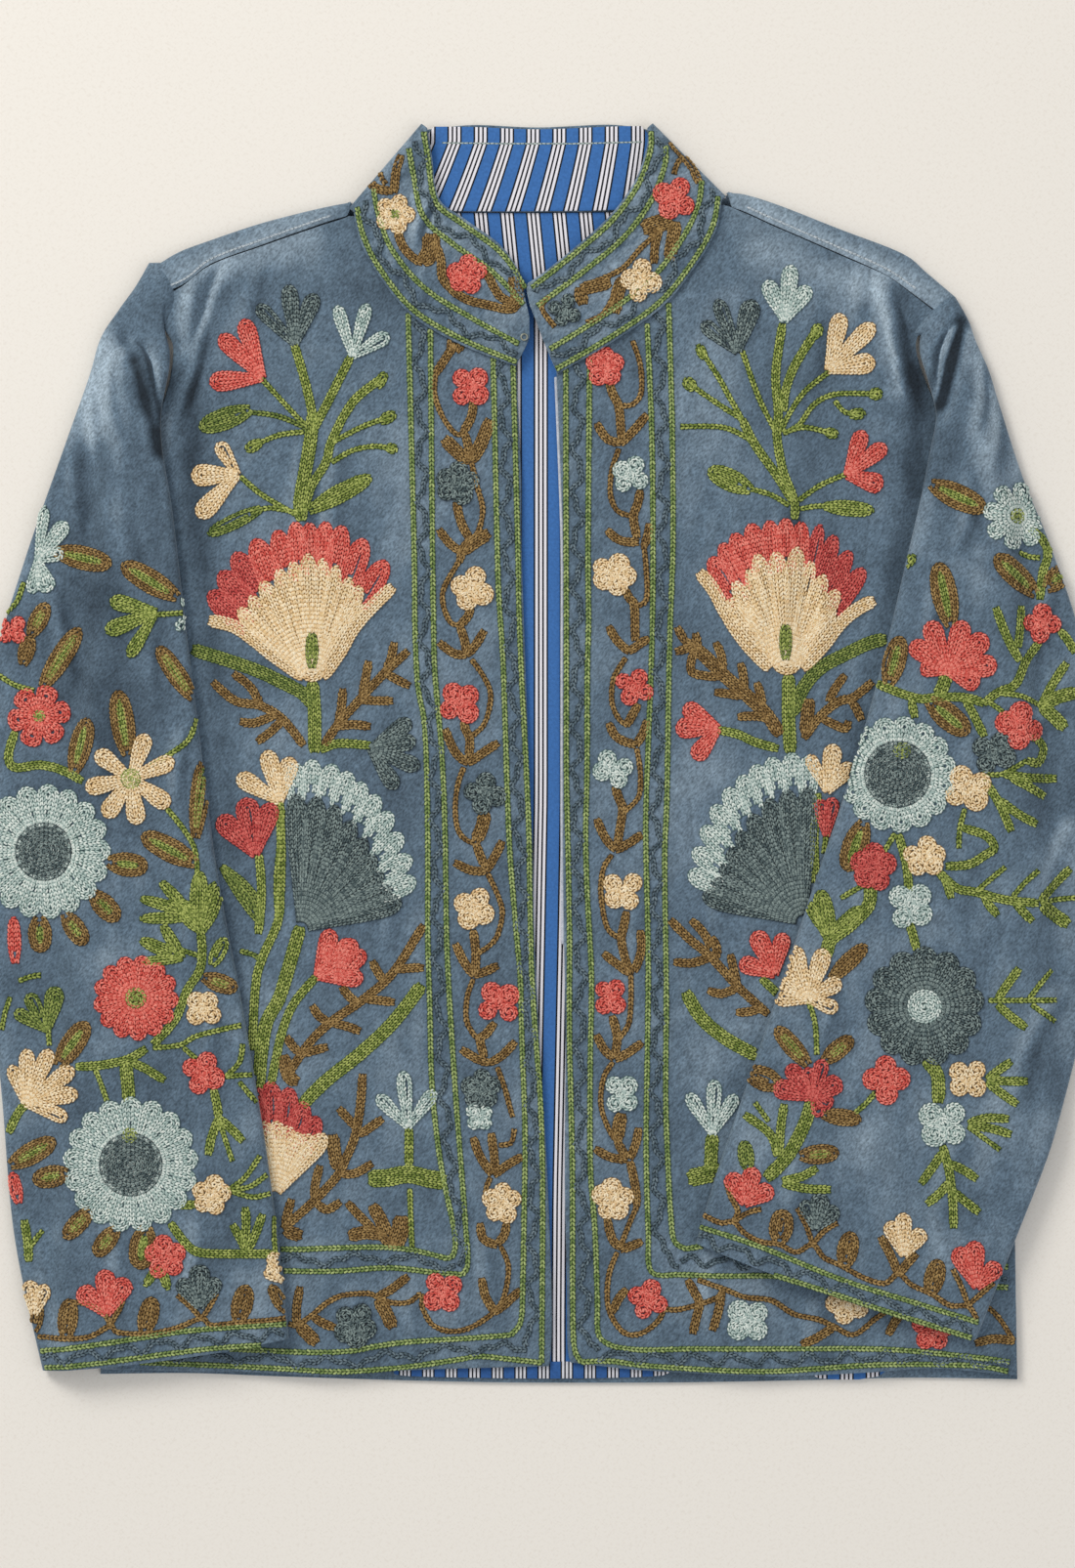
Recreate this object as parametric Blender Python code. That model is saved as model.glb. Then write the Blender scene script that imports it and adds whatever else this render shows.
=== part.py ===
"""A velvet jacket with a stand collar, laid flat on its back.

X runs across the garment, Y from the hem to the collar and Z up from the surface it lies on.
Plan places are in millimetres from the middle of the back hem, and the finished garment is
moved so that the middle of its box stands over the origin. Sides are the wearer's: the right
front and right sleeve lie at -X.
"""

import bisect
import math
from collections import namedtuple

import bmesh
import bpy
from mathutils import Matrix, Vector

MM = 0.001

# Thickness of each cloth wall, in millimetres.
BACK_WALL = 2.0
FRONT_WALL = 2.4
SLEEVE_WALL = 2.4
COLLAR_WALL = 2.0
LINING_WALL = 1.0

# Heights of the layers' middles above the surface, in millimetres.
BACK_LEVEL = BACK_WALL / 2
LINING_LEVEL = BACK_WALL + 0.3 + LINING_WALL / 2
FRONT_LEVEL = BACK_WALL + LINING_WALL + 0.6 + FRONT_WALL / 2
FRONT_SIDE_LEVEL = BACK_WALL + 0.3 + FRONT_WALL / 2
SHOULDER_RISE = 1.4
SHOULDER_STARTS = 600.0
SHOULDER_ENDS = 660.0
SIDE_ROLL = 12.0
LINING_ON_COLLAR = COLLAR_WALL / 2 + 0.3 + LINING_WALL / 2

# The flattened sleeves: half the height of the rolled edge, and how they climb over the front.
SLEEVE_ROLL = 2.9
SLEEVE_CLEARANCE = 0.6
SLEEVE_LIFT = 0.1
SLEEVE_BRIDGE = 20.0
SLEEVE_SLOPE = 14.0
CLIMB_STARTS = 606.0
CLIMB_ENDS = 580.0
FOLD_MARGIN = 1.3

# Steps along and across the cloth.
PANEL_COLUMNS = 17
PANEL_ROWS = (13, 12)
BACK_ROWS = (6, 12)
LINING_ROWS = (6, 4)
LINING_COLUMNS = 12
ARMHOLE_SHARE = 0.83
SLEEVE_STEPS = 2
SLEEVE_ACROSS = 9
ROLL_STEPS = 4
COLLAR_ACROSS = 4

Fold = namedtuple("Fold", "start_x start_y end_x end_y width height")
Shoulder = namedtuple("Shoulder", "top_x top_y seam_x seam_y turn")
SleeveSection = namedtuple("SleeveSection", "inner_x inner_y outer_x outer_y bow")
CollarRow = namedtuple("CollarRow", "neck_x neck_y neck_z top_x top_y top_z")
CollarFold = namedtuple("CollarFold", "neck_x neck_y neck_low neck_high top_x top_y top_low top_high outward")

# Side seam and armhole, hem to shoulder: x, y.
RIGHT_SIDE = (
    (-267.9, 2.5), (-262.2, 149.3), (-254.2, 320.3), (-244.0, 450.0), (-240.0, 520.0), (-236.0, 556.0),
    (-229.5, 575.0), (-226.3, 588.0), (-225.4, 604.0), (-231.5, 617.0), (-226.5, 634.4),
)
LEFT_SIDE = (
    (267.9, -0.6), (264.5, 149.3), (255.4, 320.3), (243.0, 450.0), (234.0, 520.0), (226.0, 555.0),
    (218.5, 572.0), (213.7, 583.0), (208.8, 598.5), (209.4, 609.0), (219.8, 622.8),
)

# Hems, side to front edge: x, y.
RIGHT_HEM = ((-267.9, 5.7), (-183.5, 4.0), (-137.9, 2.3), (-100.3, 4.6), (-52.4, 6.3), (-5.7, 7.4))
LEFT_HEM = ((267.3, 1.6), (220.0, 6.3), (182.4, 4.0), (135.1, 1.7), (106.6, 2.3), (49.6, 5.1), (6.8, 9.7))
BACK_HEM = (
    (-267.9, 2.3), (-183.5, 2.8), (-137.9, 0.6), (-98.0, 0.0), (-35.9, -1.1),
    (30.8, 0.6), (106.6, -2.3), (182.4, 0.6), (220.0, 2.8), (267.9, -0.6),
)

# Front edges, hem to neck: x, y.
RIGHT_EDGE = ((-5.7, 7.4), (-15.4, 234.8), (-19.9, 405.8), (-22.2, 531.2), (-25.1, 595.0))
LEFT_EDGE = ((6.8, 9.7), (4.6, 234.8), (4.6, 405.8), (2.3, 531.2), (-1.1, 591.0))

# Shoulder seam and neck edge of each front, armhole to centre front: x, y.
RIGHT_TOP = (
    (-226.5, 634.4), (-217.6, 639.2), (-203.1, 650.4), (-176.0, 660.4), (-148.0, 670.2), (-129.0, 676.4),
    (-118.5, 678.5), (-110.5, 664.0), (-101.5, 648.0), (-83.0, 625.5), (-56.0, 608.5), (-25.1, 595.0),
)
LEFT_TOP = (
    (219.8, 622.8), (206.0, 633.2), (189.0, 644.7), (158.0, 658.7), (127.0, 672.2), (106.0, 681.6),
    (93.5, 685.0), (87.5, 671.5), (77.5, 654.5), (58.5, 631.0), (31.0, 610.5), (-1.1, 591.0),
)

# Top of the back: the rolled edge, the seam that it laps forward to, and how far it turns over.
BACK_TOP = (
    Shoulder(-233.0, 650.5, -227.5, 635.5, 180),
    Shoulder(-221.3, 657.4, -217.0, 640.4, 180),
    Shoulder(-206.7, 662.9, -203.0, 651.2, 180),
    Shoulder(-177.8, 672.8, -176.0, 661.2, 180),
    Shoulder(-155.0, 679.0, -152.0, 669.8, 180),
    Shoulder(-136.0, 683.5, -134.0, 676.0, 180),
    Shoulder(-129.0, 685.0, -128.0, 680.0, 60),
    Shoulder(-124.5, 685.5, -124.5, 680.0, 0),
    Shoulder(-66.7, 684.5, -66.7, 680.0, 0),
    Shoulder(-12.5, 684.5, -12.5, 680.0, 0),
    Shoulder(45.0, 685.5, 45.0, 680.0, 0),
    Shoulder(99.5, 689.5, 99.5, 685.0, 0),
    Shoulder(104.0, 691.0, 103.0, 686.0, 60),
    Shoulder(111.0, 690.5, 109.0, 681.2, 180),
    Shoulder(130.0, 684.0, 127.0, 673.0, 180),
    Shoulder(164.2, 670.5, 158.0, 659.5, 180),
    Shoulder(200.1, 656.6, 189.0, 645.5, 180),
    Shoulder(214.0, 645.5, 206.0, 634.0, 180),
    Shoulder(228.0, 633.5, 220.4, 623.6, 180),
)

# The striped lining of the back, hem, sides and top: x, y.
LINING_HEM = ((-253.9, 5.0), (-183.0, 5.0), (-100.0, 2.2), (-36.0, 1.1), (106.6, -0.1), (182.0, 2.8), (253.9, 3.0))
LINING_RIGHT = ((-253.9, 5.0), (-240.0, 320.0), (-230.0, 450.0), (-220.0, 560.0), (-212.0, 600.0), (-213.0, 636.0))
LINING_LEFT = ((253.9, 3.0), (241.0, 320.0), (229.0, 450.0), (210.0, 560.0), (196.0, 598.0), (204.0, 622.0))
LINING_TOP = (
    (-213.0, 636.0), (-180.0, 655.0), (-150.0, 665.0), (-119.0, 677.0), (-108.0, 681.2), (-12.0, 681.2),
    (80.0, 682.0), (92.0, 681.0), (130.0, 668.0), (164.0, 655.0), (204.0, 622.0),
)

# Flattened sleeves, armhole to cuff. The bow swings a section towards the body.
RIGHT_SLEEVE = (
    SleeveSection(-238.8, 613.2, -239.6, 652.0, 8.5),
    SleeveSection(-229.4, 604.2, -247.5, 638.0, 3.0),
    SleeveSection(-227.6, 589.4, -257.1, 624.2, 0.0),
    SleeveSection(-232.0, 563.7, -267.3, 608.2, 0.0),
    SleeveSection(-231.4, 541.5, -274.2, 585.4, 0.0),
    SleeveSection(-225.1, 502.7, -288.4, 545.5, 0.0),
    SleeveSection(-217.7, 440.0, -311.8, 478.8, 0.0),
    SleeveSection(-209.8, 377.3, -329.5, 417.2, 0.0),
    SleeveSection(-199.5, 297.5, -337.4, 348.8, 0.0),
    SleeveSection(-188.7, 217.7, -336.9, 269.0, 0.0),
    SleeveSection(-176.7, 140.8, -326.0, 172.1, 0.0),
    SleeveSection(-166.4, 78.1, -318.1, 83.8, 0.0),
    SleeveSection(-157.3, 24.5, -301.5, 5.1, 0.0),
)
LEFT_SLEEVE = (
    SleeveSection(211.5, 609.3, 231.2, 632.3, 0.0),
    SleeveSection(210.9, 598.5, 238.8, 619.0, 0.0),
    SleeveSection(215.5, 581.4, 243.5, 606.0, 0.0),
    SleeveSection(220.0, 561.5, 250.8, 589.4, 0.0),
    SleeveSection(216.6, 541.5, 256.5, 571.1, 0.0),
    SleeveSection(210.3, 511.3, 271.3, 525.5, 0.0),
    SleeveSection(202.9, 479.9, 288.4, 482.8, 0.0),
    SleeveSection(188.1, 417.2, 305.5, 428.6, 0.0),
    SleeveSection(168.7, 348.8, 315.2, 354.5, 0.0),
    SleeveSection(145.9, 280.4, 315.2, 280.4, 0.0),
    SleeveSection(123.1, 212.0, 305.5, 206.3, 0.0),
    SleeveSection(102.6, 152.2, 288.4, 140.8, 0.0),
    SleeveSection(90.1, 115.1, 266.8, 83.8, 0.0),
    SleeveSection(79.8, 79.8, 242.8, 23.4, 0.0),
)

# The stand collar, one band folded at both sides of the neck.
COLLAR_RIGHT_FRONT = (
    CollarRow(-25.1, 591.2, 7.6, -19.4, 639.0, 8.2),
    CollarRow(-58.1, 604.2, 7.7, -32.5, 660.1, 8.4),
    CollarRow(-86.6, 621.3, 8.0, -55.3, 677.2, 8.6),
    CollarRow(-106.6, 646.4, 8.6, -70.1, 689.1, 8.8),
    CollarRow(-116.3, 665.2, 9.0, -74.1, 713.6, 8.6),
)
COLLAR_RIGHT_FOLD = CollarFold(-121.8, 683.0, 3.4, 9.0, -78.1, 733.6, 1.0, 8.4, -1)
COLLAR_BACK = (
    CollarRow(-66.7, 681.8, 3.3, -50.0, 731.5, 1.0),
    CollarRow(-12.5, 681.8, 3.3, -12.5, 730.7, 1.0),
    CollarRow(45.0, 683.0, 3.3, 30.0, 732.0, 1.0),
)
COLLAR_LEFT_FOLD = CollarFold(96.8, 689.8, 3.4, 9.0, 53.0, 734.2, 1.0, 8.4, 1)
COLLAR_LEFT_FRONT = (
    CollarRow(91.8, 670.9, 9.0, 51.3, 719.3, 8.6),
    CollarRow(81.5, 652.1, 8.6, 44.5, 699.4, 8.8),
    CollarRow(61.6, 627.0, 8.0, 30.2, 679.4, 8.6),
    CollarRow(33.1, 606.5, 7.7, 10.3, 661.2, 8.4),
    CollarRow(-0.8, 586.8, 7.6, -16.5, 639.5, 8.2),
)
COLLAR_CROWN = 0.9
COLLAR_FOLD_TURNS = (90, 45, 0, -45, -90)

# The lining of the collar's back, between its folds.
COLLAR_LINING = (
    CollarRow(-113.0, 682.4, 3.4, -71.5, 731.2, 1.0),
    CollarRow(-66.7, 681.9, 3.3, -50.0, 730.0, 1.0),
    CollarRow(-12.5, 681.9, 3.3, -12.5, 729.2, 1.0),
    CollarRow(45.0, 683.1, 3.3, 30.0, 730.5, 1.0),
    CollarRow(88.0, 688.0, 3.4, 46.5, 731.8, 1.0),
)

# The loop that closes the neck, on the end of the collar's right front.
LOOP_CENTRE = (-20.3, 608.0)
LOOP_RADIUS = 1.8
LOOP_THREAD = 0.45
LOOP_HEIGHT = 8.4

# Soft folds of the fronts and of the sleeves' upper layers.
FRONT_FOLDS = (
    Fold(-213.0, 645.0, -221.0, 592.0, 8.0, 1.8),
    Fold(-189.0, 655.0, -207.0, 570.0, 11.0, 1.4),
    Fold(-150.0, 520.0, -138.0, 300.0, 22.0, 1.2),
    Fold(-92.0, 560.0, -66.0, 380.0, 17.0, 1.0),
    Fold(-137.0, 75.0, -138.0, 0.0, 24.0, 1.4),
    Fold(-58.0, 80.0, -52.0, 5.0, 20.0, 1.0),
    Fold(187.0, 642.0, 199.0, 566.0, 11.0, 2.6),
    Fold(147.0, 634.0, 130.0, 486.0, 15.0, 1.3),
    Fold(108.0, 600.0, 116.0, 430.0, 13.0, 1.0),
    Fold(66.0, 330.0, 40.0, 180.0, 20.0, 1.0),
    Fold(106.0, 75.0, 106.0, 0.0, 24.0, 1.3),
    Fold(185.0, 65.0, 192.0, 0.0, 20.0, 1.2),
)
SLEEVE_FOLDS = (
    Fold(-253.0, 609.0, -239.0, 560.0, 5.5, -2.6),
    Fold(-259.0, 592.0, -243.0, 505.0, 12.0, 1.2),
    Fold(-291.0, 505.0, -262.0, 390.0, 18.0, 0.9),
    Fold(-262.0, 300.0, -252.0, 180.0, 24.0, 0.9),
    Fold(237.0, 618.0, 222.0, 560.0, 5.5, -2.6),
    Fold(247.0, 592.0, 262.0, 470.0, 12.0, 1.2),
    Fold(277.0, 410.0, 236.0, 300.0, 20.0, 0.9),
    Fold(236.0, 215.0, 202.0, 120.0, 22.0, 0.9),
)

VELVET_COLOUR = (0.105, 0.162, 0.208, 1.0)
LINING_COLOUR = (0.055, 0.165, 0.430, 1.0)
THREAD_COLOUR = (0.550, 0.520, 0.450, 1.0)


def clear_scene():
    for old in list(bpy.data.objects):
        bpy.data.objects.remove(old, do_unlink=True)


def ease(share):
    """0 to 1 with a soft start and end, held outside that range."""
    held = min(max(share, 0.0), 1.0)
    return held * held * (3 - 2 * held)


def smooth(rows, steps):
    """Rows on smooth curves through the given rows, with this many steps from one to the next."""
    found = []
    last = len(rows) - 1
    for index in range(last):
        before = rows[max(index - 1, 0)]
        start = rows[index]
        end = rows[index + 1]
        after = rows[min(index + 2, last)]
        for step in range(steps):
            t = step / steps
            found.append(tuple(
                0.5 * (2 * b + (c - a) * t + (2 * a - 5 * b + 4 * c - d) * t ** 2 + (3 * b - a - 3 * c + d) * t ** 3)
                for a, b, c, d in zip(before, start, end, after)
            ))
    found.append(tuple(rows[-1]))
    return found


def spread(points, shares):
    """Points at these shares of the length of a smooth curve through the given ones."""
    dense = smooth(points, 8)
    lengths = [0.0]
    for start, end in zip(dense, dense[1:]):
        lengths.append(lengths[-1] + math.dist(start, end))
    found = []
    for share in shares:
        target = share * lengths[-1]
        index = min(max(bisect.bisect_right(lengths, target), 1), len(dense) - 1)
        part = (target - lengths[index - 1]) / (lengths[index] - lengths[index - 1])
        found.append(tuple(a + (b - a) * part for a, b in zip(dense[index - 1], dense[index])))
    return found


def even_shares(count):
    return [index / count for index in range(count + 1)]


def row_shares(below, above):
    """Shares of a panel's length, with this many rows below the armhole and beside it."""
    lower = [ARMHOLE_SHARE * index / below for index in range(below)]
    return lower + [ARMHOLE_SHARE + (1 - ARMHOLE_SHARE) * index / above for index in range(above + 1)]


def patch(low, high, near, far, columns, rows):
    """Plan points that fill four boundary curves, a line of them for each row."""
    grid = []
    for v, start, end in zip(rows, near, far):
        line = []
        for u, below, above in zip(columns, low, high):
            line.append(tuple(
                (1 - v) * below[axis] + v * above[axis] + (1 - u) * start[axis] + u * end[axis]
                - (1 - u) * (1 - v) * low[0][axis] - u * (1 - v) * low[-1][axis]
                - (1 - u) * v * high[0][axis] - u * v * high[-1][axis]
                for axis in (0, 1)
            ))
        grid.append(line)
    return grid


def fold_lift(folds, x, y):
    """How far the folds raise or sink the cloth at this place."""
    lift = 0.0
    for fold in folds:
        along_x = fold.end_x - fold.start_x
        along_y = fold.end_y - fold.start_y
        length = math.hypot(along_x, along_y)
        share = ((x - fold.start_x) * along_x + (y - fold.start_y) * along_y) / length ** 2
        aside = abs((x - fold.start_x) * along_y - (y - fold.start_y) * along_x) / length
        fade = ease((share + 0.15) / 0.3) * ease((1.15 - share) / 0.3)
        lift += fold.height * fade * math.exp(-(aside / fold.width) ** 2)
    return lift


def side_at(side, y):
    """The x of a side seam and armhole at this height."""
    for (x_low, y_low), (x_high, y_high) in zip(side, side[1:]):
        if y <= y_high:
            return x_low + (x_high - x_low) * (y - y_low) / (y_high - y_low)
    return side[-1][0]


def front_level(side, x, y):
    """Height of the middle of a front's wall: it comes down to the back at the side seam."""
    inward = (x - side_at(side, y)) * (1 if side is RIGHT_SIDE else -1)
    armhole = ease((y - 556.0) / 32.0)
    at_side = FRONT_SIDE_LEVEL + (FRONT_LEVEL - FRONT_SIDE_LEVEL) * armhole
    level = at_side + (FRONT_LEVEL - at_side) * ease(inward / SIDE_ROLL)
    level += SHOULDER_RISE * ease((y - SHOULDER_STARTS) / (SHOULDER_ENDS - SHOULDER_STARTS))
    return level + fold_lift(FRONT_FOLDS, x, y) * ease(inward / SIDE_ROLL)


def sleeve_floor(side, x, y):
    """Height of the surface that a sleeve lies on: the table, or the front where it laps over."""
    outward = (side_at(side, y) - x) * (1 if side is RIGHT_SIDE else -1)
    on_front = FRONT_LEVEL + FRONT_WALL / 2 + SLEEVE_CLEARANCE
    on_front += FOLD_MARGIN * max(fold_lift(FRONT_FOLDS, x, y), 0.0) * ease(-outward / SIDE_ROLL)
    climb = ease((CLIMB_STARTS - y) / (CLIMB_STARTS - CLIMB_ENDS))
    return on_front * climb * (1 - ease((outward - SLEEVE_BRIDGE) / SLEEVE_SLOPE)) + SLEEVE_LIFT


def velvet_material():
    return plain_material("cotton_velvet", VELVET_COLOUR, 0.85)


def plain_material(name, colour, roughness):
    material = bpy.data.materials.get(name) or bpy.data.materials.new(name)
    material.use_nodes = True
    shader = material.node_tree.nodes["Principled BSDF"]
    shader.inputs["Base Color"].default_value = colour
    shader.inputs["Roughness"].default_value = roughness
    shader.inputs["Metallic"].default_value = 0.0
    return material


def cloth(name, grid, wall, material, round_tube=False):
    """A cloth wall about a grid of points, joined round when the grid is a tube."""
    rows = len(grid)
    columns = len(grid[0])
    maker = bmesh.new()
    bmesh.ops.create_grid(maker, x_segments=columns - 1, y_segments=rows - 1, size=1.0)
    maker.verts.ensure_lookup_table()
    for row in range(rows):
        for column in range(columns):
            maker.verts[row * columns + column].co = Vector(grid[row][column]) * MM
    if round_tube:
        bmesh.ops.remove_doubles(maker, verts=maker.verts, dist=1e-6)
    mesh = bpy.data.meshes.new(name)
    maker.to_mesh(mesh)
    maker.free()
    mesh.materials.append(material)
    mesh.shade_smooth()
    obj = bpy.data.objects.new(name, mesh)
    bpy.context.scene.collection.objects.link(obj)
    thickness = obj.modifiers.new("Cloth thickness", "SOLIDIFY")
    thickness.thickness = wall * MM
    thickness.offset = 0.0
    thickness.use_even_offset = True
    return obj


def make_front(name, side, hem, edge, top):
    columns = even_shares(PANEL_COLUMNS)
    rows = row_shares(*PANEL_ROWS)
    corner_side = (hem[0],) + side[1:-1] + (top[0],)
    plan = patch(
        spread(hem, columns), spread(top, columns), spread(corner_side, rows), spread(edge, rows), columns, rows
    )
    grid = [[(x, y, front_level(side, x, y)) for x, y in line] for line in plan]
    return cloth(name, grid, FRONT_WALL, velvet_material())


def shoulder_roll(shoulder, level_high):
    """Points of the back from where it leaves the table, over the shoulder, to its front seam."""
    roll = (level_high - BACK_LEVEL) / 2
    inward = Vector((shoulder.seam_x - shoulder.top_x, shoulder.seam_y - shoulder.top_y)).normalized()
    top = Vector((shoulder.top_x, shoulder.top_y))
    flatness = 1 - shoulder.turn / 180
    points = []
    for step in range(ROLL_STEPS + 1):
        angle = math.radians(shoulder.turn) * step / ROLL_STEPS
        place = top + inward * roll * (1 - math.sin(angle)) - inward * 0.5 * step * flatness
        points.append((place.x, place.y, BACK_LEVEL + roll * (1 - math.cos(angle))))
    share = (shoulder.turn / 180) ** 2
    seam = (shoulder.seam_x, shoulder.seam_y, level_high)
    last = points[-1]
    end = tuple(a + (b - a) * share for a, b in zip(last, seam))
    points.append((end[0] - inward.x * flatness, end[1] - inward.y * flatness, end[2]))
    return points


def make_back():
    rolls = [shoulder_roll(row, FRONT_LEVEL + SHOULDER_RISE) for row in BACK_TOP]
    high = [points[0][:2] for points in rolls]
    span = high[-1][0] - high[0][0]
    columns = [(x - high[0][0]) / span for x, _ in high]
    rows = row_shares(*BACK_ROWS)
    right = RIGHT_SIDE + (high[0],)
    left = LEFT_SIDE + (high[-1],)
    low = spread((right[0],) + BACK_HEM[1:-1] + (left[0],), columns)
    plan = patch(low, high, spread(right, rows), spread(left, rows), columns, rows)
    grid = [[(x, y, BACK_LEVEL) for x, y in line] for line in plan]
    grid += [[points[step] for points in rolls] for step in range(1, ROLL_STEPS + 2)]
    return cloth("back", grid, BACK_WALL, velvet_material())


def make_back_lining():
    columns = even_shares(LINING_COLUMNS)
    rows = row_shares(*LINING_ROWS)
    plan = patch(
        spread(LINING_HEM, columns), spread(LINING_TOP, columns),
        spread(LINING_RIGHT, rows), spread(LINING_LEFT, rows), columns, rows,
    )
    grid = [[(x, y, LINING_LEVEL) for x, y in line] for line in plan]
    return cloth("back_lining", grid, LINING_WALL, plain_material("striped_cotton", LINING_COLOUR, 0.7))


def sleeve_ring(side, section):
    """One ring of a flattened sleeve: under the arm, round the outer edge, back over the top."""
    inner = Vector((section[0], section[1]))
    outer = Vector((section[2], section[3]))
    across = outer - inner
    width = across.length
    across.normalize()
    towards_body = 1 if side is RIGHT_SIDE else -1
    edge = SLEEVE_WALL / 2
    flat = width - 2 * (edge + SLEEVE_ROLL)

    def point(along, height_share):
        place = inner + across * along
        place.x += towards_body * section[4] * 4 * along * (width - along) / width ** 2
        low = sleeve_floor(side, place.x, place.y) + SLEEVE_WALL / 2
        high = low + 2 * SLEEVE_ROLL
        fullness = ease(min(along, width - along) / 16.0)
        high += fold_lift(SLEEVE_FOLDS, place.x, place.y) * fullness
        return (place.x, place.y, low + (high - low) * height_share)

    ring = []
    for step in range(SLEEVE_ACROSS + 1):
        ring.append(point(edge + SLEEVE_ROLL + flat * step / SLEEVE_ACROSS, 0.0))
    for step in range(1, ROLL_STEPS):
        angle = math.pi * step / ROLL_STEPS
        ring.append(point(width - edge - SLEEVE_ROLL * (1 - math.sin(angle)), (1 - math.cos(angle)) / 2))
    for step in range(SLEEVE_ACROSS + 1):
        ring.append(point(width - edge - SLEEVE_ROLL - flat * step / SLEEVE_ACROSS, 1.0))
    for step in range(1, ROLL_STEPS):
        angle = math.pi * step / ROLL_STEPS
        ring.append(point(edge + SLEEVE_ROLL * (1 - math.sin(angle)), (1 + math.cos(angle)) / 2))
    ring.append(ring[0])
    return ring


def make_sleeve(name, side, sections):
    grid = [sleeve_ring(side, section) for section in smooth(sections, SLEEVE_STEPS)]
    return cloth(name, grid, SLEEVE_WALL, velvet_material(), round_tube=True)


def collar_fold_rows(fold):
    """Rows of the band as it turns over at one side of the neck, from its upper to its lower layer."""
    neck = Vector((fold.neck_x, fold.neck_y))
    top = Vector((fold.top_x, fold.top_y))
    line = (top - neck).normalized()
    outward = Vector((line.y, -line.x)) * fold.outward
    rows = []
    for degrees in COLLAR_FOLD_TURNS:
        turn = math.radians(degrees)
        row = []
        for place, low, high in ((neck, fold.neck_low, fold.neck_high), (top, fold.top_low, fold.top_high)):
            roll = (high - low) / 2
            moved = place - outward * roll * (1 - math.cos(turn))
            row += [moved.x, moved.y, (low + high) / 2 + roll * math.sin(turn)]
        rows.append(CollarRow(*row))
    return rows


def band_grid(rows, lift, crown):
    """Points across a band from its neck edge to its top edge, for each of its rows."""
    grid = []
    for row in rows:
        neck = Vector((row.neck_x, row.neck_y, row.neck_z + lift))
        top = Vector((row.top_x, row.top_y, row.top_z + lift))
        line = []
        for share in even_shares(COLLAR_ACROSS):
            place = neck.lerp(top, share)
            place.z += crown * 4 * share * (1 - share)
            line.append(tuple(place))
        grid.append(line)
    return grid


def make_collar():
    right_fold = collar_fold_rows(COLLAR_RIGHT_FOLD)
    left_fold = collar_fold_rows(COLLAR_LEFT_FOLD)[::-1]
    grid = band_grid(COLLAR_RIGHT_FRONT, 0.0, COLLAR_CROWN)
    grid += band_grid(right_fold, 0.0, 0.0)
    grid += band_grid(COLLAR_BACK, 0.0, 0.0)
    grid += band_grid(left_fold, 0.0, 0.0)
    grid += band_grid(COLLAR_LEFT_FRONT, 0.0, COLLAR_CROWN)
    return cloth("collar", grid, COLLAR_WALL, velvet_material())


def make_collar_lining():
    rows = [CollarRow(*row) for row in smooth(COLLAR_LINING, 2)]
    grid = band_grid(rows, LINING_ON_COLLAR, 0.0)
    return cloth("collar_lining", grid, LINING_WALL, plain_material("striped_cotton", LINING_COLOUR, 0.7))


def make_neck_loop():
    """A closed ring of stiffened thread, spun from a small round section."""
    maker = bmesh.new()
    centre = Vector((*LOOP_CENTRE, LOOP_HEIGHT)) * MM
    place = Matrix.Translation(centre + Vector((LOOP_RADIUS * MM, 0, 0))) @ Matrix.Rotation(math.pi / 2, 4, "X")
    section = bmesh.ops.create_circle(maker, segments=6, radius=LOOP_THREAD * MM, matrix=place)
    edges = list({edge for vert in section["verts"] for edge in vert.link_edges})
    bmesh.ops.spin(
        maker, geom=section["verts"] + edges, cent=centre, axis=(0, 0, 1), angle=2 * math.pi, steps=14, use_merge=True
    )
    bmesh.ops.remove_doubles(maker, verts=maker.verts, dist=1e-6)
    bmesh.ops.recalc_face_normals(maker, faces=maker.faces)
    mesh = bpy.data.meshes.new("neck_loop")
    maker.to_mesh(mesh)
    maker.free()
    mesh.materials.append(plain_material("stiff_thread", THREAD_COLOUR, 0.4))
    mesh.shade_smooth()
    obj = bpy.data.objects.new("neck_loop", mesh)
    bpy.context.scene.collection.objects.link(obj)
    return obj


def stand_over_origin(pieces):
    """Moves every mesh so that the middle of the garment's box is over the origin."""
    bpy.context.view_layer.update()
    graph = bpy.context.evaluated_depsgraph_get()
    corners = [Vector(corner) for piece in pieces for corner in piece.evaluated_get(graph).bound_box]
    middle_x = (min(c.x for c in corners) + max(c.x for c in corners)) / 2
    middle_y = (min(c.y for c in corners) + max(c.y for c in corners)) / 2
    for piece in pieces:
        piece.data.transform(Matrix.Translation((-middle_x, -middle_y, 0)))


def main():
    clear_scene()
    pieces = [
        make_back(),
        make_back_lining(),
        make_front("front_right", RIGHT_SIDE, RIGHT_HEM, RIGHT_EDGE, RIGHT_TOP),
        make_front("front_left", LEFT_SIDE, LEFT_HEM, LEFT_EDGE, LEFT_TOP),
        make_sleeve("sleeve_right", RIGHT_SIDE, RIGHT_SLEEVE),
        make_sleeve("sleeve_left", LEFT_SIDE, LEFT_SLEEVE),
        make_collar(),
        make_collar_lining(),
        make_neck_loop(),
    ]
    stand_over_origin(pieces)


main()
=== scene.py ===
"""The looks of a velvet jacket that lies flat on its back: cloth, lining, stitching, floor, light and camera.

Plan places are in millimetres from the middle of the back hem, X across, Y from the hem to the
collar and Z up from the surface. Right and left are the wearer's: the right front lies at -X.
"""

import bisect
import math
import random
from collections import namedtuple

import bmesh
import bpy
import numpy as np
from mathutils import Matrix, Vector
from mathutils.bvhtree import BVHTree


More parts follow.
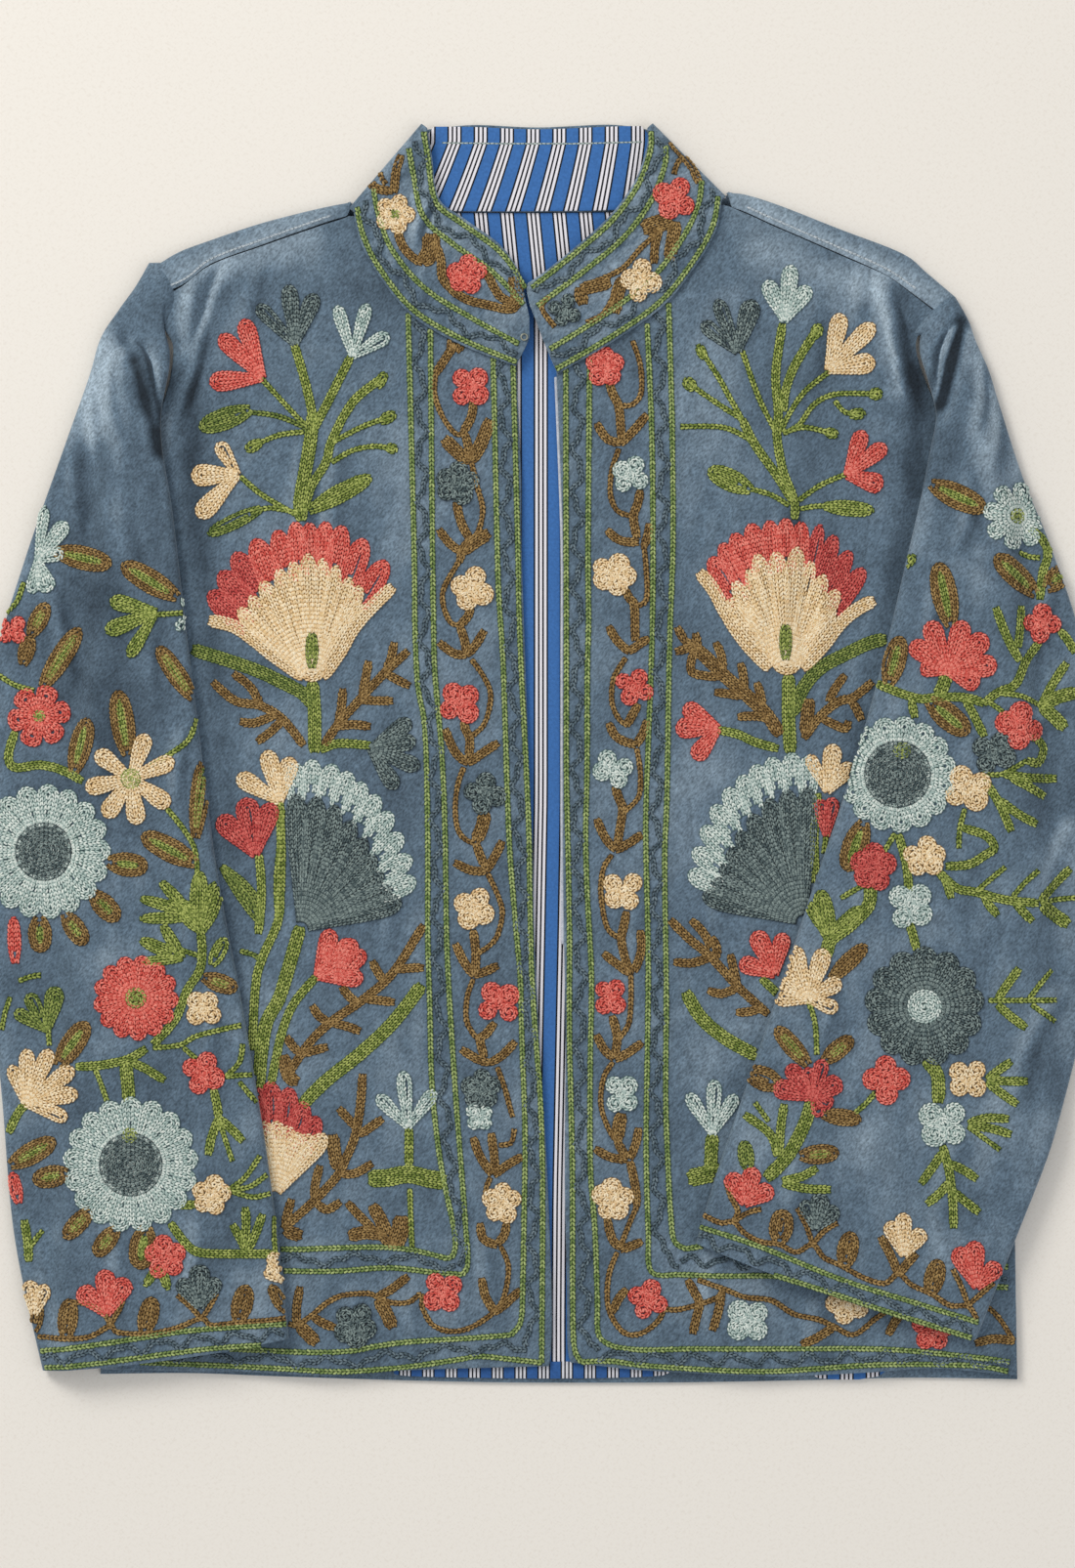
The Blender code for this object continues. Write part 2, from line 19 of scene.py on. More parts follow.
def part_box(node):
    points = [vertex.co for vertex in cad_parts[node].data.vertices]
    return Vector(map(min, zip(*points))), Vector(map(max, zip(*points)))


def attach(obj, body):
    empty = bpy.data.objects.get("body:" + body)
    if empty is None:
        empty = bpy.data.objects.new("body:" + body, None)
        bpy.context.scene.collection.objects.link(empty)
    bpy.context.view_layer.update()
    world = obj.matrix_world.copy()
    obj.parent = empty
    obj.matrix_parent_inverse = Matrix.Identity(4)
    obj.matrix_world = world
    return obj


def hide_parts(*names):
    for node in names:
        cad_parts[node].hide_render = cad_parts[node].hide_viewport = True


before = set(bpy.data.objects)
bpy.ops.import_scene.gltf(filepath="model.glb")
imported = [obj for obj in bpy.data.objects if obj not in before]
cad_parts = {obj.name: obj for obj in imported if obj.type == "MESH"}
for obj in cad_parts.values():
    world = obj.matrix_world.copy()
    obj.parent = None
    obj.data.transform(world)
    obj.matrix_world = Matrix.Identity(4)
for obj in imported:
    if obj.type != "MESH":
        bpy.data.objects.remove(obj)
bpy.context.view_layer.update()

MM = 0.001

# Below this a length is nothing, and two points are one, in metres or in millimetres.
TINY = 1e-6

# The plan of the jacket stands where the frame's neck loop says, because the loop is a true ring.
LOOP_CENTRE = (-20.3, 608.0)
LOOP_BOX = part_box("neck_loop")
SHIFT = (
    (LOOP_BOX[0].x + LOOP_BOX[1].x) / 2 / MM - LOOP_CENTRE[0],
    (LOOP_BOX[0].y + LOOP_BOX[1].y) / 2 / MM - LOOP_CENTRE[1],
)

# Thickness of each cloth wall, in millimetres.
BACK_WALL = 2.0
FRONT_WALL = 2.4
SLEEVE_WALL = 2.4
COLLAR_WALL = 2.0
LINING_WALL = 1.0

# Heights of the layers' middles above the surface, in millimetres, and where along Y they change at the
# shoulder and the armhole.
LAYER_GAP = 0.3
BACK_LEVEL = BACK_WALL / 2
LINING_LEVEL = BACK_WALL + LAYER_GAP + LINING_WALL / 2
FRONT_LEVEL = BACK_WALL + LINING_WALL + 2 * LAYER_GAP + FRONT_WALL / 2
FRONT_SIDE_LEVEL = BACK_WALL + LAYER_GAP + FRONT_WALL / 2
SHOULDER_RISE = 1.4
SHOULDER_STARTS = 600.0
SHOULDER_ENDS = 660.0
SIDE_ROLL = 12.0
ARMHOLE_STARTS = 556.0
ARMHOLE_LENGTH = 32.0
LINING_ON_COLLAR = COLLAR_WALL / 2 + LAYER_GAP + LINING_WALL / 2

# How far the fine fronts stand above the solids' middles, and how far from the side their creases begin.
FRONT_FULLNESS = 0.3
CREASES_START = 2

# How far the back's top runs on at the neck, where it doesn't turn over, and the steps of its laps.
NECK_REACH = 2.0
LAP_PARTS = (0.33, 0.66, 1.0)

# The flattened sleeves: half the height of the rolled edge, how they climb over the front, how their
# heads tuck in, how far from the edges their creases grow, and how far their cuffs bow outwards.
SLEEVE_ROLL = 2.9
SLEEVE_CLEARANCE = 0.6
SLEEVE_LIFT = 0.1
SLEEVE_BRIDGE = 20.0
SLEEVE_SLOPE = 14.0
SLEEVE_CROWN = 1.6
HEAD_TUCK = 5.5
HEAD_TUCK_LEVEL = 3.0
HEAD_TUCK_FLATNESS = 0.4
SLEEVE_EDGE_LENGTH = 16.0
CUFF_BOW = 3.0
CLIMB_STARTS = 606.0
CLIMB_ENDS = 580.0
FOLD_MARGIN = 1.3

# Steps along and across the fine cloth.
FRONT_COLUMNS = 74
FRONT_ROWS = (136, 44)
BACK_ROWS = (40, 30)
BACK_STEPS_ACROSS = 4
LINING_ROWS = (34, 24)
LINING_COLUMNS = 44
ARMHOLE_SHARE = 0.83
SLEEVE_STEPS = 17
SLEEVE_OVER = 54
SLEEVE_UNDER = 14
ROLL_STEPS = 6
COLLAR_ACROSS = 20
COLLAR_STEPS = 9
COLLAR_LINING_STEPS = 16
FACING_STEPS = 120
HEM_FACING_STEPS = (60, 3)
EDGE_ROUNDING = 0.8
EDGE_SEGMENTS = 2
EDGE_ANGLE = 60

# Steps of the smooth curves from one point of a table to the next.
CURVE_STEPS = 8
STEM_STEPS = 6
CREASE_STEPS = 5
PETAL_STEPS = 3

# How folds and creases fade at their ends, as shares of their length, and how many widths a crease reaches.
FOLD_FADE = 0.15
CREASE_OVERRUN = 0.02
CREASE_START_FADE = 0.35
CREASE_END_FADE = 0.45
CREASE_REACH = 3
FAR_AWAY = 1e9

# Faint unevenness of the cloth: waves in a set and the spread of their sizes, then seed, size and height.
RIPPLE_WAVES = 9
RIPPLE_SIZES = (0.7, 1.6)
FRONT_RIPPLES = ((11, 46, 0.22), (12, 17, 0.10))
LINING_RIPPLES = ((21, 60, 0.05),)
SLEEVE_RIPPLES = ((31, 50, 0.35), (32, 18, 0.14))
COLLAR_RIPPLES = ((41, 24, 0.3), (42, 9, 0.16))

# The striped lining, in millimetres. The body's stripes lean a little at the neck.
STRIPE_REPEAT = 15.3
STRIPE_LINE = 1.0
STRIPE_WHITE = 1.5
LINING_STRIPES_START = 6.3
LINING_LEAN = 0.1
LINING_LEANS_FROM = 635.0
LINING_DRIFT = ((37.0, 109.0, 257.0, 340.0), (5.0, 4.5, 1.5, 0.0))

# The collar lining's stripes stand upright above its topstitching and slant below it.
COLLAR_STRIPES_TOP = 722.0
COLLAR_STRIPES_START = 10.8
COLLAR_SLANT = 0.234
COLLAR_SLANT_FADE = 0.0023

# The camera looks straight down at the photograph's frame, in millimetres of the plan.
PHOTO_HEIGHT = 914.85
PHOTO_CENTRE = (-12.5, 347.4)
CAMERA_DISTANCE = 3.0
CAMERA_AIM_HEIGHT = 0.008
CAMERA_CLIP = (0.05, 60)
SENSOR = 36.0

# Lamps: name, place and size in metres, power and colour. The first is like a window at the upper left.
LAMPS = (
    ("window_light", (-2.0, 2.2, 2.35), 1.6, 82.0, "#fffaf2"),
    ("fill_light", (2.2, -1.4, 3.0), 2.6, 18.0, "#f2f5ff"),
)
ROOM_COLOUR = "#f4f2ee"
ROOM_STRENGTH = 0.62
FLOOR_REACH = 6.0

# Colours of the striped cottons.
STRIPE_BLUE = "#3a6cae"
STRIPE_BLACK = "#10131c"
STRIPE_PALE = "#e4e4ee"
# The hem's blue and pale are the lining's darkened with painted shade, for the facing that shows below the
# fronts.
HEM_SHADED_BLUE = "#2f5a97"
HEM_SHADED_PALE = "#cfd2dc"

# Tones of the materials, from place to colour. The grey ones lighten or darken the colour below them.
# The velvet's tones run from painted shade at 0 to painted highlight at 1, picked by its painted light and
# random patches.
VELVET_SHADE_TO_HIGHLIGHT = ((0.0, "#212a33"), (0.22, "#3a4855"), (0.5, "#596b7b"), (1.0, "#95a5b2"))
STROKE_TONES = ((0.28, "#a4a6a8"), (0.74, "#d4d6d8"))
PILE_TONES = ((0.28, "#8a8c8e"), (0.74, "#e8eaec"))
WEAVE_TONES = ((0.25, "#a8a8a8"), (0.75, "#cecece"))
HAIR_TONES = ((0.3, "#a0a0a0"), (0.7, "#d8d8d8"))
LINEN_TONES = ((0.7, "#e8e4de"), (1.0, "#eeebe6"))
LOOP_TONES = ((0.3, "#8f9489"), (0.7, "#b9bdae"))
FACING_TONES = ((0.3, "#a9b1bf"), (0.7, "#c6ccd8"))
WOOL_DARK_PLACE = 0.3

# How much the patches count, and how strongly each layer of tones is laid over the colour below it.
PATCH_SHARE = 0.6
STROKE_MIX = 0.55
PILE_MIX = 0.8
WEAVE_MIX = 0.6
HAIR_MIX = 0.7

# Sockets of a mix of two colours: the one below, the one laid over it, and the outcome.
MIX_BELOW = 6
MIX_ABOVE = 7
MIXED = 2

# Sizes of what the materials show, in millimetres, and the degrees and stretch of what lies aslant.
# Noise has blotches of about half its unit.
NOISE_BLOTCH = 0.5
PATCH_SIZE = 30
STROKE_SIZE = 2.5
STROKE_SLANT = -24
STROKE_STRETCH = 1.6
PILE_SIZE = 0.5
PILE_SLANT = -38
PILE_STRETCH = 2.0
PUCKER_SIZE = 7
WEAVE_SIZE = 0.8
LINEN_SIZE = 0.45
LINEN_SLANTS = (45, -45)
LINEN_STRETCH = 3
CLOUD_SIZE = 1.0
HAIR_SIZE = 0.45

Fold = namedtuple("Fold", "start_x start_y end_x end_y width height")
Crease = namedtuple("Crease", "start_x start_y bend_x bend_y end_x end_y left_width right_width height")
Shoulder = namedtuple("Shoulder", "top_x top_y seam_x seam_y turn")
SleeveSection = namedtuple("SleeveSection", "inner_x inner_y outer_x outer_y bow")
CollarRow = namedtuple("CollarRow", "neck_x neck_y neck_z top_x top_y top_z")
CollarFold = namedtuple("CollarFold", "neck_x neck_y neck_low neck_high top_x top_y top_low top_high outward")

# Side seam and armhole, hem to shoulder: x, y.
RIGHT_SIDE = (
    (-267.9, 2.5), (-262.2, 149.3), (-254.2, 320.3), (-244.0, 450.0), (-240.0, 520.0), (-236.0, 556.0),
    (-229.5, 575.0), (-226.3, 588.0), (-225.4, 604.0), (-231.5, 617.0), (-226.5, 634.4),
)
LEFT_SIDE = (
    (267.9, -0.6), (264.5, 149.3), (255.4, 320.3), (243.0, 450.0), (234.0, 520.0), (226.0, 555.0),
    (218.5, 572.0), (213.7, 583.0), (208.8, 598.5), (209.4, 609.0), (219.8, 622.8),
)

# Hems, side to front edge: x, y.
RIGHT_HEM = ((-267.9, 5.7), (-183.5, 4.0), (-137.9, 2.3), (-100.3, 4.6), (-52.4, 6.3), (-5.7, 7.4))
LEFT_HEM = ((267.3, 1.6), (220.0, 6.3), (182.4, 4.0), (135.1, 1.7), (106.6, 2.3), (49.6, 5.1), (6.8, 9.7))
BACK_HEM = (
    (-267.9, 2.3), (-215.0, 3.0), (-163.0, 1.1), (-98.0, -1.0), (-35.9, -2.4),
    (30.8, -2.6), (88.7, -2.2), (150.0, -1.0), (201.0, 0.3), (240.0, 0.0), (267.9, -0.6),
)

# Front edges, hem to neck: x, y.
RIGHT_EDGE = (
    (-5.7, 7.4), (-4.3, 22.0), (-4.3, 55.0), (-6.8, 119.0), (-9.2, 162.0), (-11.5, 201.0), (-14.3, 257.5),
    (-15.4, 311.0), (-18.0, 372.0), (-19.9, 427.0), (-21.9, 485.6), (-22.2, 531.2), (-25.1, 595.0),
)
LEFT_EDGE = (
    (6.8, 9.7), (5.0, 20.0), (4.6, 55.0), (3.4, 119.0), (3.9, 201.0), (3.0, 257.5), (2.4, 320.0),
    (2.4, 427.0), (2.4, 485.6), (1.0, 531.2), (-1.5, 591.0),
)

# Shoulder seam and neck edge of each front, armhole to centre front: x, y.
RIGHT_TOP = (
    (-226.5, 634.4), (-217.6, 639.2), (-203.1, 650.4), (-176.0, 660.4), (-148.0, 670.2), (-129.0, 676.4),
    (-118.5, 678.5), (-110.5, 664.0), (-101.5, 648.0), (-83.0, 625.5), (-56.0, 608.5), (-25.1, 595.0),
)
LEFT_TOP = (
    (219.8, 622.8), (206.0, 633.2), (189.0, 644.7), (158.0, 658.7), (127.0, 672.2), (106.0, 681.6),
    (93.5, 685.0), (87.5, 671.5), (77.5, 654.5), (58.5, 631.0), (31.0, 610.5), (-1.1, 591.0),
)

# Top of the back: the rolled edge, the seam that it laps forward to, and how far it turns over.
BACK_TOP = (
    Shoulder(-233.0, 650.5, -227.5, 635.5, 180),
    Shoulder(-221.3, 657.4, -217.0, 640.4, 180),
    Shoulder(-206.7, 662.9, -203.0, 651.2, 180),
    Shoulder(-177.8, 672.8, -176.0, 661.2, 180),
    Shoulder(-155.0, 679.0, -152.0, 669.8, 180),
    Shoulder(-136.0, 683.5, -134.0, 676.0, 180),
    Shoulder(-124.8, 685.6, -123.8, 679.0, 180),
    Shoulder(-121.2, 685.6, -120.8, 680.5, 60),
    Shoulder(-118.0, 685.3, -118.0, 680.3, 0),
    Shoulder(-66.7, 684.5, -66.7, 680.0, 0),
    Shoulder(-12.5, 684.5, -12.5, 680.0, 0),
    Shoulder(45.0, 685.5, 45.0, 680.0, 0),
    Shoulder(95.0, 689.0, 95.0, 684.5, 0),
    Shoulder(98.5, 691.2, 98.0, 686.0, 60),
    Shoulder(102.5, 691.6, 101.0, 684.0, 180),
    Shoulder(111.0, 690.2, 109.0, 681.2, 180),
    Shoulder(130.0, 684.0, 127.0, 673.0, 180),
    Shoulder(164.2, 670.5, 158.0, 659.5, 180),
    Shoulder(200.1, 656.6, 189.0, 645.5, 180),
    Shoulder(214.0, 645.5, 206.0, 634.0, 180),
    Shoulder(230.5, 631.5, 221.5, 622.6, 180),
)

# The striped lining of the back, hem, sides and top: x, y.
LINING_HEM = (
    (-253.9, 8.0), (-183.0, 8.0), (-108.0, 7.6), (-96.0, 2.6), (-36.0, 0.6), (30.0, 0.6), (60.0, 1.6),
    (72.0, 6.4), (106.6, 6.0), (142.0, 5.6), (152.0, 0.0), (184.0, 0.0), (194.0, 7.0), (253.9, 6.0),
)
LINING_RIGHT = (
    (-253.9, 8.0), (-240.0, 320.0), (-230.0, 450.0), (-220.0, 560.0), (-212.0, 600.0), (-213.0, 636.0),
)
LINING_LEFT = ((253.9, 6.0), (241.0, 320.0), (229.0, 450.0), (210.0, 560.0), (196.0, 598.0), (204.0, 622.0))
LINING_TOP = (
    (-213.0, 636.0), (-180.0, 655.0), (-150.0, 665.0), (-119.0, 677.0), (-108.0, 681.2), (-12.0, 681.2),
    (80.0, 682.0), (92.0, 681.0), (130.0, 668.0), (164.0, 655.0), (204.0, 622.0),
)

# Flattened sleeves, armhole to cuff. The bow swings a section towards the body.
RIGHT_SLEEVE = (
    SleeveSection(-238.8, 613.2, -239.6, 652.0, 8.5),
    SleeveSection(-229.4, 604.2, -247.5, 638.0, 3.0),
    SleeveSection(-227.6, 589.4, -257.1, 624.2, 0.0),
    SleeveSection(-232.0, 563.7, -267.3, 608.2, 0.0),
    SleeveSection(-231.4, 541.5, -274.2, 585.4, 0.0),
    SleeveSection(-225.1, 502.7, -288.4, 545.5, 0.0),
    SleeveSection(-217.7, 440.0, -311.8, 478.8, 0.0),
    SleeveSection(-209.8, 377.3, -329.5, 417.2, 0.0),
    SleeveSection(-199.5, 297.5, -337.4, 348.8, 0.0),
    SleeveSection(-184.6, 217.7, -336.9, 269.0, 0.0),
    SleeveSection(-171.6, 140.8, -326.0, 172.1, 0.0),
    SleeveSection(-163.2, 78.1, -318.1, 83.8, 0.0),
    SleeveSection(-157.3, 24.5, -301.5, 5.1, 0.0),
)
LEFT_SLEEVE = (
    SleeveSection(211.5, 609.3, 231.2, 632.3, 0.0),
    SleeveSection(210.9, 598.5, 238.8, 619.0, 0.0),
    SleeveSection(215.5, 581.4, 243.5, 606.0, 0.0),
    SleeveSection(220.0, 561.5, 250.8, 589.4, 0.0),
    SleeveSection(216.6, 541.5, 256.5, 571.1, 0.0),
    SleeveSection(210.3, 511.3, 271.3, 525.5, 0.0),
    SleeveSection(202.9, 479.9, 288.4, 482.8, 0.0),
    SleeveSection(188.1, 417.2, 305.5, 428.6, 0.0),
    SleeveSection(168.7, 348.8, 315.2, 354.5, 0.0),
    SleeveSection(145.9, 280.4, 315.2, 280.4, 0.0),
    SleeveSection(123.1, 212.0, 305.5, 206.3, 0.0),
    SleeveSection(102.6, 152.2, 288.4, 140.8, 0.0),
    SleeveSection(90.1, 115.1, 266.8, 83.8, 0.0),
    SleeveSection(79.8, 79.8, 242.8, 23.4, 0.0),
)

# The stand collar, one band folded at both sides of the neck.
COLLAR_RIGHT_FRONT = (
    CollarRow(-25.1, 591.2, 7.6, -19.4, 639.0, 8.2),
    CollarRow(-58.1, 604.2, 7.7, -32.5, 660.1, 8.4),
    CollarRow(-86.6, 621.3, 8.0, -55.3, 677.2, 8.6),
    CollarRow(-106.6, 646.4, 8.6, -70.1, 689.1, 8.8),
    CollarRow(-116.3, 665.2, 9.0, -74.1, 713.6, 8.6),
)
COLLAR_RIGHT_FOLD = CollarFold(-121.8, 683.0, 3.4, 9.0, -79.6, 732.4, 1.0, 8.4, -1)
COLLAR_BACK = (
    CollarRow(-66.7, 681.8, 3.3, -50.0, 732.6, 1.0),
    CollarRow(-12.5, 681.8, 3.3, -12.5, 731.2, 1.0),
    CollarRow(45.0, 683.0, 3.3, 30.0, 732.8, 1.0),
)
COLLAR_LEFT_FOLD = CollarFold(96.8, 689.8, 3.4, 9.0, 54.2, 732.6, 1.0, 8.4, 1)
COLLAR_LEFT_FRONT = (
    CollarRow(91.8, 670.9, 9.0, 51.3, 719.3, 8.6),
    CollarRow(81.5, 652.1, 8.6, 44.5, 699.4, 8.8),
    CollarRow(61.6, 627.0, 8.0, 30.2, 679.4, 8.6),
    CollarRow(33.1, 606.5, 7.7, 10.3, 661.2, 8.4),
    CollarRow(-0.8, 586.8, 7.6, -16.5, 639.5, 8.2),
)
COLLAR_CROWN = 0.9
COLLAR_FOLD_TURNS = (90, 67.5, 45, 22.5, 0, -22.5, -45, -67.5, -90)

# The lining of the collar's back, between its folds.
COLLAR_LINING = (
    CollarRow(-113.0, 682.4, 3.4, -73.0, 731.6, 1.0),
    CollarRow(-66.7, 681.9, 3.3, -50.0, 731.4, 1.0),
    CollarRow(-12.5, 681.9, 3.3, -12.5, 730.0, 1.0),
    CollarRow(45.0, 683.1, 3.3, 30.0, 731.6, 1.0),
    CollarRow(88.0, 688.0, 3.4, 48.0, 732.0, 1.0),
)

# How the collar's ends bow: share up from the neck edge, and millimetres along the band.
COLLAR_RIGHT_BOW = ((0.0, 0.25, 0.35, 0.6, 0.8, 0.92, 1.0), (0.0, 4.6, 6.0, 4.4, 1.0, -0.9, -0.6))
COLLAR_LEFT_BOW = ((0.0, 0.33, 0.63, 0.76, 0.93, 1.0), (0.0, -2.4, -3.6, -4.4, -3.6, -1.6))

# How the bow fades over the first rows of each end, and the share of the band that stays plain at its edges.
COLLAR_BOW_FADE = (1.0, 0.7, 0.4, 0.15)
COLLAR_EDGE = 0.12

# The edge of the left front's facing, and the facing of the back hem.
FACING_FROM = 0.42
FACING_TO = 0.99
FACING_EDGE = (-1.5, -0.5, 0.5)
FACING_WALL = 1.4
HEM_FACING_LOW = ((-97.0, 5.0), (-90.0, 1.6), (-36.0, 0.2), (0.0, 0.0), (30.0, 0.4), (56.0, 1.4), (62.0, 4.0))
HEM_FACING_TOP = 9.9
HEM_FACING_LEVEL = 3.5
HEM_FACING_WALL = 0.4
HEM_STRIPE_REPEAT = 13.5
HEM_STRIPES_START = -5.1

# The loop that closes the neck, on the end of the collar's right front.
LOOP_RADIUS = 1.8
LOOP_THREAD = 0.45
LOOP_HEIGHT = 10.3
LOOP_SIDES = 10
LOOP_STEPS = 32

# Main folds of the fronts and of the sleeves' upper layers, as the solids have them.
FRONT_FOLDS = (
    Fold(-213.0, 645.0, -221.0, 592.0, 8.0, 1.8),
    Fold(-189.0, 655.0, -207.0, 570.0, 11.0, 1.4),
    Fold(-150.0, 520.0, -138.0, 300.0, 22.0, 1.2),
    Fold(-92.0, 560.0, -66.0, 380.0, 17.0, 1.0),
    Fold(-137.0, 75.0, -138.0, 0.0, 24.0, 1.4),
    Fold(-58.0, 80.0, -52.0, 5.0, 20.0, 1.0),
    Fold(187.0, 642.0, 199.0, 566.0, 11.0, 2.6),
    Fold(147.0, 634.0, 130.0, 486.0, 15.0, 1.3),
    Fold(108.0, 600.0, 116.0, 430.0, 13.0, 1.0),
    Fold(66.0, 330.0, 40.0, 180.0, 20.0, 1.0),
    Fold(106.0, 75.0, 106.0, 0.0, 24.0, 1.3),
    Fold(185.0, 65.0, 192.0, 0.0, 20.0, 1.2),
)
SLEEVE_FOLDS = (
    Fold(-253.0, 609.0, -239.0, 560.0, 5.5, -2.6),
    Fold(-259.0, 592.0, -243.0, 505.0, 12.0, 1.2),
    Fold(-291.0, 505.0, -262.0, 390.0, 18.0, 0.9),
    Fold(-262.0, 300.0, -252.0, 180.0, 24.0, 0.9),
    Fold(237.0, 618.0, 222.0, 560.0, 5.5, -2.6),
    Fold(247.0, 592.0, 262.0, 470.0, 12.0, 1.2),
    Fold(277.0, 410.0, 236.0, 300.0, 20.0, 0.9),
    Fold(236.0, 215.0, 202.0, 120.0, 22.0, 0.9),
)

# Creases of the cloth. Left and right of a crease are seen along its run.
FRONT_CREASES = (
    Crease(-213, 649, -214, 620, -221, 588, 4, 5, 1.6),
    Crease(-207, 622, -212, 590, -222, 560, 3, 5, 1.9),
    Crease(-196, 655, -206, 628, -212, 606, 3, 3, -1.7),
    Crease(-172, 655, -180, 625, -186, 600, 4, 6, 1.0),
    Crease(-150, 560, -151, 500, -147, 455, 5, 4, 1.2),
    Crease(-139, 545, -141, 490, -138, 440, 3, 4, -1.0),
    Crease(-128, 552, -131, 505, -127, 455, 4, 4, 1.0),
    Crease(-180, 470, -176, 440, -165, 415, 4, 6, 0.8),
    Crease(-108, 330, -100, 290, -98, 240, 6, 4, 1.0),
    Crease(-76, 280, -78, 220, -74, 150, 5, 6, 0.8),
    Crease(-62, 120, -56, 90, -58, 60, 4, 5, 0.8),
    Crease(-44, 90, -42, 60, -36, 20, 5, 5, 1.2),
    Crease(-120, 60, -118, 34, -122, 8, 5, 6, 1.2),
    Crease(-88, 52, -84, 30, -86, 8, 4, 5, 1.0),
    Crease(184, 647, 193, 615, 205, 556, 10, 2.2, 2.6),
    Crease(193, 640, 202, 616, 208, 590, 3, 4, -1.7),
    Crease(176, 652, 176, 630, 172, 606, 5, 5, 1.2),
    Crease(150, 640, 150, 600, 142, 560, 5, 6, 0.8),
    Crease(128, 520, 131, 460, 127, 408, 4, 4, 1.5),
    Crease(140, 522, 144, 470, 141, 412, 3, 3, -1.4),
    Crease(152, 512, 155, 460, 152, 415, 4, 4, 1.4),
    Crease(116, 510, 118, 470, 116, 430, 4, 4, 0.8),
    Crease(62, 560, 60, 520, 64, 470, 4, 5, 0.7),
    Crease(100, 330, 96, 290, 92, 250, 6, 5, 0.8),
    Crease(48, 300, 44, 250, 47, 190, 5, 5, 0.8),
    Crease(92, 80, 88, 48, 92, 12, 6, 5, 1.4),
    Crease(150, 50, 152, 28, 150, 6, 6, 6, 1.4),
    Crease(214, 44, 217, 24, 214, 6, 6, 6, 1.4),
)
SLEEVE_CREASES = (
    Crease(-252, 607, -240, 590, -231, 536, 2.2, 11, 3.0),
    Crease(-247, 606, -238, 592, -235, 566, 3, 3, -2.0),
    Crease(-262, 600, -262, 570, -250, 530, 4, 5, 1.5),
    Crease(-272, 586, -272, 555, -262, 520, 4, 4, 1.4),
    Crease(-281, 560, -283, 520, -276, 480, 5, 5, 1.2),
    Crease(-253, 520, -250, 485, -240, 450, 5, 6, 1.2),
    Crease(-296, 470, -289, 430, -281, 400, 5, 5, 1.4),
    Crease(-232, 460, -238, 420, -234, 380, 4, 6, 1.0),
    Crease(-272, 400, -268, 360, -258, 330, 6, 5, 0.8),
    Crease(-214, 390, -222, 350, -216, 310, 4, 5, 1.0),
    Crease(-305, 330, -292, 300, -286, 270, 5, 6, 1.0),
    Crease(-206, 300, -214, 262, -208, 230, 4, 5, 0.8),
    Crease(-196, 220, -204, 190, -196, 160, 4, 5, 1.0),
    Crease(-262, 100, -256, 70, -260, 30, 6, 6, 1.2),
    Crease(-212, 96, -210, 64, -214, 26, 6, 5, 1.0),
    Crease(235, 616, 226, 598, 215, 530, 11, 2.2, 3.0),
    Crease(229, 613, 222, 596, 221, 572, 3, 3, -2.0),
    Crease(246, 602, 247, 575, 243, 545, 3, 4, 1.5),
    Crease(252, 590, 257, 560, 252, 525, 4, 4, 1.5),
    Crease(262, 566, 270, 530, 262, 490, 5, 5, 1.4),
    Crease(236, 536, 240, 505, 230, 480, 4, 5, 1.0),
    Crease(290, 470, 280, 440, 276, 410, 5, 5, 1.4),
    Crease(222, 470, 216, 430, 218, 400, 4, 5, 1.0),
    Crease(300, 400, 284, 385, 262, 380, 4, 5, 1.0),
    Crease(196, 400, 200, 360, 192, 330, 4, 5, 1.0),
    Crease(304, 330, 288, 300, 280, 260, 6, 5, 1.2),
    Crease(172, 330, 180, 290, 172, 260, 4, 5, 1.0),
    Crease(296, 230, 276, 200, 262, 150, 6, 6, 1.5),
    Crease(150, 250, 158, 215, 150, 190, 4, 5, 0.8),
    Crease(240, 150, 226, 118, 222, 70, 6, 6, 1.2),
    Crease(140, 150, 140, 120, 130, 80, 5, 6, 1.0),
)
COLLAR_CREASES = (
    Crease(-74, 690, -80, 672, -84, 664, 2.2, 5, 2.0),
    Crease(-70, 687, -76, 676, -81, 664, 2.5, 3, -2.0),
    Crease(-100, 668, -94, 652, -96, 640, 4, 4, 0.8),
    Crease(66, 690, 62, 672, 70, 655, 4, 4, 1.0),
    Crease(34, 655, 36, 640, 42, 628, 4, 5, 0.8),
    Crease(-42, 652, -46, 636, -54, 620, 4, 4, 0.8),
)

# Chain stitches, in millimetres: the step from one to the next, the width of a single line and of a
# row in a filling, and how far apart filling rows lie.
STITCH_STEP = 2.5
LINE_WIDTH = 3.7
FILL_WIDTH = 3.1
FILL_SPACING = 2.6
COLLAR_TOPSTITCH_WIDTH = 0.9
SHOULDER_TOPSTITCH_WIDTH = 1.3

# Where stitches are sewn: the cloth is searched for from this height, and left bare where it is steeper
# than this. No two stitches have quite the same turn and width.
SEWING_SEED = 5
SEARCH_HEIGHT = 60.0
STEEPEST = 0.35
TURN_SPREAD = 0.07
WIDTH_SPREAD = (0.93, 1.08)

# How far motifs are lifted off the cloth, in millimetres, so that the later ones lie on the earlier. The
# bowl's lift and the overlaps are added to these, the overlaps for every second petal.
LINE_LIFT = 0.05
BASE_LIFT = 0.1
LEAF_LIFT = 0.15
CORD_LIFT = 0.2
FLOWER_LIFT = 0.45
HEART_LIFT = 0.8
SEED_LIFT = 1.4
BOWL_LIFT = 0.3
TIP_OVERLAP = 0.08
FAN_OVERLAP = 0.1
BLOOM_OVERLAP = 0.12

# Stems: how far from an end their rows draw together, and how close they come.
STEM_ROUNDING = 2.6
STEM_NARROWEST = 0.25

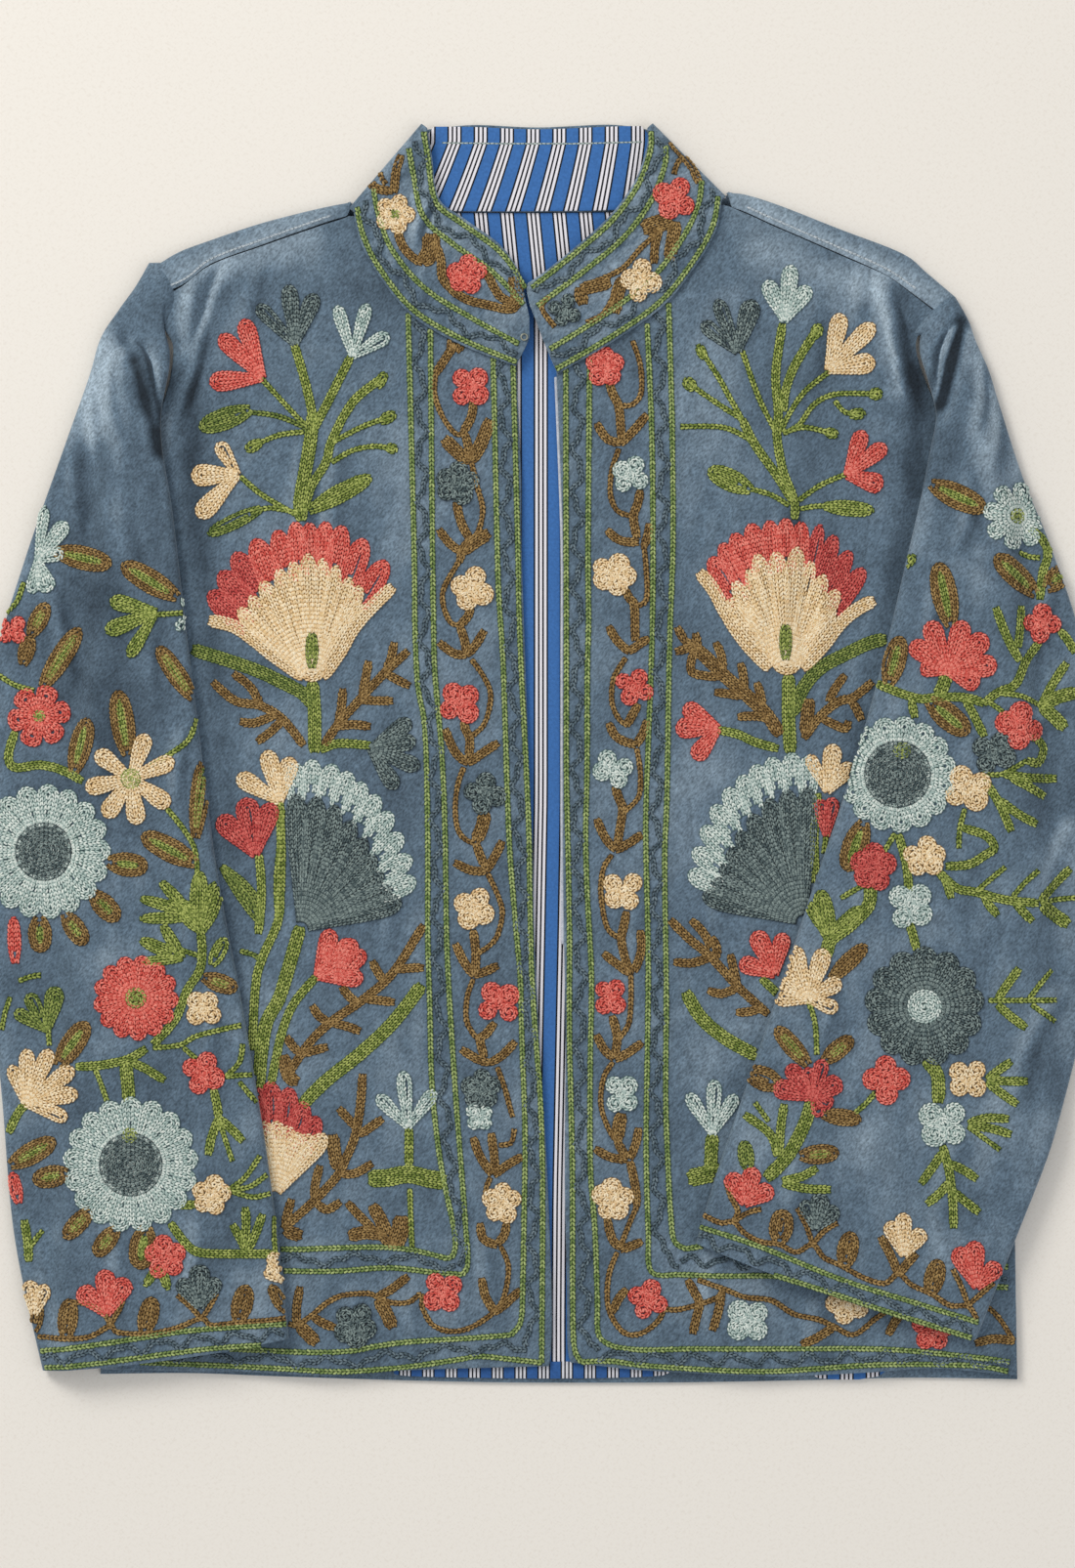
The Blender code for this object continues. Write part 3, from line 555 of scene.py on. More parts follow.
# Slate cords: width, length and swing of a wave, in millimetres. A quicker flutter takes shares of the
# swing and of the wave. Its start, and the drift for each millimetre along X, are in radians.
CORD_WIDTH = 3.6
CORD_WAVE = 27.0
CORD_SWING = 2.5
CORD_FLUTTER = 0.45
CORD_FLUTTER_WAVE = 0.43
CORD_FLUTTER_PHASE = 1.0
CORD_DRIFT = 0.05
CORD_STEP = 2.0
CORD_POINTS = 80

# Filling of petals and round shapes: how far past the middle rows still go, how much later an inner row
# begins for its inset, the shortest row, the half width below which a loop is one line, how many rows in
# a heart of another wool begins, the smallest ring, and the degrees from point to point of a ring.
PETAL_OVERRUN = 1.25
PETAL_BASE_GROWTH = 1.1
SHORTEST_ROW = 1.5
THINNEST_LOOP = 0.6
HEART_INSET = 1.6
DISC_OVERRUN = 0.7
SMALLEST_RING = 0.6
RING_TURN = 15

# Flowers with a heart: above how many petals they have rays or petals in place of lobes. Then, in shares
# of the radius, where neighbours touch and the greatest width. Then, in millimetres, how far petals reach
# in under the heart, the nearest that they begin, and how far the ground goes out past the heart.
RAYS_ABOVE = 8
PETALS_ABOVE = 5
RAY_RING = 0.86
PETAL_RING = 0.66
WIDEST_PETAL = 1.15
UNDER_HEART = 3.0
NEAREST_START = 1.2
HEART_GROUND = 3.5

# Small flowers of round lobes, whose draws are seeded by their place: core, lobes and reach in shares of
# the radius, the degrees that a lobe may turn, and how much higher each lies than the last.
BLOSSOM_SEED_STEP = 31
BLOSSOM_CORE = 0.34
BLOSSOM_LOBES = (0.42, 0.52)
BLOSSOM_REACH = (1.0, 1.08)
BLOSSOM_TURN = 10
LOBE_OVERLAP = 0.08

# Fan flowers: length of the tips behind the petals, radius of the bowl, where petals start, the seed, and
# the same for the fan that a sleeve half hides and for the halved fans.
TIP_DEPTH = 32
FAN_BOWL = 9
FAN_START = 6.0
SEED_LENGTH = 21
SEED_WIDTH = 7.4
TUCKED_TIP_WIDTH = 14.0
TUCKED_PETAL_WIDTH = 11.5
TUCKED_START = 3.0
HALF_FAN_TIP_DEPTH = 22
HALF_FAN_TIP_WIDTH = 12.5
HALF_FAN_PETAL_WIDTH = 13.0
HALF_FAN_START = 4.0

# One strand of a chain stitch: place along in steps, then place aside, height and radius in stitch widths.
# Its section is a triangle, across and up in radii.
STRAND = (
    (-0.70, 0.04, 0.02, 0.0), (-0.28, 0.17, 0.15, 0.18), (0.30, 0.30, 0.15, 0.18), (0.68, 0.22, 0.00, 0.0),
)
STRAND_SECTION = ((1, -0.2), (0.1, 0.9), (-1, -0.2))

# Corners of a stitch: those of its sheet of painted shade, of one strand and of both with the sheet.
SHADE_SHEET_CORNERS = 4
STRAND_CORNERS = 8
STITCH_CORNERS = 20

# Tones of a strand: how pale each of its corners is, a painted highlight on top and painted shade at its
# ends, then the darkest tone, the base and its spread.
STRAND_PAINTED_LIGHT = (0.0, 0.4, 1.0, 0.65, 0.4, 1.0, 0.65, 0.0)
TONE_FLOOR = 0.06
TONE_BASE = 0.3
TONE_SPREAD = 0.64

# The sheet of painted shade under each stitch, which darkens the gaps between strands: half its length in
# steps, half its width in stitch widths, and its height in millimetres.
SHADE_SHEET_REACH = 0.62
SHADE_SHEET_SIDE = 0.44
SHADE_SHEET_HEIGHT = 0.14

# Outlines of petals and leaves: share of the length, and half width as a share of the greatest.
PETAL = ((0.0, 0.25), (0.3, 0.55), (0.6, 0.88), (0.8, 1.0), (0.93, 0.78), (1.0, 0.0))
LOBE = ((0.0, 0.3), (0.2, 0.75), (0.45, 1.0), (0.75, 0.92), (0.93, 0.55), (1.0, 0.0))
RAY = ((0.0, 0.5), (0.35, 0.72), (0.7, 1.0), (0.9, 0.85), (1.0, 0.0))
SCALLOP = ((0.0, 0.75), (0.2, 0.95), (0.45, 1.0), (0.75, 0.92), (0.93, 0.55), (1.0, 0.0))
BLADE = ((0.0, 0.3), (0.2, 0.75), (0.45, 1.0), (0.75, 0.9), (0.92, 0.6), (1.0, 0.0))

Row = namedtuple("Row", "thread width lift points")
Stem = namedtuple("Stem", "thread rows points")
Fan = namedtuple("Fan", "x y tips petals flanks seed")
Leaf = namedtuple("Leaf", "thread heart base_x base_y tip_x tip_y width")
Bloom = namedtuple("Bloom", "thread x y petals")
Rosette = namedtuple("Rosette", "thread heart x y radius heart_radius petals turn")

# Wools of the embroidery: painted shade in the gaps, and the dark and light end of the strands' tones.
WOOLS = {
    "coral": ("#6e1b19", "#cc4d44", "#f99a8c"),
    "crimson": ("#5c1819", "#b03c3b", "#e67c73"),
    "cream": ("#7a5a2e", "#e0c08e", "#fff6dc"),
    "pale_blue": ("#46605f", "#9db4b1", "#f4fbf6"),
    "teal": ("#141c21", "#3e4f54", "#95a6a4"),
    "leaf_green": ("#22300d", "#62752d", "#c0ca74"),
    "moss_green": ("#1b290c", "#52672c", "#a6b261"),
    "border_green": ("#2c3c22", "#647d42", "#b8c787"),
    "bark_brown": ("#281e0c", "#6a5028", "#b59761"),
    "slate": ("#26323b", "#425561", "#7a8c97"),
    "seam_thread": ("#8391a0", "#a9b7c2", "#d3dde4"),
}

# Embroidery of the wearer's right front, in plan millimetres.
RIGHT_FRONT_STEMS = (
    Stem("leaf_green", 3, ((-150, 501), (-151, 512), (-148, 530), (-145, 548), (-143.5, 564))),
    Stem("leaf_green", 2, (
        (-149, 506), (-144.5, 521), (-136, 535), (-132.5, 548), (-120.5, 570), (-104, 584),
    )),
    Stem("leaf_green", 1, ((-132, 547), (-114.5, 556), (-98, 562))),
    Stem("leaf_green", 1, ((-132.5, 535), (-120.5, 542), (-107, 544.5), (-96, 542.5))),
    Stem("leaf_green", 2, ((-144, 553), (-132.5, 575), (-121.5, 597))),
    Stem("leaf_green", 2, ((-143, 559), (-148, 582), (-154.5, 604))),
    Stem("leaf_green", 1, ((-148, 557), (-156.5, 565.5), (-174.5, 585))),
    Stem("moss_green", 1, ((-147, 555), (-163.5, 562), (-181, 564.5))),
    Stem("leaf_green", 1, ((-149, 553), (-163.5, 551), (-178, 545))),
    Stem("leaf_green", 1, ((-186, 527), (-173, 516), (-154, 505))),
    Stem("leaf_green", 1, ((-152, 505.5), (-168, 508.5), (-180, 506))),
    Stem("leaf_green", 3, ((-144, 407), (-143, 396), (-142.5, 384), (-142.5, 366))),
    Stem("moss_green", 3, (
        (-143, 393), (-150, 400.5), (-163, 407.5), (-176, 413.5), (-193, 419.5), (-214, 426),
    )),
    Stem("bark_brown", 2, ((-149, 370), (-161, 385), (-174, 393), (-189, 396), (-202, 407))),
    Stem("bark_brown", 2, ((-174, 393), (-180, 404), (-190, 412))),
    Stem("bark_brown", 2, ((-165, 388), (-178, 383), (-186, 384))),
    Stem("bark_brown", 2, ((-161, 385), (-168, 378), (-176, 372))),
    Stem("bark_brown", 2, ((-137, 370), (-129, 382), (-115, 398), (-101, 413), (-88, 425))),
    Stem("bark_brown", 2, ((-129, 382), (-127, 392), (-126, 403))),
    Stem("bark_brown", 2, ((-115, 398), (-113, 408), (-111, 419))),
    Stem("bark_brown", 2, ((-101, 413), (-98, 421), (-96, 430))),
    Stem("bark_brown", 2, ((-101, 412), (-94, 408), (-87, 404.7))),
    Stem("bark_brown", 2, ((-116, 396.5), (-107, 396), (-97, 396))),
    Stem("bark_brown", 2, ((-130, 381), (-120, 382), (-110, 381))),
    Stem("leaf_green", 2, ((-139, 367), (-129, 371), (-110, 370))),
    Stem("leaf_green", 2, (
        (-163, 337), (-162, 312), (-162.5, 285), (-164, 267), (-173, 246), (-177, 230), (-179, 192),
    )),
    Stem("leaf_green", 2, ((-175, 306), (-173.5, 283), (-175.5, 260))),
    Stem("moss_green", 1, ((-186, 250), (-177, 247), (-174, 243))),
    Stem("moss_green", 2, ((-197, 299), (-185, 290), (-177, 280), (-174, 266))),
    Stem("leaf_green", 3, ((-151, 264), (-155.5, 248), (-163, 223), (-171.5, 205), (-175.5, 170))),
    Stem("leaf_green", 2, ((-141.5, 235), (-154.5, 219.5), (-162, 201), (-168, 172))),
    Stem("bark_brown", 2, ((-160, 175), (-145, 197), (-131, 210), (-115, 221), (-97, 237), (-79, 265))),
    Stem("bark_brown", 2, ((-150, 190), (-155, 194), (-159, 200))),
    Stem("bark_brown", 3, ((-160.7, 189), (-157.7, 177), (-152.3, 173.6))),
    Stem("bark_brown", 2, ((-134, 208), (-140, 212), (-144, 218))),
    Stem("bark_brown", 2, ((-117, 219), (-122, 223), (-127, 229))),
    Stem("bark_brown", 2, ((-102, 232), (-106, 238), (-109, 244))),
    Stem("bark_brown", 2, ((-150, 190), (-142, 192), (-135, 194))),
    Stem("bark_brown", 2, ((-133, 208), (-124, 206), (-116, 203))),
    Stem("bark_brown", 2, ((-113, 222), (-104, 221), (-96, 220))),
    Stem("bark_brown", 2, ((-95, 239), (-86, 240), (-79, 240))),
    Stem("leaf_green", 3, ((-150, 160), (-136, 174), (-116, 190), (-97, 208), (-80, 230))),
    Stem("leaf_green", 1, ((-164, 267), (-165, 290), (-163, 312), (-161, 332))),
    Stem("bark_brown", 2, (
        (-161, 88), (-144, 103), (-129.5, 118.5), (-123.5, 130.5), (-119, 142), (-116, 159), (-114.5, 178),
    )),
    Stem("bark_brown", 2, ((-160, 90), (-158, 98), (-156, 105))),
    Stem("bark_brown", 3, ((-160, 87), (-155, 85), (-150, 84))),
    Stem("bark_brown", 2, ((-143, 106), (-142, 115), (-139.5, 124.5))),
    Stem("bark_brown", 2, ((-141.5, 103), (-135.5, 99), (-127.5, 103.5))),
    Stem("bark_brown", 3, ((-129, 123), (-131, 133), (-132, 142.5))),
    Stem("bark_brown", 2, ((-127, 119.5), (-118, 120.5), (-109, 126))),
    Stem("bark_brown", 2, ((-118.5, 147), (-123, 152), (-128.5, 158))),
    Stem("bark_brown", 2, ((-116.5, 142.5), (-110, 147), (-103, 152))),
    Stem("leaf_green", 2, ((-87.5, 147), (-87.5, 135), (-87.5, 124))),
    Stem("leaf_green", 1, ((-87, 111), (-86.5, 95), (-85.7, 77))),
    Stem("leaf_green", 4, ((-111, 117), (-100, 117.5), (-88, 119.5), (-76, 117), (-66, 115.5))),
    Stem("bark_brown", 2, ((-123.5, 103), (-117, 96), (-108, 87))),
    Stem("bark_brown", 3, ((-122.5, 83.5), (-113, 85.5), (-103, 84.5))),
    Stem("bark_brown", 3, ((-109, 101.5), (-104, 93), (-100, 84))),
    Stem("bark_brown", 4, ((-92, 95), (-92.5, 87), (-96, 78))),
    Stem("bark_brown", 2, ((-106, 86), (-100, 80), (-94.5, 78))),
)
RIGHT_FRONT_LEAVES = (
    Leaf("leaf_green", None, -106, 579, -101, 588, 6.5),
    Leaf("leaf_green", None, -104, 559, -95, 564, 7),
    Leaf("leaf_green", None, -100, 544, -94, 542, 6.5),
    Leaf("leaf_green", None, -146, 507, -109, 527, 11),
    Leaf("moss_green", None, -180, 566, -210, 555, 13),
    Leaf("leaf_green", None, -174, 547, -183, 542, 7),
    Leaf("moss_green", None, -174, 508, -205, 493, 9),
    Leaf("moss_green", None, -174, 266, -197, 300, 7),
)
RIGHT_FRONT_BLOOMS = (
    Bloom("pale_blue", -120.5, 597, ((-17, 31, 8), (16, 32, 8), (59, 25, 9))),
    Bloom("teal", -154, 604, ((-44, 32, 9), (-6, 35, 10), (22, 32, 10))),
    Bloom("coral", -173, 584.5, ((-95, 31, 12), (-45, 35, 11), (-18, 36, 11))),
    Bloom("cream", -187.5, 528, ((-31, 22, 9), (-91, 27, 13), (-137, 34, 12))),
    Bloom("teal", -110, 368, ((55, 29, 10), (80, 27, 10), (111, 31, 10), (147, 28, 10))),
    Bloom("cream", -163, 337, ((-58, 29, 11), (-14, 31, 11), (15, 27, 11))),
    Bloom("crimson", -177, 306, ((-44, 31, 13), (-10, 34, 14), (18, 32, 12))),
    Bloom("coral", -141, 235, ((17, 29, 11), (48, 31, 12), (92, 27, 11))),
    Bloom("coral", -129, 232, ((-16, 24, 10), (12, 26, 10), (40, 24, 10))),
    Bloom("pale_blue", -88, 147, ((-44, 26, 8.5), (-5, 33, 9), (36, 27, 8.5))),
)

# Embroidery of the wearer's left front.
LEFT_FRONT_STEMS = (
    Stem("leaf_green", 2, (
        (137.5, 502), (137, 513.5), (130.5, 531), (127, 552), (128, 564), (126.5, 587), (130.5, 616),
    )),
    Stem("leaf_green", 2, ((136, 513), (126, 529), (114, 546), (107, 560))),
    Stem("leaf_green", 1, ((107, 560), (99, 574), (93, 585), (82, 602))),
    Stem("leaf_green", 1, ((107, 560), (91, 570.5), (76, 581))),
    Stem("leaf_green", 1, ((112, 548), (96, 555.5), (71, 556))),
    Stem("leaf_green", 1, ((126, 554), (116.5, 573), (107, 600))),
    Stem("leaf_green", 2, ((131, 565), (132, 576), (137.5, 591.5), (151, 613))),
    Stem("leaf_green", 1, ((130, 553), (133, 561), (143.5, 576.5), (159, 589))),
    Stem("leaf_green", 1, ((131, 552), (140, 557), (149, 569), (162, 575), (186, 575))),
    Stem("leaf_green", 1, ((161, 571), (167, 564.5), (176, 563.5))),
    Stem("leaf_green", 1, ((131, 552), (143, 555.5), (161, 551.5))),
    Stem("leaf_green", 1, ((140, 513), (153, 522), (167, 528))),
    Stem("leaf_green", 1, ((141, 508), (150, 509.5), (158, 509.5))),
    Stem("leaf_green", 1, ((134, 510), (124, 516), (112, 519.5))),
    Stem("leaf_green", 3, ((134, 411), (134, 400), (134, 386), (135, 366))),
    Stem("moss_green", 3, (
        (136, 388), (140, 398), (145, 407), (154, 416), (169, 424), (182, 430), (191, 432),
    )),
    Stem("bark_brown", 3, ((129, 376), (122, 387), (113, 396), (104, 404), (95, 412), (84, 423), (74, 430))),
    Stem("bark_brown", 2, ((74, 430), (71, 435), (69, 439))),
    Stem("bark_brown", 2, ((78, 428), (73, 426), (68, 424.5))),
    Stem("bark_brown", 2, ((81, 425), (80.5, 431), (79.5, 435.5))),
    Stem("bark_brown", 2, ((79, 425), (77, 418), (78, 412.5), (86, 410.5), (94, 410))),
    Stem("bark_brown", 2, ((91.5, 430), (94.5, 423), (96, 414))),
    Stem("bark_brown", 2, ((106, 418), (107.5, 411), (108.5, 403))),
    Stem("bark_brown", 2, ((115.5, 406.5), (117.5, 400), (119, 393))),
    Stem("bark_brown", 2, ((91, 401), (99, 400), (107, 398.5))),
    Stem("bark_brown", 2, ((104.4, 386.6), (114, 387), (123, 385.6))),
    Stem("bark_brown", 2, ((143, 374), (152, 386.5), (163, 395.4), (172, 398), (183, 407))),
    Stem("bark_brown", 2, ((167, 411), (161.5, 403.5), (157, 395.5))),
    Stem("bark_brown", 3, ((146, 397), (145, 387), (143.7, 377))),
    Stem("bark_brown", 2, ((153.7, 385.5), (161, 382), (167, 380), (169, 384))),
    Stem("bark_brown", 2, ((170.5, 396.5), (174, 390.5), (176.6, 384.7))),
    Stem("leaf_green", 2, ((92.7, 379), (104.4, 376.5), (114, 372), (128, 368))),
    Stem("leaf_green", 2, ((151, 342), (149, 318), (150, 290), (152, 266), (150, 240))),
    Stem("leaf_green", 1, ((156, 319), (154, 300), (153, 285))),
    Stem("leaf_green", 3, ((142, 266), (146, 250), (148, 226), (148, 205), (150, 180))),
    Stem("leaf_green", 2, ((118, 234), (130, 222), (140, 205), (146, 184))),
    Stem("bark_brown", 2, ((122, 213), (112, 222), (104.5, 229), (88.5, 246.5), (76, 257), (65, 268))),
    Stem("bark_brown", 2, ((67, 243.5), (78, 243), (89, 246.5))),
    Stem("bark_brown", 2, ((77, 268), (84, 261), (89, 252))),
    Stem("bark_brown", 2, ((89, 258), (92, 252), (92, 246))),
    Stem("bark_brown", 2, ((100, 248), (102, 239), (104, 230))),
    Stem("bark_brown", 2, ((87, 227), (95, 225), (104, 228.5))),
    Stem("bark_brown", 2, ((103.5, 214), (111, 214.5), (119, 217))),
    Stem("leaf_green", 3, ((116, 188.5), (97, 199), (83, 211), (74, 226))),
    Stem("leaf_green", 3, ((89.7, 143), (89, 134), (88.5, 122))),
    Stem("leaf_green", 4, ((96, 121), (86, 119.5), (75.5, 117))),
)
LEFT_FRONT_LEAVES = (
    Leaf("leaf_green", None, 85, 596, 81, 604, 6),
    Leaf("leaf_green", None, 79, 578, 73, 584, 7.5),
    Leaf("leaf_green", None, 149, 608, 152, 616, 7),
    Leaf("leaf_green", None, 182, 575, 189, 575, 7.5),
    Leaf("leaf_green", None, 170, 563, 179, 564, 7),
    Leaf("leaf_green", None, 156, 553, 163, 551, 6.5),
    Leaf("leaf_green", None, 155, 509.5, 184, 507, 9.5),
    Leaf("leaf_green", None, 112, 519, 87, 531, 13),
)
LEFT_FRONT_BLOOMS = (
    Bloom("teal", 104, 599.5, ((-50, 27, 9), (-21, 33, 9), (17, 32, 12))),
    Bloom("pale_blue", 131.5, 617.5, ((-24, 26, 10), (7, 33, 10), (36, 25, 10))),
    Bloom("cream", 157, 589, ((13, 34, 11), (45, 38, 11), (80, 28, 12))),
    Bloom("coral", 168, 527.5, ((20, 28, 10), (52, 29, 10), (105, 22, 12))),
    Bloom("coral", 93, 380, ((-57, 24, 11), (-90, 25, 12), (-142, 23, 11))),
    Bloom("cream", 156.5, 343, ((-27, 24, 8), (8, 28, 11), (43, 22, 10))),
    Bloom("crimson", 156, 317, ((-10, 22, 9), (10, 23, 9))),
    Bloom("coral", 126, 236, ((-70, 22, 11), (-24, 28, 12), (12, 25, 10))),
    Bloom("pale_blue", 89.7, 143, ((-31, 28, 8.5), (2, 32, 9), (31, 27, 8.5))),
)

# Embroidery of the wearer's right sleeve.
RIGHT_SLEEVE_STEMS = (
    Stem("leaf_green", 1, ((-234, 446), (-226, 446.5), (-219, 447))),
    Stem("leaf_green", 2, ((-317, 378), (-321, 364), (-317, 357), (-302, 358.5), (-288.5, 355), (-277, 349))),
    Stem("leaf_green", 1, ((-312, 465), (-316, 454), (-322, 447))),
    Stem("leaf_green", 1, ((-327, 411), (-317, 405), (-306, 402))),
    Stem("leaf_green", 1, ((-238, 358), (-226, 365), (-215, 374), (-211, 388), (-212, 398))),
    Stem("leaf_green", 1, ((-228, 333), (-219, 322), (-212.5, 311), (-210.5, 299), (-211, 288))),
    Stem("leaf_green", 2, (
        (-208.5, 262), (-207.5, 248), (-209.5, 238), (-216.5, 227), (-223.5, 210), (-236, 196),
    )),
    Stem("leaf_green", 1, ((-208, 247), (-214, 249), (-220, 251))),
    Stem("leaf_green", 1, ((-298, 207), (-297, 195))),
    Stem("leaf_green", 2, ((-321, 144), (-315, 156), (-309, 162))),
    Stem("leaf_green", 1, ((-315, 232.5), (-308, 235), (-302, 236))),
    Stem("leaf_green", 1, ((-320, 223), (-323, 214), (-325, 204))),
    Stem("leaf_green", 2, ((-309, 69), (-310, 81), (-311.6, 93))),
    Stem("leaf_green", 1, ((-309, 76.5), (-305, 82), (-301, 87))),
    Stem("leaf_green", 2, ((-281, 183), (-269.5, 183.5), (-260, 185), (-250, 187.5), (-240, 193.5))),
    Stem("leaf_green", 1, ((-269.5, 181), (-266, 172), (-263, 163))),
    Stem("leaf_green", 3, ((-252, 185), (-251, 175), (-250, 163))),
    Stem("leaf_green", 2, ((-248, 185.5), (-239, 181), (-229.5, 175))),
    Stem("leaf_green", 1, ((-236, 194), (-220.5, 195.5), (-210, 201), (-185, 207))),
    Stem("leaf_green", 1, ((-218.5, 194), (-211, 187.5))),
    Stem("leaf_green", 1, ((-194, 177), (-186, 185.5), (-184, 196))),
    Stem("leaf_green", 1, ((-194, 177), (-184, 178), (-176, 178))),
    Stem("leaf_green", 1, ((-186, 174), (-181, 168), (-176, 162))),
    Stem("leaf_green", 2, ((-201, 170), (-199, 161), (-198, 153))),
    Stem("leaf_green", 2, ((-198, 153), (-202, 142), (-204, 131.5))),
    Stem("leaf_green", 1, ((-198, 153), (-194, 140), (-190, 128))),
    Stem("leaf_green", 2, ((-198, 153), (-190, 146), (-184, 139.5))),
    Stem("leaf_green", 1, ((-193, 111), (-183, 118), (-174, 131))),
    Stem("leaf_green", 1, ((-193, 111), (-180, 113), (-170, 120))),
    Stem("leaf_green", 1, ((-190, 110), (-178, 107), (-168, 109))),
    Stem("leaf_green", 2, ((-221, 102), (-211, 103))),
    Stem("leaf_green", 2, ((-226, 92), (-217, 80), (-209, 75), (-192, 74), (-166, 74))),
    Stem("leaf_green", 2, ((-181.5, 75), (-186, 84), (-190, 91))),
    Stem("leaf_green", 2, ((-183, 78), (-182, 90), (-182.5, 101))),
    Stem("leaf_green", 2, ((-181, 76), (-176, 87), (-172.5, 97))),
    Stem("leaf_green", 1, ((-166, 98), (-166, 86), (-165, 74))),
    Stem("bark_brown", 1, (
        (-304, 25), (-288.5, 24.5), (-277, 25), (-270, 27), (-261, 32), (-257, 28.5), (-246, 27.5),
        (-235, 28), (-222, 31), (-208, 36.5), (-202, 32.5), (-187, 34), (-172, 35), (-159, 36.5),
    )),
    Stem("bark_brown", 1, ((-261, 32), (-263, 37), (-268, 42), (-275, 45), (-283, 46))),
    Stem("bark_brown", 1, ((-261, 32), (-258, 38), (-255, 43), (-253, 49))),
    Stem("bark_brown", 1, ((-208, 36), (-213, 42), (-222, 50))),
    Stem("bark_brown", 1, ((-208, 36), (-204, 42), (-199, 51))),
)
RIGHT_SLEEVE_LEAVES = (
    Leaf("bark_brown", "leaf_green", -293.5, 483, -260, 475, 14),
    Leaf("bark_brown", "leaf_green", -222, 456, -254.5, 475.5, 14),
    Leaf("bark_brown", "leaf_green", -213, 397, -233.5, 427.5, 11.5),
    Leaf("bark_brown", "leaf_green", -301, 404, -279, 438.5, 12.5),
    Leaf("bark_brown", "leaf_green", -308, 434, -298, 453, 11),
    Leaf("bark_brown", "leaf_green", -312.5, 417, -308, 434, 10),
    Leaf("bark_brown", "leaf_green", -282.5, 354, -274, 386, 14),
    Leaf("bark_brown", "leaf_green", -251, 364, -256.5, 402, 14),
    Leaf("bark_brown", "leaf_green", -262.5, 302, -239, 299, 14),
    Leaf("bark_brown", "leaf_green", -271.5, 284, -256, 268, 13),
    Leaf("bark_brown", "leaf_green", -288, 272, -275, 254, 12.5),
    Leaf("bark_brown", "leaf_green", -303, 270, -302, 249, 14),
    Leaf("bark_brown", "leaf_green", -211, 301, -243, 318, 14),
    Leaf("bark_brown", "leaf_green", -211.5, 316, -207, 362, 11),
    Leaf("leaf_green", None, -212, 272, -244, 281, 7),
    Leaf("leaf_green", None, -214, 270, -244, 269, 7),
    Leaf("leaf_green", None, -216, 274, -232, 291, 7),
    Leaf("leaf_green", None, -210, 262, -209, 297, 11),
    Leaf("leaf_green", None, -208, 262, -198, 291, 12),
    Leaf("leaf_green", None, -208, 262, -222, 280, 11),
    Leaf("leaf_green", None, -219, 246, -244, 257, 8),
    Leaf("leaf_green", None, -219, 246, -243, 244, 6),
    Leaf("leaf_green", None, -219, 246, -231, 266, 7),
    Leaf("leaf_green", None, -202, 242, -194, 258, 9),
    Leaf("bark_brown", "leaf_green", -207, 235, -187, 228, 11),
    Leaf("coral", None, -317, 243, -318, 270, 8),
    Leaf("bark_brown", "leaf_green", -292, 183, -274, 209, 14),
    Leaf("bark_brown", "leaf_green", -320, 125, -293, 140, 13),
    Leaf("bark_brown", "leaf_green", -285, 121, -307, 116, 13),
    Leaf("bark_brown", "leaf_green", -272, 100, -288, 83, 11),
    Leaf("coral", None, -315, 103, -319, 121, 8),
    Leaf("cream", None, -168, 62, -162, 73, 9),
    Leaf("bark_brown", "leaf_green", -257, 89, -270, 73, 11.5),
    Leaf("bark_brown", "leaf_green", -240, 90, -244, 65, 16),
    Leaf("leaf_green", None, -233, 67, -241, 55, 5.5),
    Leaf("leaf_green", None, -232, 67, -227, 53, 6),
    Leaf("bark_brown", None, -287, 25, -284.5, 48, 12),
    Leaf("bark_brown", None, -241.5, 28, -236, 49, 12),
    Leaf("bark_brown", None, -187, 34, -181.5, 56, 12.5),
    Leaf("bark_brown", None, -159, 40, -168, 56, 8),
    Leaf("bark_brown", None, -306, 28, -303, 44, 8),
)
RIGHT_SLEEVE_BLOOMS = (
    Bloom("pale_blue", -304, 478, ((8, 32, 7), (38, 28, 10), (72, 16, 9), (160, 20, 11), (190, 20, 8))),
    Bloom("leaf_green", -234, 447.5, ((-76, 28, 10), (-111, 32, 10), (-148, 31, 8))),
    Bloom("pale_blue", -216, 447, ((-20, 10, 6), (-150, 12, 6))),
    Bloom("moss_green", -298.5, 204, ((-60, 22, 8), (-27, 24, 9), (14, 26, 12))),
    Bloom("cream", -311, 161, (
        (-21, 24, 8), (2, 32, 9.5), (25, 35, 10), (54, 36, 10.5), (78, 32, 10), (108, 27, 9),
    )),
    Bloom("cream", -249, 350.5, (
        (19, 27.5, 10.5), (67, 27.5, 10.5), (125, 27.6, 11), (172, 27, 11), (-146, 27, 11), (-102, 27, 10.5),
        (-52, 25.5, 10.5),
    )),
    Bloom("coral", -263, 39, ((-47, 22, 12), (-2, 26, 12), (30, 24, 12))),
    Bloom("teal", -209, 43, ((-36, 20, 10), (0, 25, 12), (32, 20, 10))),
    Bloom("cream", -306, 38, ((-8, 20, 10), (24, 19, 9))),
    Bloom("cream", -161, 58, ((-20, 18, 9), (-58, 12, 7))),
)
RIGHT_SLEEVE_ROSETTES = (
    Rosette("coral", "leaf_green", -303, 387, 18.5, 3.5, 6, 20),
    Rosette("coral", None, -319, 437, 9, 0, 4, 45),
    Rosette("leaf_green", "leaf_green", -249, 350.5, 6, 6, 0, 0),
    Rosette("leaf_green", "leaf_green", -249.5, 143, 4.5, 4.5, 0, 0),
    Rosette("pale_blue", "teal", -300, 308, 39.5, 17, 17, 4),
    Rosette("coral", "leaf_green", -246, 223, 25, 6, 13, 10),
    Rosette("cream", None, -207, 216.5, 11, 0, 4, 40),
    Rosette("coral", None, -207, 179, 12.5, 0, 4, 20),
    Rosette("pale_blue", "teal", -249, 126, 39.5, 18.5, 17, 0),
    Rosette("cream", None, -202, 108, 11.5, 0, 5, 12),
    Rosette("coral", None, -229, 72, 12.5, 0, 5, 70),
)

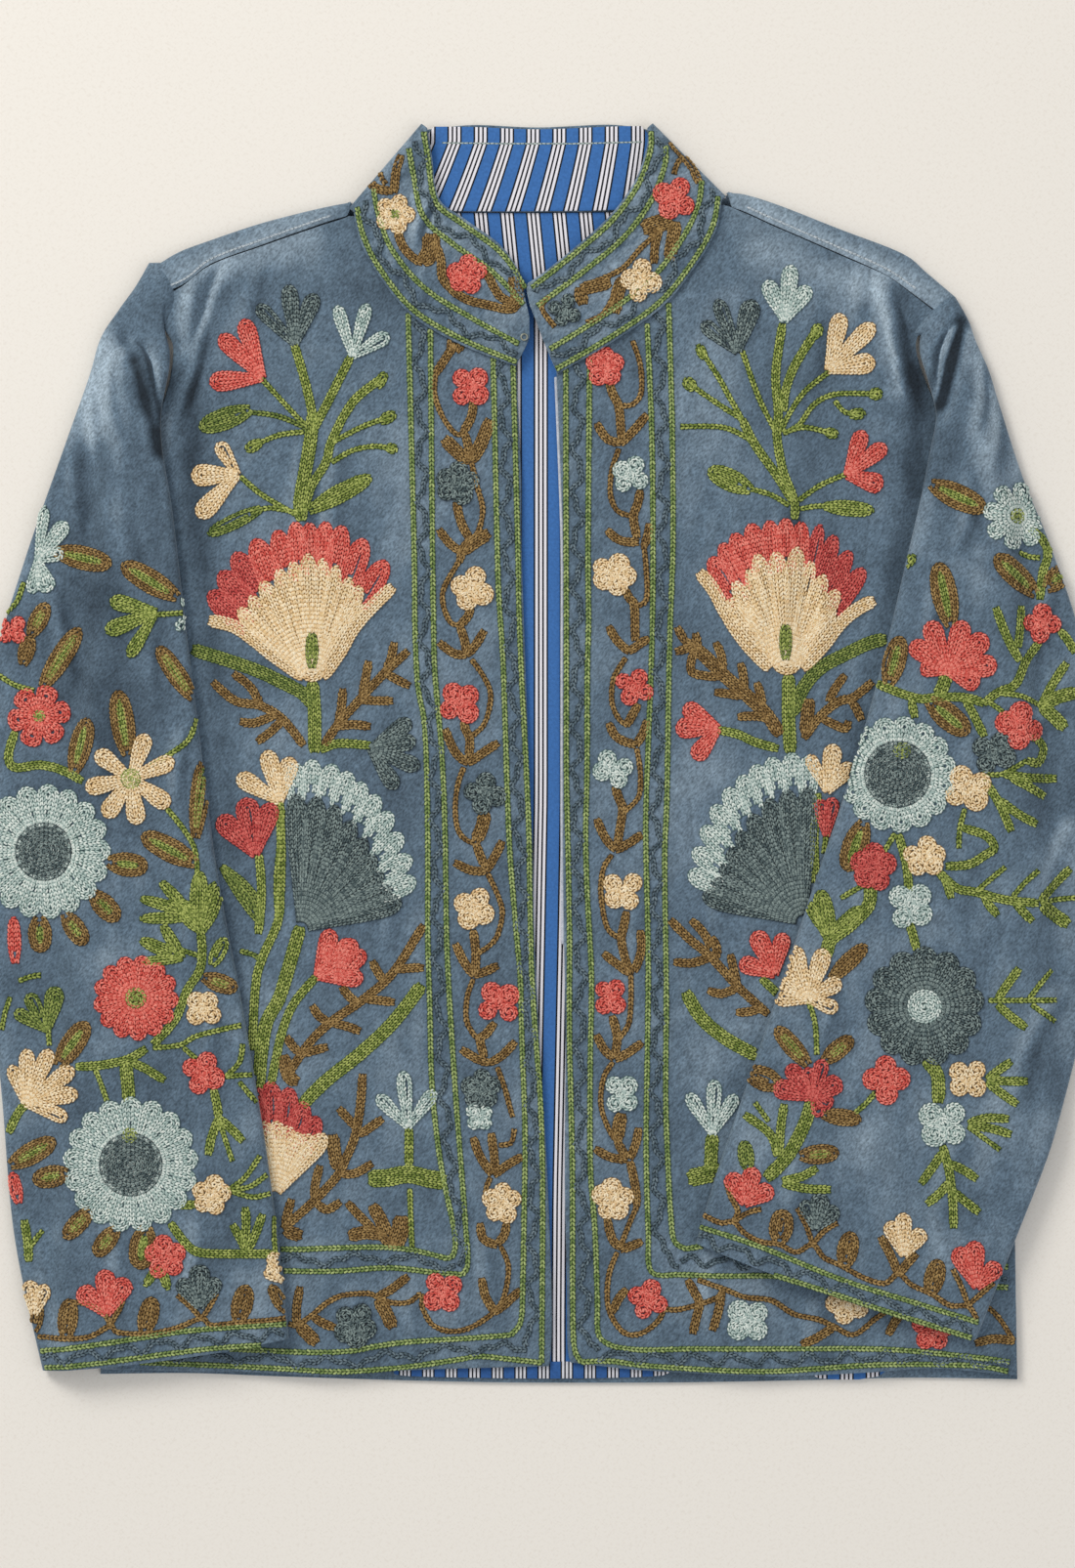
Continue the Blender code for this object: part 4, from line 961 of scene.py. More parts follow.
# Embroidery of the wearer's left sleeve.
LEFT_SLEEVE_STEMS = (
    Stem("leaf_green", 3, ((226, 412), (223.5, 405), (220.5, 398))),
    Stem("leaf_green", 2, ((185, 406), (198, 400.5), (210.5, 397), (221, 398), (238, 397.5), (247, 394))),
    Stem("leaf_green", 2, ((247, 394), (255, 400.5), (265.5, 405.5), (272, 419.5), (280, 430))),
    Stem("leaf_green", 2, ((205, 396), (206, 391), (207, 386))),
    Stem("leaf_green", 2, ((236, 397.5), (242, 386), (247.5, 375))),
    Stem("leaf_green", 2, ((274.3, 496), (282, 490), (285, 481), (282, 470), (280.4, 455))),
    Stem("leaf_green", 2, ((289, 496), (286.5, 488), (284.2, 481))),
    Stem("leaf_green", 1, ((268, 482.4), (274, 480), (280.4, 479.3))),
    Stem("leaf_green", 2, ((268, 419), (260.5, 433), (254, 450))),
    Stem("leaf_green", 2, ((267, 427), (268.5, 440), (269, 451))),
    Stem("leaf_green", 1, ((250, 395), (256, 391), (261, 386))),
    Stem("leaf_green", 1, ((258, 400), (269, 398.5), (280.5, 393))),
    Stem("leaf_green", 2, ((281, 393), (288, 406), (296, 418))),
    Stem("leaf_green", 3, ((281, 393), (291, 398), (302, 401))),
    Stem("leaf_green", 3, ((281, 393), (289, 386), (295, 380))),
    Stem("leaf_green", 2, ((292, 437), (297, 431), (301, 424))),
    Stem("leaf_green", 2, ((274, 377), (282, 369), (279, 360), (272, 361))),
    Stem("leaf_green", 1, ((245.5, 354), (257, 353), (272, 361))),
    Stem("leaf_green", 2, ((259, 353), (274, 351), (290, 350.5))),
    Stem("leaf_green", 2, ((263, 351), (273, 346), (283, 340))),
    Stem("leaf_green", 2, ((247, 350), (256, 336), (263, 320))),
    Stem("leaf_green", 2, ((256, 338), (267, 330), (278, 324))),
    Stem("leaf_green", 1, ((236, 333), (233, 321), (232.5, 310))),
    Stem("leaf_green", 2, (
        (234.5, 322), (248, 317.5), (253, 310.5), (247, 305.5), (238, 300.5), (225, 299.5),
    )),
    Stem("leaf_green", 2, ((220, 297), (225, 291), (228, 281))),
    Stem("leaf_green", 2, ((220, 297), (231, 287), (242.5, 284.5), (259.5, 280), (279, 278))),
    Stem("leaf_green", 1, ((243, 285), (251, 292), (259.5, 299))),
    Stem("leaf_green", 2, ((247, 282), (251, 276), (255, 271))),
    Stem("leaf_green", 1, ((264, 282), (271, 290), (279, 297))),
    Stem("leaf_green", 2, ((265, 279), (270, 273), (275.5, 267.5))),
    Stem("leaf_green", 2, ((280, 279), (289, 289), (298, 298))),
    Stem("leaf_green", 3, ((281, 277), (289, 271), (297, 265.5))),
    Stem("leaf_green", 1, ((280, 278), (290, 280), (301, 281))),
    Stem("leaf_green", 1, ((195.5, 318.5), (189, 308))),
    Stem("leaf_green", 2, ((197.5, 318), (202, 300.5), (203.5, 285))),
    Stem("leaf_green", 2, ((203.5, 267), (206, 259), (208, 251))),
    Stem("leaf_green", 3, ((181, 289), (180, 277), (170, 266), (158, 256.5), (156, 247))),
    Stem("leaf_green", 1, ((164, 281), (177, 288.5))),
    Stem("leaf_green", 1, ((145, 221.5), (149, 208), (150, 190))),
    Stem("leaf_green", 3, ((148, 166), (143, 150), (133, 131), (120.5, 118))),
    Stem("leaf_green", 2, ((127, 131), (123, 143.5), (108, 155))),
    Stem("leaf_green", 1, ((122, 151), (114, 162))),
    Stem("leaf_green", 2, ((128, 131), (129, 147), (131, 161))),
    Stem("leaf_green", 1, ((172, 156), (178, 161), (184, 168))),
    Stem("leaf_green", 2, ((130, 116.5), (141, 119), (150, 124))),
    Stem("leaf_green", 2, ((130, 115), (144, 112), (158, 111.5))),
    Stem("leaf_green", 1, ((250, 221.5), (272.5, 221.5), (290, 221.5))),
    Stem("leaf_green", 2, ((255, 222.5), (261, 231), (267.5, 240))),
    Stem("leaf_green", 2, ((255, 219), (263, 212), (271.5, 205.5))),
    Stem("leaf_green", 1, ((273.5, 222.5), (280, 231), (287, 239))),
    Stem("leaf_green", 1, ((275, 219), (282, 214), (289, 209))),
    Stem("leaf_green", 3, ((213, 187), (220, 178), (220.5, 162))),
    Stem("leaf_green", 2, ((249, 175.5), (256, 181), (263, 186))),
    Stem("leaf_green", 2, ((249, 175.5), (261, 174.5), (272.5, 174.5))),
    Stem("leaf_green", 2, ((249, 174), (258, 167), (266.5, 161))),
    Stem("leaf_green", 2, ((238, 150), (249, 153), (261.5, 152.5))),
    Stem("leaf_green", 2, ((238, 149), (251, 147), (263, 143.5))),
    Stem("leaf_green", 1, ((238, 148), (249, 140), (256.5, 134.5))),
    Stem("leaf_green", 2, ((223, 137), (226, 126), (227.5, 117.5), (229, 104), (229.5, 89))),
    Stem("leaf_green", 2, ((223, 133), (217, 124), (210.5, 115))),
    Stem("leaf_green", 2, ((226, 127), (235, 123), (243, 117.5))),
    Stem("leaf_green", 2, ((227, 116), (221, 109), (214, 103))),
    Stem("leaf_green", 2, ((228, 111), (237, 104), (244.5, 98))),
    Stem("bark_brown", 1, (
        (84, 96.5), (94, 92), (101.5, 92.5), (108, 86), (117.5, 81), (128, 79.5), (138, 75), (147.5, 79.5),
        (154, 72), (164.5, 67), (177.5, 60), (189.5, 57), (197.5, 62.5), (205, 56), (217, 50.5),
        (227.5, 44), (238, 43.5), (243, 36),
    )),
    Stem("bark_brown", 1, ((101.5, 92.5), (104, 99), (100, 107), (97.5, 115))),
    Stem("bark_brown", 1, ((102, 93), (110, 98), (117.5, 100))),
    Stem("bark_brown", 1, ((147.5, 79.5), (144, 90), (138.5, 100.5))),
    Stem("bark_brown", 1, ((147.5, 79.5), (154, 87), (162, 92))),
    Stem("bark_brown", 2, ((197.5, 62), (193, 73), (187, 84))),
    Stem("bark_brown", 2, ((197.5, 62), (203, 69), (208, 74))),
    Stem("bark_brown", 1, ((238, 44), (234, 55), (229, 65))),
    Stem("bark_brown", 1, ((238, 44), (246, 51), (253, 57))),
)
LEFT_SLEEVE_LEAVES = (
    Leaf("bark_brown", "leaf_green", 228, 439, 220.5, 476.5, 15),
    Leaf("leaf_green", None, 202, 474, 207, 481, 6),
    Leaf("bark_brown", "leaf_green", 191.5, 405, 199, 433.5, 13.5),
    Leaf("bark_brown", "leaf_green", 278, 458, 253.5, 480.5, 14),
    Leaf("bark_brown", "leaf_green", 284, 461, 297, 474, 13),
    Leaf("bark_brown", "leaf_green", 215, 396, 238.5, 376.5, 15),
    Leaf("bark_brown", "leaf_green", 177.5, 325.5, 167, 296.5, 15),
    Leaf("leaf_green", None, 157, 257, 152, 286, 12),
    Leaf("leaf_green", None, 155, 261, 143.5, 280.5, 7),
    Leaf("leaf_green", None, 158, 258, 176, 276, 9),
    Leaf("bark_brown", "leaf_green", 158, 234, 179, 254, 10),
    Leaf("bark_brown", "leaf_green", 145, 184, 126, 206, 11),
    Leaf("bark_brown", "leaf_green", 154, 186, 171, 200, 11),
    Leaf("bark_brown", None, 129, 172, 109, 180, 14),
    Leaf("bark_brown", None, 153, 155, 176, 152, 10),
    Leaf("bark_brown", "leaf_green", 140, 131, 163, 133, 11.5),
    Leaf("moss_green", None, 110, 123, 107.5, 140, 9.5),
    Leaf("bark_brown", None, 128, 80, 130.5, 100, 14),
    Leaf("bark_brown", None, 166, 66.5, 170, 87, 12.5),
    Leaf("bark_brown", None, 216, 50.5, 221, 71, 12),
    Leaf("bark_brown", "leaf_green", 216.2, 522.1, 248.3, 506.8, 14.5),
)
LEFT_SLEEVE_BLOOMS = (
    Bloom("coral", 226, 413, (
        (-52, 27, 12), (-20, 31, 12), (18, 31, 12), (48, 31, 13), (82, 29, 13), (112, 20, 12), (-82, 16, 10),
    )),
    Bloom("cream", 145, 222, (
        (-83, 20, 12), (-50, 25, 11), (-17, 33, 12), (18, 31, 11), (60, 22, 10), (108, 18, 9),
    )),
    Bloom("crimson", 148, 165, (
        (-75, 24, 12), (-38, 24, 10), (-12, 18, 8), (14, 23, 9), (58, 19, 12), (110, 12, 9), (160, 12, 8),
    )),
    Bloom("coral", 108, 103, ((-26, 20, 11), (14, 22, 11), (60, 19, 11))),
    Bloom("teal", 149, 88.5, ((-22, 18, 9), (10, 21, 11), (46, 18, 10))),
    Bloom("cream", 200.5, 73, ((-24, 22, 10), (-1, 25, 10), (38, 19, 10))),
    Bloom("coral", 243, 54.5, ((-27, 26, 12), (-4, 27, 12), (44, 19, 11))),
)
LEFT_SLEEVE_ROSETTES = (
    Rosette("pale_blue", "leaf_green", 266.5, 503.5, 20, 4.5, 8, 10),
    Rosette("leaf_green", "leaf_green", 199.5, 367, 5, 5, 0, 0),
    Rosette("coral", None, 281, 441, 11, 0, 4, 8),
    Rosette("coral", None, 268, 381.5, 14, 0, 4, 12),
    Rosette("teal", None, 253, 365.5, 12.5, 0, 4, 30),
    Rosette("cream", None, 238, 344.5, 14, 0, 4, 60),
    Rosette("pale_blue", "teal", 197, 353, 34, 19.5, 15, 8),
    Rosette("cream", None, 213, 305, 12, 0, 5, 0),
    Rosette("crimson", None, 183, 299, 13.5, 0, 5, 10),
    Rosette("pale_blue", None, 204.5, 276.5, 14, 0, 4, 42),
    Rosette("teal", "pale_blue", 212.5, 218, 35, 10, 13, 0),
    Rosette("coral", None, 190.5, 175, 13.5, 0, 4, 0),
    Rosette("cream", None, 238, 175.5, 12, 0, 4, 45),
    Rosette("pale_blue", None, 223, 150, 15, 0, 4, 42),
)

RIGHT_FRONT = (RIGHT_FRONT_STEMS, RIGHT_FRONT_LEAVES, RIGHT_FRONT_BLOOMS)
LEFT_FRONT = (LEFT_FRONT_STEMS, LEFT_FRONT_LEAVES, LEFT_FRONT_BLOOMS)
RIGHT_SLEEVE_MOTIFS = (RIGHT_SLEEVE_STEMS, RIGHT_SLEEVE_LEAVES, RIGHT_SLEEVE_BLOOMS, RIGHT_SLEEVE_ROSETTES)
LEFT_SLEEVE_MOTIFS = (LEFT_SLEEVE_STEMS, LEFT_SLEEVE_LEAVES, LEFT_SLEEVE_BLOOMS, LEFT_SLEEVE_ROSETTES)

# Vines beside the front edges and along the hems.
RIGHT_VINE_STEMS = (
    Stem("bark_brown", 4, ((-62, 612), (-60, 606), (-61, 600))),
    Stem("bark_brown", 2, ((-61, 604), (-66, 596), (-72, 587))),
    Stem("bark_brown", 1, ((-72, 587), (-72.5, 575), (-68, 562), (-60.5, 552), (-55, 552))),
    Stem("bark_brown", 2, ((-50, 571), (-51, 562), (-56, 552.5))),
    Stem("bark_brown", 2, ((-55, 552), (-53, 545), (-51.5, 537))),
    Stem("bark_brown", 3, ((-51.5, 536), (-58, 540), (-67, 549))),
    Stem("bark_brown", 3, ((-51.5, 536), (-46, 545), (-40, 560))),
    Stem("bark_brown", 1, ((-51, 535), (-48, 522), (-44.5, 508), (-47, 495), (-52, 490))),
    Stem("bark_brown", 2, ((-60, 512), (-57, 500), (-52, 490))),
    Stem("bark_brown", 2, ((-52, 490), (-56, 484), (-58, 477))),
    Stem("bark_brown", 2, ((-57, 483), (-64, 488), (-70, 496))),
    Stem("bark_brown", 3, ((-57, 483), (-50, 488), (-41, 494))),
    Stem("bark_brown", 1, ((-58.5, 477), (-67, 462), (-67.5, 452), (-63.5, 442), (-58.5, 440))),
    Stem("bark_brown", 2, ((-51, 450), (-54, 444), (-58, 440))),
    Stem("bark_brown", 2, ((-58, 440), (-55, 431), (-54, 424))),
    Stem("bark_brown", 2, ((-54, 422.5), (-62, 424), (-70, 430))),
    Stem("bark_brown", 2, ((-54, 422.5), (-49, 428), (-43.5, 437))),
    Stem("bark_brown", 1, ((-51, 420), (-44.5, 411), (-40, 401), (-41, 390), (-44.5, 381), (-52, 374.5))),
    Stem("bark_brown", 2, ((-56, 384), (-54, 378), (-52, 373.5), (-52.5, 363))),
    Stem("bark_brown", 2, ((-53, 359.5), (-60.5, 366), (-66.5, 379.5))),
    Stem("bark_brown", 2, ((-53, 359.5), (-44.5, 365.5), (-35.5, 371.5))),
    Stem("bark_brown", 1, ((-55.5, 357), (-59, 347), (-60.5, 333), (-59, 321), (-54.5, 315), (-49.5, 313))),
    Stem("bark_brown", 3, ((-43, 331), (-45, 322), (-48.5, 314))),
    Stem("bark_brown", 2, ((-48.5, 313), (-46, 306), (-43, 299))),
    Stem("bark_brown", 2, ((-42.5, 296.5), (-51, 297), (-61, 301.5))),
    Stem("bark_brown", 2, ((-42.5, 296.5), (-38, 304), (-33, 314))),
    Stem("bark_brown", 1, ((-41.5, 295), (-35.5, 282), (-33, 272), (-35.5, 260), (-39.5, 254), (-47, 248.5))),
    Stem("bark_brown", 2, ((-50, 262), (-49, 254), (-48.5, 246), (-49, 237))),
    Stem("bark_brown", 2, ((-49.5, 235.5), (-55, 243), (-60.5, 254))),
    Stem("bark_brown", 2, ((-49.5, 235.5), (-43, 238), (-35.5, 241.5))),
    Stem("bark_brown", 1, ((-50, 233.5), (-53.5, 223), (-54, 210), (-50, 201.5), (-46.5, 198.5))),
    Stem("bark_brown", 2, ((-37.5, 208), (-42, 202), (-46, 198), (-43.5, 188))),
    Stem("bark_brown", 2, ((-40.5, 184.5), (-48, 187), (-57, 192.5))),
    Stem("bark_brown", 2, ((-40.5, 184.5), (-33, 189), (-25.5, 197))),
    Stem("bark_brown", 1, ((-36, 182), (-31.5, 169.5), (-29, 160), (-27, 153))),
    Stem("bark_brown", 2, ((-39.5, 143.5), (-38, 132), (-37, 121))),
    Stem("bark_brown", 1, ((-35, 136.5), (-28, 138), (-26, 146))),
    Stem("bark_brown", 2, ((-50, 141), (-46, 130), (-39, 119.5))),
    Stem("bark_brown", 2, ((-21.5, 130), (-30, 125), (-38, 119))),
    Stem("bark_brown", 1, ((-40, 117.5), (-42.5, 111), (-42, 104))),
    Stem("bark_brown", 2, ((-30.5, 91), (-32, 84), (-36, 79))),
    Stem("bark_brown", 2, ((-46, 91), (-44, 82), (-36, 78))),
    Stem("bark_brown", 1, (
        (-34, 77.5), (-29.5, 66), (-31.5, 50), (-37, 40), (-51, 30.5), (-63.5, 28), (-74, 32), (-80, 42),
    )),
    Stem("bark_brown", 2, ((-45, 59), (-43, 49), (-37.5, 39))),
    Stem("bark_brown", 2, ((-22.5, 52), (-30, 45), (-37.5, 39))),
    Stem("bark_brown", 1, ((-80, 42), (-80.5, 49.5), (-87.5, 45), (-97, 44.5), (-105.5, 47.5))),
    Stem("bark_brown", 1, (
        (-105.5, 47.5), (-111.5, 50), (-126, 49), (-135.5, 44.5), (-144, 37.5), (-153, 31),
    )),
    Stem("bark_brown", 2, ((-106.5, 47.5), (-97, 53), (-88, 60))),
    Stem("bark_brown", 3, ((-105.5, 46.5), (-101, 39), (-97, 30))),
    Stem("bark_brown", 2, ((-144, 37), (-138, 33), (-130.5, 30))),
    Stem("bark_brown", 2, ((-153, 31), (-153, 42), (-151, 54))),
    Stem("bark_brown", 3, ((-152, 31), (-147, 27), (-141.5, 21))),
    Stem("bark_brown", 1, ((-153, 31), (-170, 36), (-190, 44), (-215, 34), (-240, 44))),
)
RIGHT_VINE_FLOWERS = (
    Rosette("coral", None, -51.5, 579, 12, 0, 4, 40), Rosette("teal", None, -59.5, 523, 12.5, 0, 5, 10),
    Rosette("cream", None, -50.3, 461.5, 12.8, 0, 4, 20),
    Rosette("coral", None, -57.5, 394.5, 12.5, 0, 4, -38),
    Rosette("teal", None, -43, 342, 12, 0, 4, 10), Rosette("cream", None, -49.5, 274.5, 12.5, 0, 4, 35),
    Rosette("coral", None, -35, 220, 12.5, 0, 4, -35), Rosette("teal", None, -45.7, 169.5, 11.5, 0, 5, 0),
    Rosette("pale_blue", None, -46.5, 153, 8.5, 0, 4, 45),
    Rosette("cream", None, -33.2, 102.5, 11.5, 0, 5, 0),
    Rosette("coral", None, -68, 50.8, 12.2, 0, 4, 45), Rosette("teal", None, -118.7, 31.5, 12.5, 0, 5, 30),
    Rosette("coral", None, -205, 42, 12, 0, 4, 20),
)
LEFT_VINE_STEMS = (
    Stem("bark_brown", 1, ((43, 606), (47.5, 592), (48, 576), (43, 569), (35, 568))),
    Stem("bark_brown", 2, ((29, 584), (31, 576), (35, 567), (36.5, 549))),
    Stem("bark_brown", 2, ((22, 558), (28, 549), (36, 546.5))),
    Stem("bark_brown", 2, ((51.5, 563), (43, 553), (36, 546))),
    Stem("bark_brown", 1, ((35, 543), (31, 531), (30, 517), (34, 507), (43, 503.5))),
    Stem("bark_brown", 2, ((47.5, 519), (46, 511), (43.5, 503.5), (45.5, 491))),
    Stem("bark_brown", 2, ((28, 495.5), (36, 489.5), (46.5, 488.5))),
    Stem("bark_brown", 2, ((52.5, 499.5), (52, 493), (49.5, 486))),
    Stem("bark_brown", 1, ((49.5, 487), (51, 472), (51, 455), (44, 451))),
    Stem("bark_brown", 2, ((39, 461), (41, 456), (44, 451), (44.5, 431))),
    Stem("bark_brown", 2, ((29, 439.5), (34, 431), (41, 424.5))),
    Stem("bark_brown", 2, ((52.5, 432.5), (47, 429), (41, 424.5))),
    Stem("bark_brown", 1, ((39, 421), (32, 409), (31, 395), (35, 385.5), (40, 381.5))),
    Stem("bark_brown", 2, ((46.5, 394), (43, 388), (39.5, 381.5))),
    Stem("bark_brown", 2, ((29, 383), (34, 374.5), (45, 370))),
    Stem("bark_brown", 2, ((51.5, 384.5), (49, 377), (45, 370))),
    Stem("bark_brown", 1, ((45.5, 368), (47.5, 354), (46.5, 340), (38.5, 331.5))),
    Stem("bark_brown", 2, ((32.5, 346), (35, 339), (37, 331.5), (34, 312))),
    Stem("bark_brown", 2, ((22, 327), (27, 316), (33, 309))),
    Stem("bark_brown", 2, ((48.5, 318), (41, 313), (33, 308.5))),
    Stem("bark_brown", 1, ((31, 306), (26, 298), (24.5, 284), (28, 264), (36, 257))),
    Stem("bark_brown", 2, ((39.5, 273), (38, 265), (36.5, 257), (38.5, 246), (42, 236.5))),
    Stem("bark_brown", 2, ((26, 248.5), (33, 243), (41, 237))),
    Stem("bark_brown", 2, ((47.5, 262), (48, 250), (44, 238))),
    Stem("bark_brown", 1, ((42, 236), (42, 221), (40.5, 207), (34, 197.5))),
    Stem("bark_brown", 2, ((31, 212), (33, 205), (34, 198), (32.5, 188))),
    Stem("bark_brown", 2, ((22, 201), (26, 193), (32, 187))),
    Stem("bark_brown", 2, ((48.5, 196.5), (41, 191), (33, 186.5))),
    Stem("bark_brown", 1, ((31.5, 185), (26, 175.5), (24.5, 160), (29, 146), (34, 138.5))),
    Stem("bark_brown", 3, ((36.5, 155), (35, 147), (34, 139.5))),
    Stem("bark_brown", 2, ((34, 139.5), (36, 135), (39.5, 130))),
    Stem("bark_brown", 2, ((21, 134.5), (30, 129.5), (40, 128))),
    Stem("bark_brown", 2, ((46.5, 146.5), (45, 138), (41.5, 128.5))),
    Stem("bark_brown", 2, ((41.5, 127), (44.5, 113), (45.5, 101))),
    Stem("bark_brown", 1, ((45.5, 101), (40, 88), (36, 77.5))),
    Stem("bark_brown", 2, ((28, 94), (31, 82), (36, 76.5))),
    Stem("bark_brown", 2, ((48.5, 80.5), (43, 78), (36, 75.5))),
    Stem("bark_brown", 1, (
        (34, 74), (29, 60), (29, 41), (37.5, 27.5), (47.5, 26.5), (57.5, 33.5), (61.5, 41),
    )),
    Stem("bark_brown", 2, ((39.5, 52.5), (35, 47), (31, 39))),
    Stem("bark_brown", 1, ((61.5, 41), (69, 40.5), (81, 43.5), (92.5, 48), (95.5, 53))),
    Stem("bark_brown", 1, (
        (81, 58), (95.5, 53), (108.5, 48), (124, 46), (137, 38), (151, 35), (160, 31), (172, 26), (184, 35),
    )),
    Stem("bark_brown", 2, ((75, 58), (79, 51), (82, 44), (80, 35), (78, 26.5))),
    Stem("bark_brown", 2, ((95, 51), (93, 40), (89.5, 28.5))),
    Stem("bark_brown", 1, ((184, 35), (200, 44), (222, 47), (250, 42), (265, 23))),
    Stem("bark_brown", 2, ((266, 22), (254, 23.5), (243, 21))),
    Stem("bark_brown", 2, ((141.4, 20.3), (150, 24), (161, 31))),
    Stem("bark_brown", 2, ((192, 26), (197, 35), (203, 41))),
)
LEFT_VINE_FLOWERS = (
    Rosette("coral", None, 27, 591, 11.5, 0, 5, 0), Rosette("pale_blue", None, 41.7, 528, 11, 0, 4, 30),
    Rosette("cream", None, 32.2, 470, 12.5, 0, 5, 20), Rosette("coral", None, 44, 404, 11, 0, 4, 20),
    Rosette("pale_blue", None, 31.5, 356, 11.8, 0, 4, -20), Rosette("cream", None, 37.3, 285, 12.2, 0, 4, 45),
    Rosette("coral", None, 30, 223, 10.5, 0, 4, 42), Rosette("pale_blue", None, 36.7, 166.5, 11.2, 0, 4, 40),
    Rosette("cream", None, 31.5, 105, 12.2, 0, 5, 0), Rosette("coral", None, 52, 47, 11.5, 0, 4, 20),
    Rosette("pale_blue", None, 110, 34.5, 13, 0, 4, 42), Rosette("cream", None, 168, 44, 12, 0, 4, 10),
    Rosette("coral", None, 218, 30, 12.5, 0, 5, 0),
)

# Border lines of the fronts, from the collar down and then along the hem.
RIGHT_EDGE_OUTER = (
    (-27, 600), (-24, 486), (-23.5, 456), (-22, 413), (-20.5, 384), (-19, 355), (-17.5, 318), (-17, 282),
    (-16, 240), (-14, 205), (-11, 166), (-9.7, 126), (-9.5, 90), (-9.7, 55), (-10, 20), (-10, 9.5),
)
RIGHT_EDGE_INNER = (
    (-38.5, 604), (-36, 486), (-35, 456), (-32.8, 423), (-31.4, 384), (-30, 340), (-28.4, 304), (-24.8, 260),
    (-22.5, 233), (-21.6, 198), (-19.8, 144), (-20.4, 91), (-21.1, 55), (-22.2, 34), (-28, 25.8),
)
RIGHT_FLANK_OUTER = (
    (-88, 622), (-84.5, 486), (-84, 440), (-82.3, 405), (-78.6, 384), (-77.2, 355), (-76.5, 311),
    (-76.5, 257), (-75.3, 215), (-74.5, 180), (-72.5, 153), (-68.3, 122), (-61.1, 87), (-61.1, 74),
    (-65, 70.4),
)
RIGHT_FLANK_INNER = (
    (-75, 613), (-73.8, 486), (-73.2, 442), (-72.4, 413), (-69.2, 376), (-67.4, 347), (-66.3, 311),
    (-65.5, 257), (-63.5, 215), (-60, 162), (-57.2, 126), (-54.6, 91), (-53.2, 68), (-56.4, 61),
)
RIGHT_HEM_HIGH = (
    (-28, 25.8), (-58, 23.6), (-87.5, 21.8), (-105.5, 19.4), (-123.5, 16.4), (-147.5, 15.8), (-200, 18),
    (-262, 21),
)
RIGHT_HEM_LOW = (
    (-10, 9.5), (-28, 11.6), (-46, 13.4), (-58, 11.6), (-81.5, 8), (-105.5, 5.6), (-129.5, 4.4), (-159.5, 6),
    (-200, 8), (-262, 10.5),
)
RIGHT_BAND_HIGH = ((-65, 70.4), (-85, 75.2), (-105.5, 77), (-135.5, 76.4), (-159.5, 75.8), (-220, 78))
RIGHT_BAND_LOW = ((-56.4, 61), (-75.5, 62.6), (-99.5, 65), (-129.5, 63.2), (-159.5, 63.2), (-220, 65))
LEFT_EDGE_OUTER = (
    (4, 600), (4.2, 486), (4.4, 427), (4.4, 355), (5.6, 296), (6.2, 257), (6.2, 198), (7.8, 126), (8, 55),
    (8.8, 20), (13, 10),
)
LEFT_EDGE_INNER = (
    (18, 603), (17, 486), (17.3, 442), (16.6, 413), (16.4, 355), (15.6, 318), (16.6, 282), (19, 235),
    (18.3, 185), (18.3, 126), (21, 87), (22.4, 48), (23.2, 26), (32, 19),
)
LEFT_FLANK_OUTER = (
    (64, 628), (66, 560), (66.5, 486), (64.5, 427), (63, 340), (61.7, 303), (62.6, 225), (62.3, 166),
    (63.6, 126), (65.2, 97), (67.2, 81), (74, 76),
)
LEFT_FLANK_INNER = (
    (51.5, 616), (54.5, 540), (54.5, 440), (51, 340), (50.9, 303), (52.1, 244), (51.5, 185), (50.9, 136),
    (52.1, 87), (53.8, 63), (69, 61),
)
LEFT_HEM_HIGH = ((32, 19), (49.5, 17), (79, 17.7), (124, 17.7), (190, 17.5), (240, 13), (263, 10))
LEFT_HEM_LOW = (
    (13, 10), (30, 10.5), (49.5, 8), (88.7, 5.4), (124, 4.6), (150, 6), (187, 8.5), (240, 8), (262, 4.5),
)
LEFT_BAND_HIGH = ((74, 76), (90, 77.5), (130, 74), (180, 70), (262, 65.5))
LEFT_BAND_LOW = ((69, 61), (98.5, 60.3), (124, 60.3), (180, 57), (262, 53.5))

# Border lines of the cuffs.
RIGHT_CUFF_LOW = ((-300, 7), (-275, 9.5), (-248, 13), (-207, 18.5), (-180, 20.5), (-158.5, 22))
RIGHT_CUFF_HIGH = ((-302.5, 16.5), (-263, 22), (-217.5, 29), (-185, 31.5), (-158.5, 33))
LEFT_CUFF_LOW = ((80, 78), (112, 66), (151.5, 53.5), (191, 40.5), (216, 32.5), (240, 25))
LEFT_CUFF_HIGH = ((82, 89.5), (116, 78.5), (164.5, 59), (204, 46.5), (244, 34))

RIGHT_BORDERS = (
    (RIGHT_EDGE_OUTER, RIGHT_EDGE_INNER), (RIGHT_FLANK_OUTER, RIGHT_FLANK_INNER),
    (RIGHT_HEM_LOW, RIGHT_HEM_HIGH), (RIGHT_BAND_LOW, RIGHT_BAND_HIGH),
)
LEFT_BORDERS = (
    (LEFT_EDGE_OUTER, LEFT_EDGE_INNER), (LEFT_FLANK_OUTER, LEFT_FLANK_INNER),
    (LEFT_HEM_LOW, LEFT_HEM_HIGH), (LEFT_BAND_LOW, LEFT_BAND_HIGH),
)
RIGHT_CUFF = (RIGHT_CUFF_LOW, RIGHT_CUFF_HIGH)
LEFT_CUFF = (LEFT_CUFF_LOW, LEFT_CUFF_HIGH)

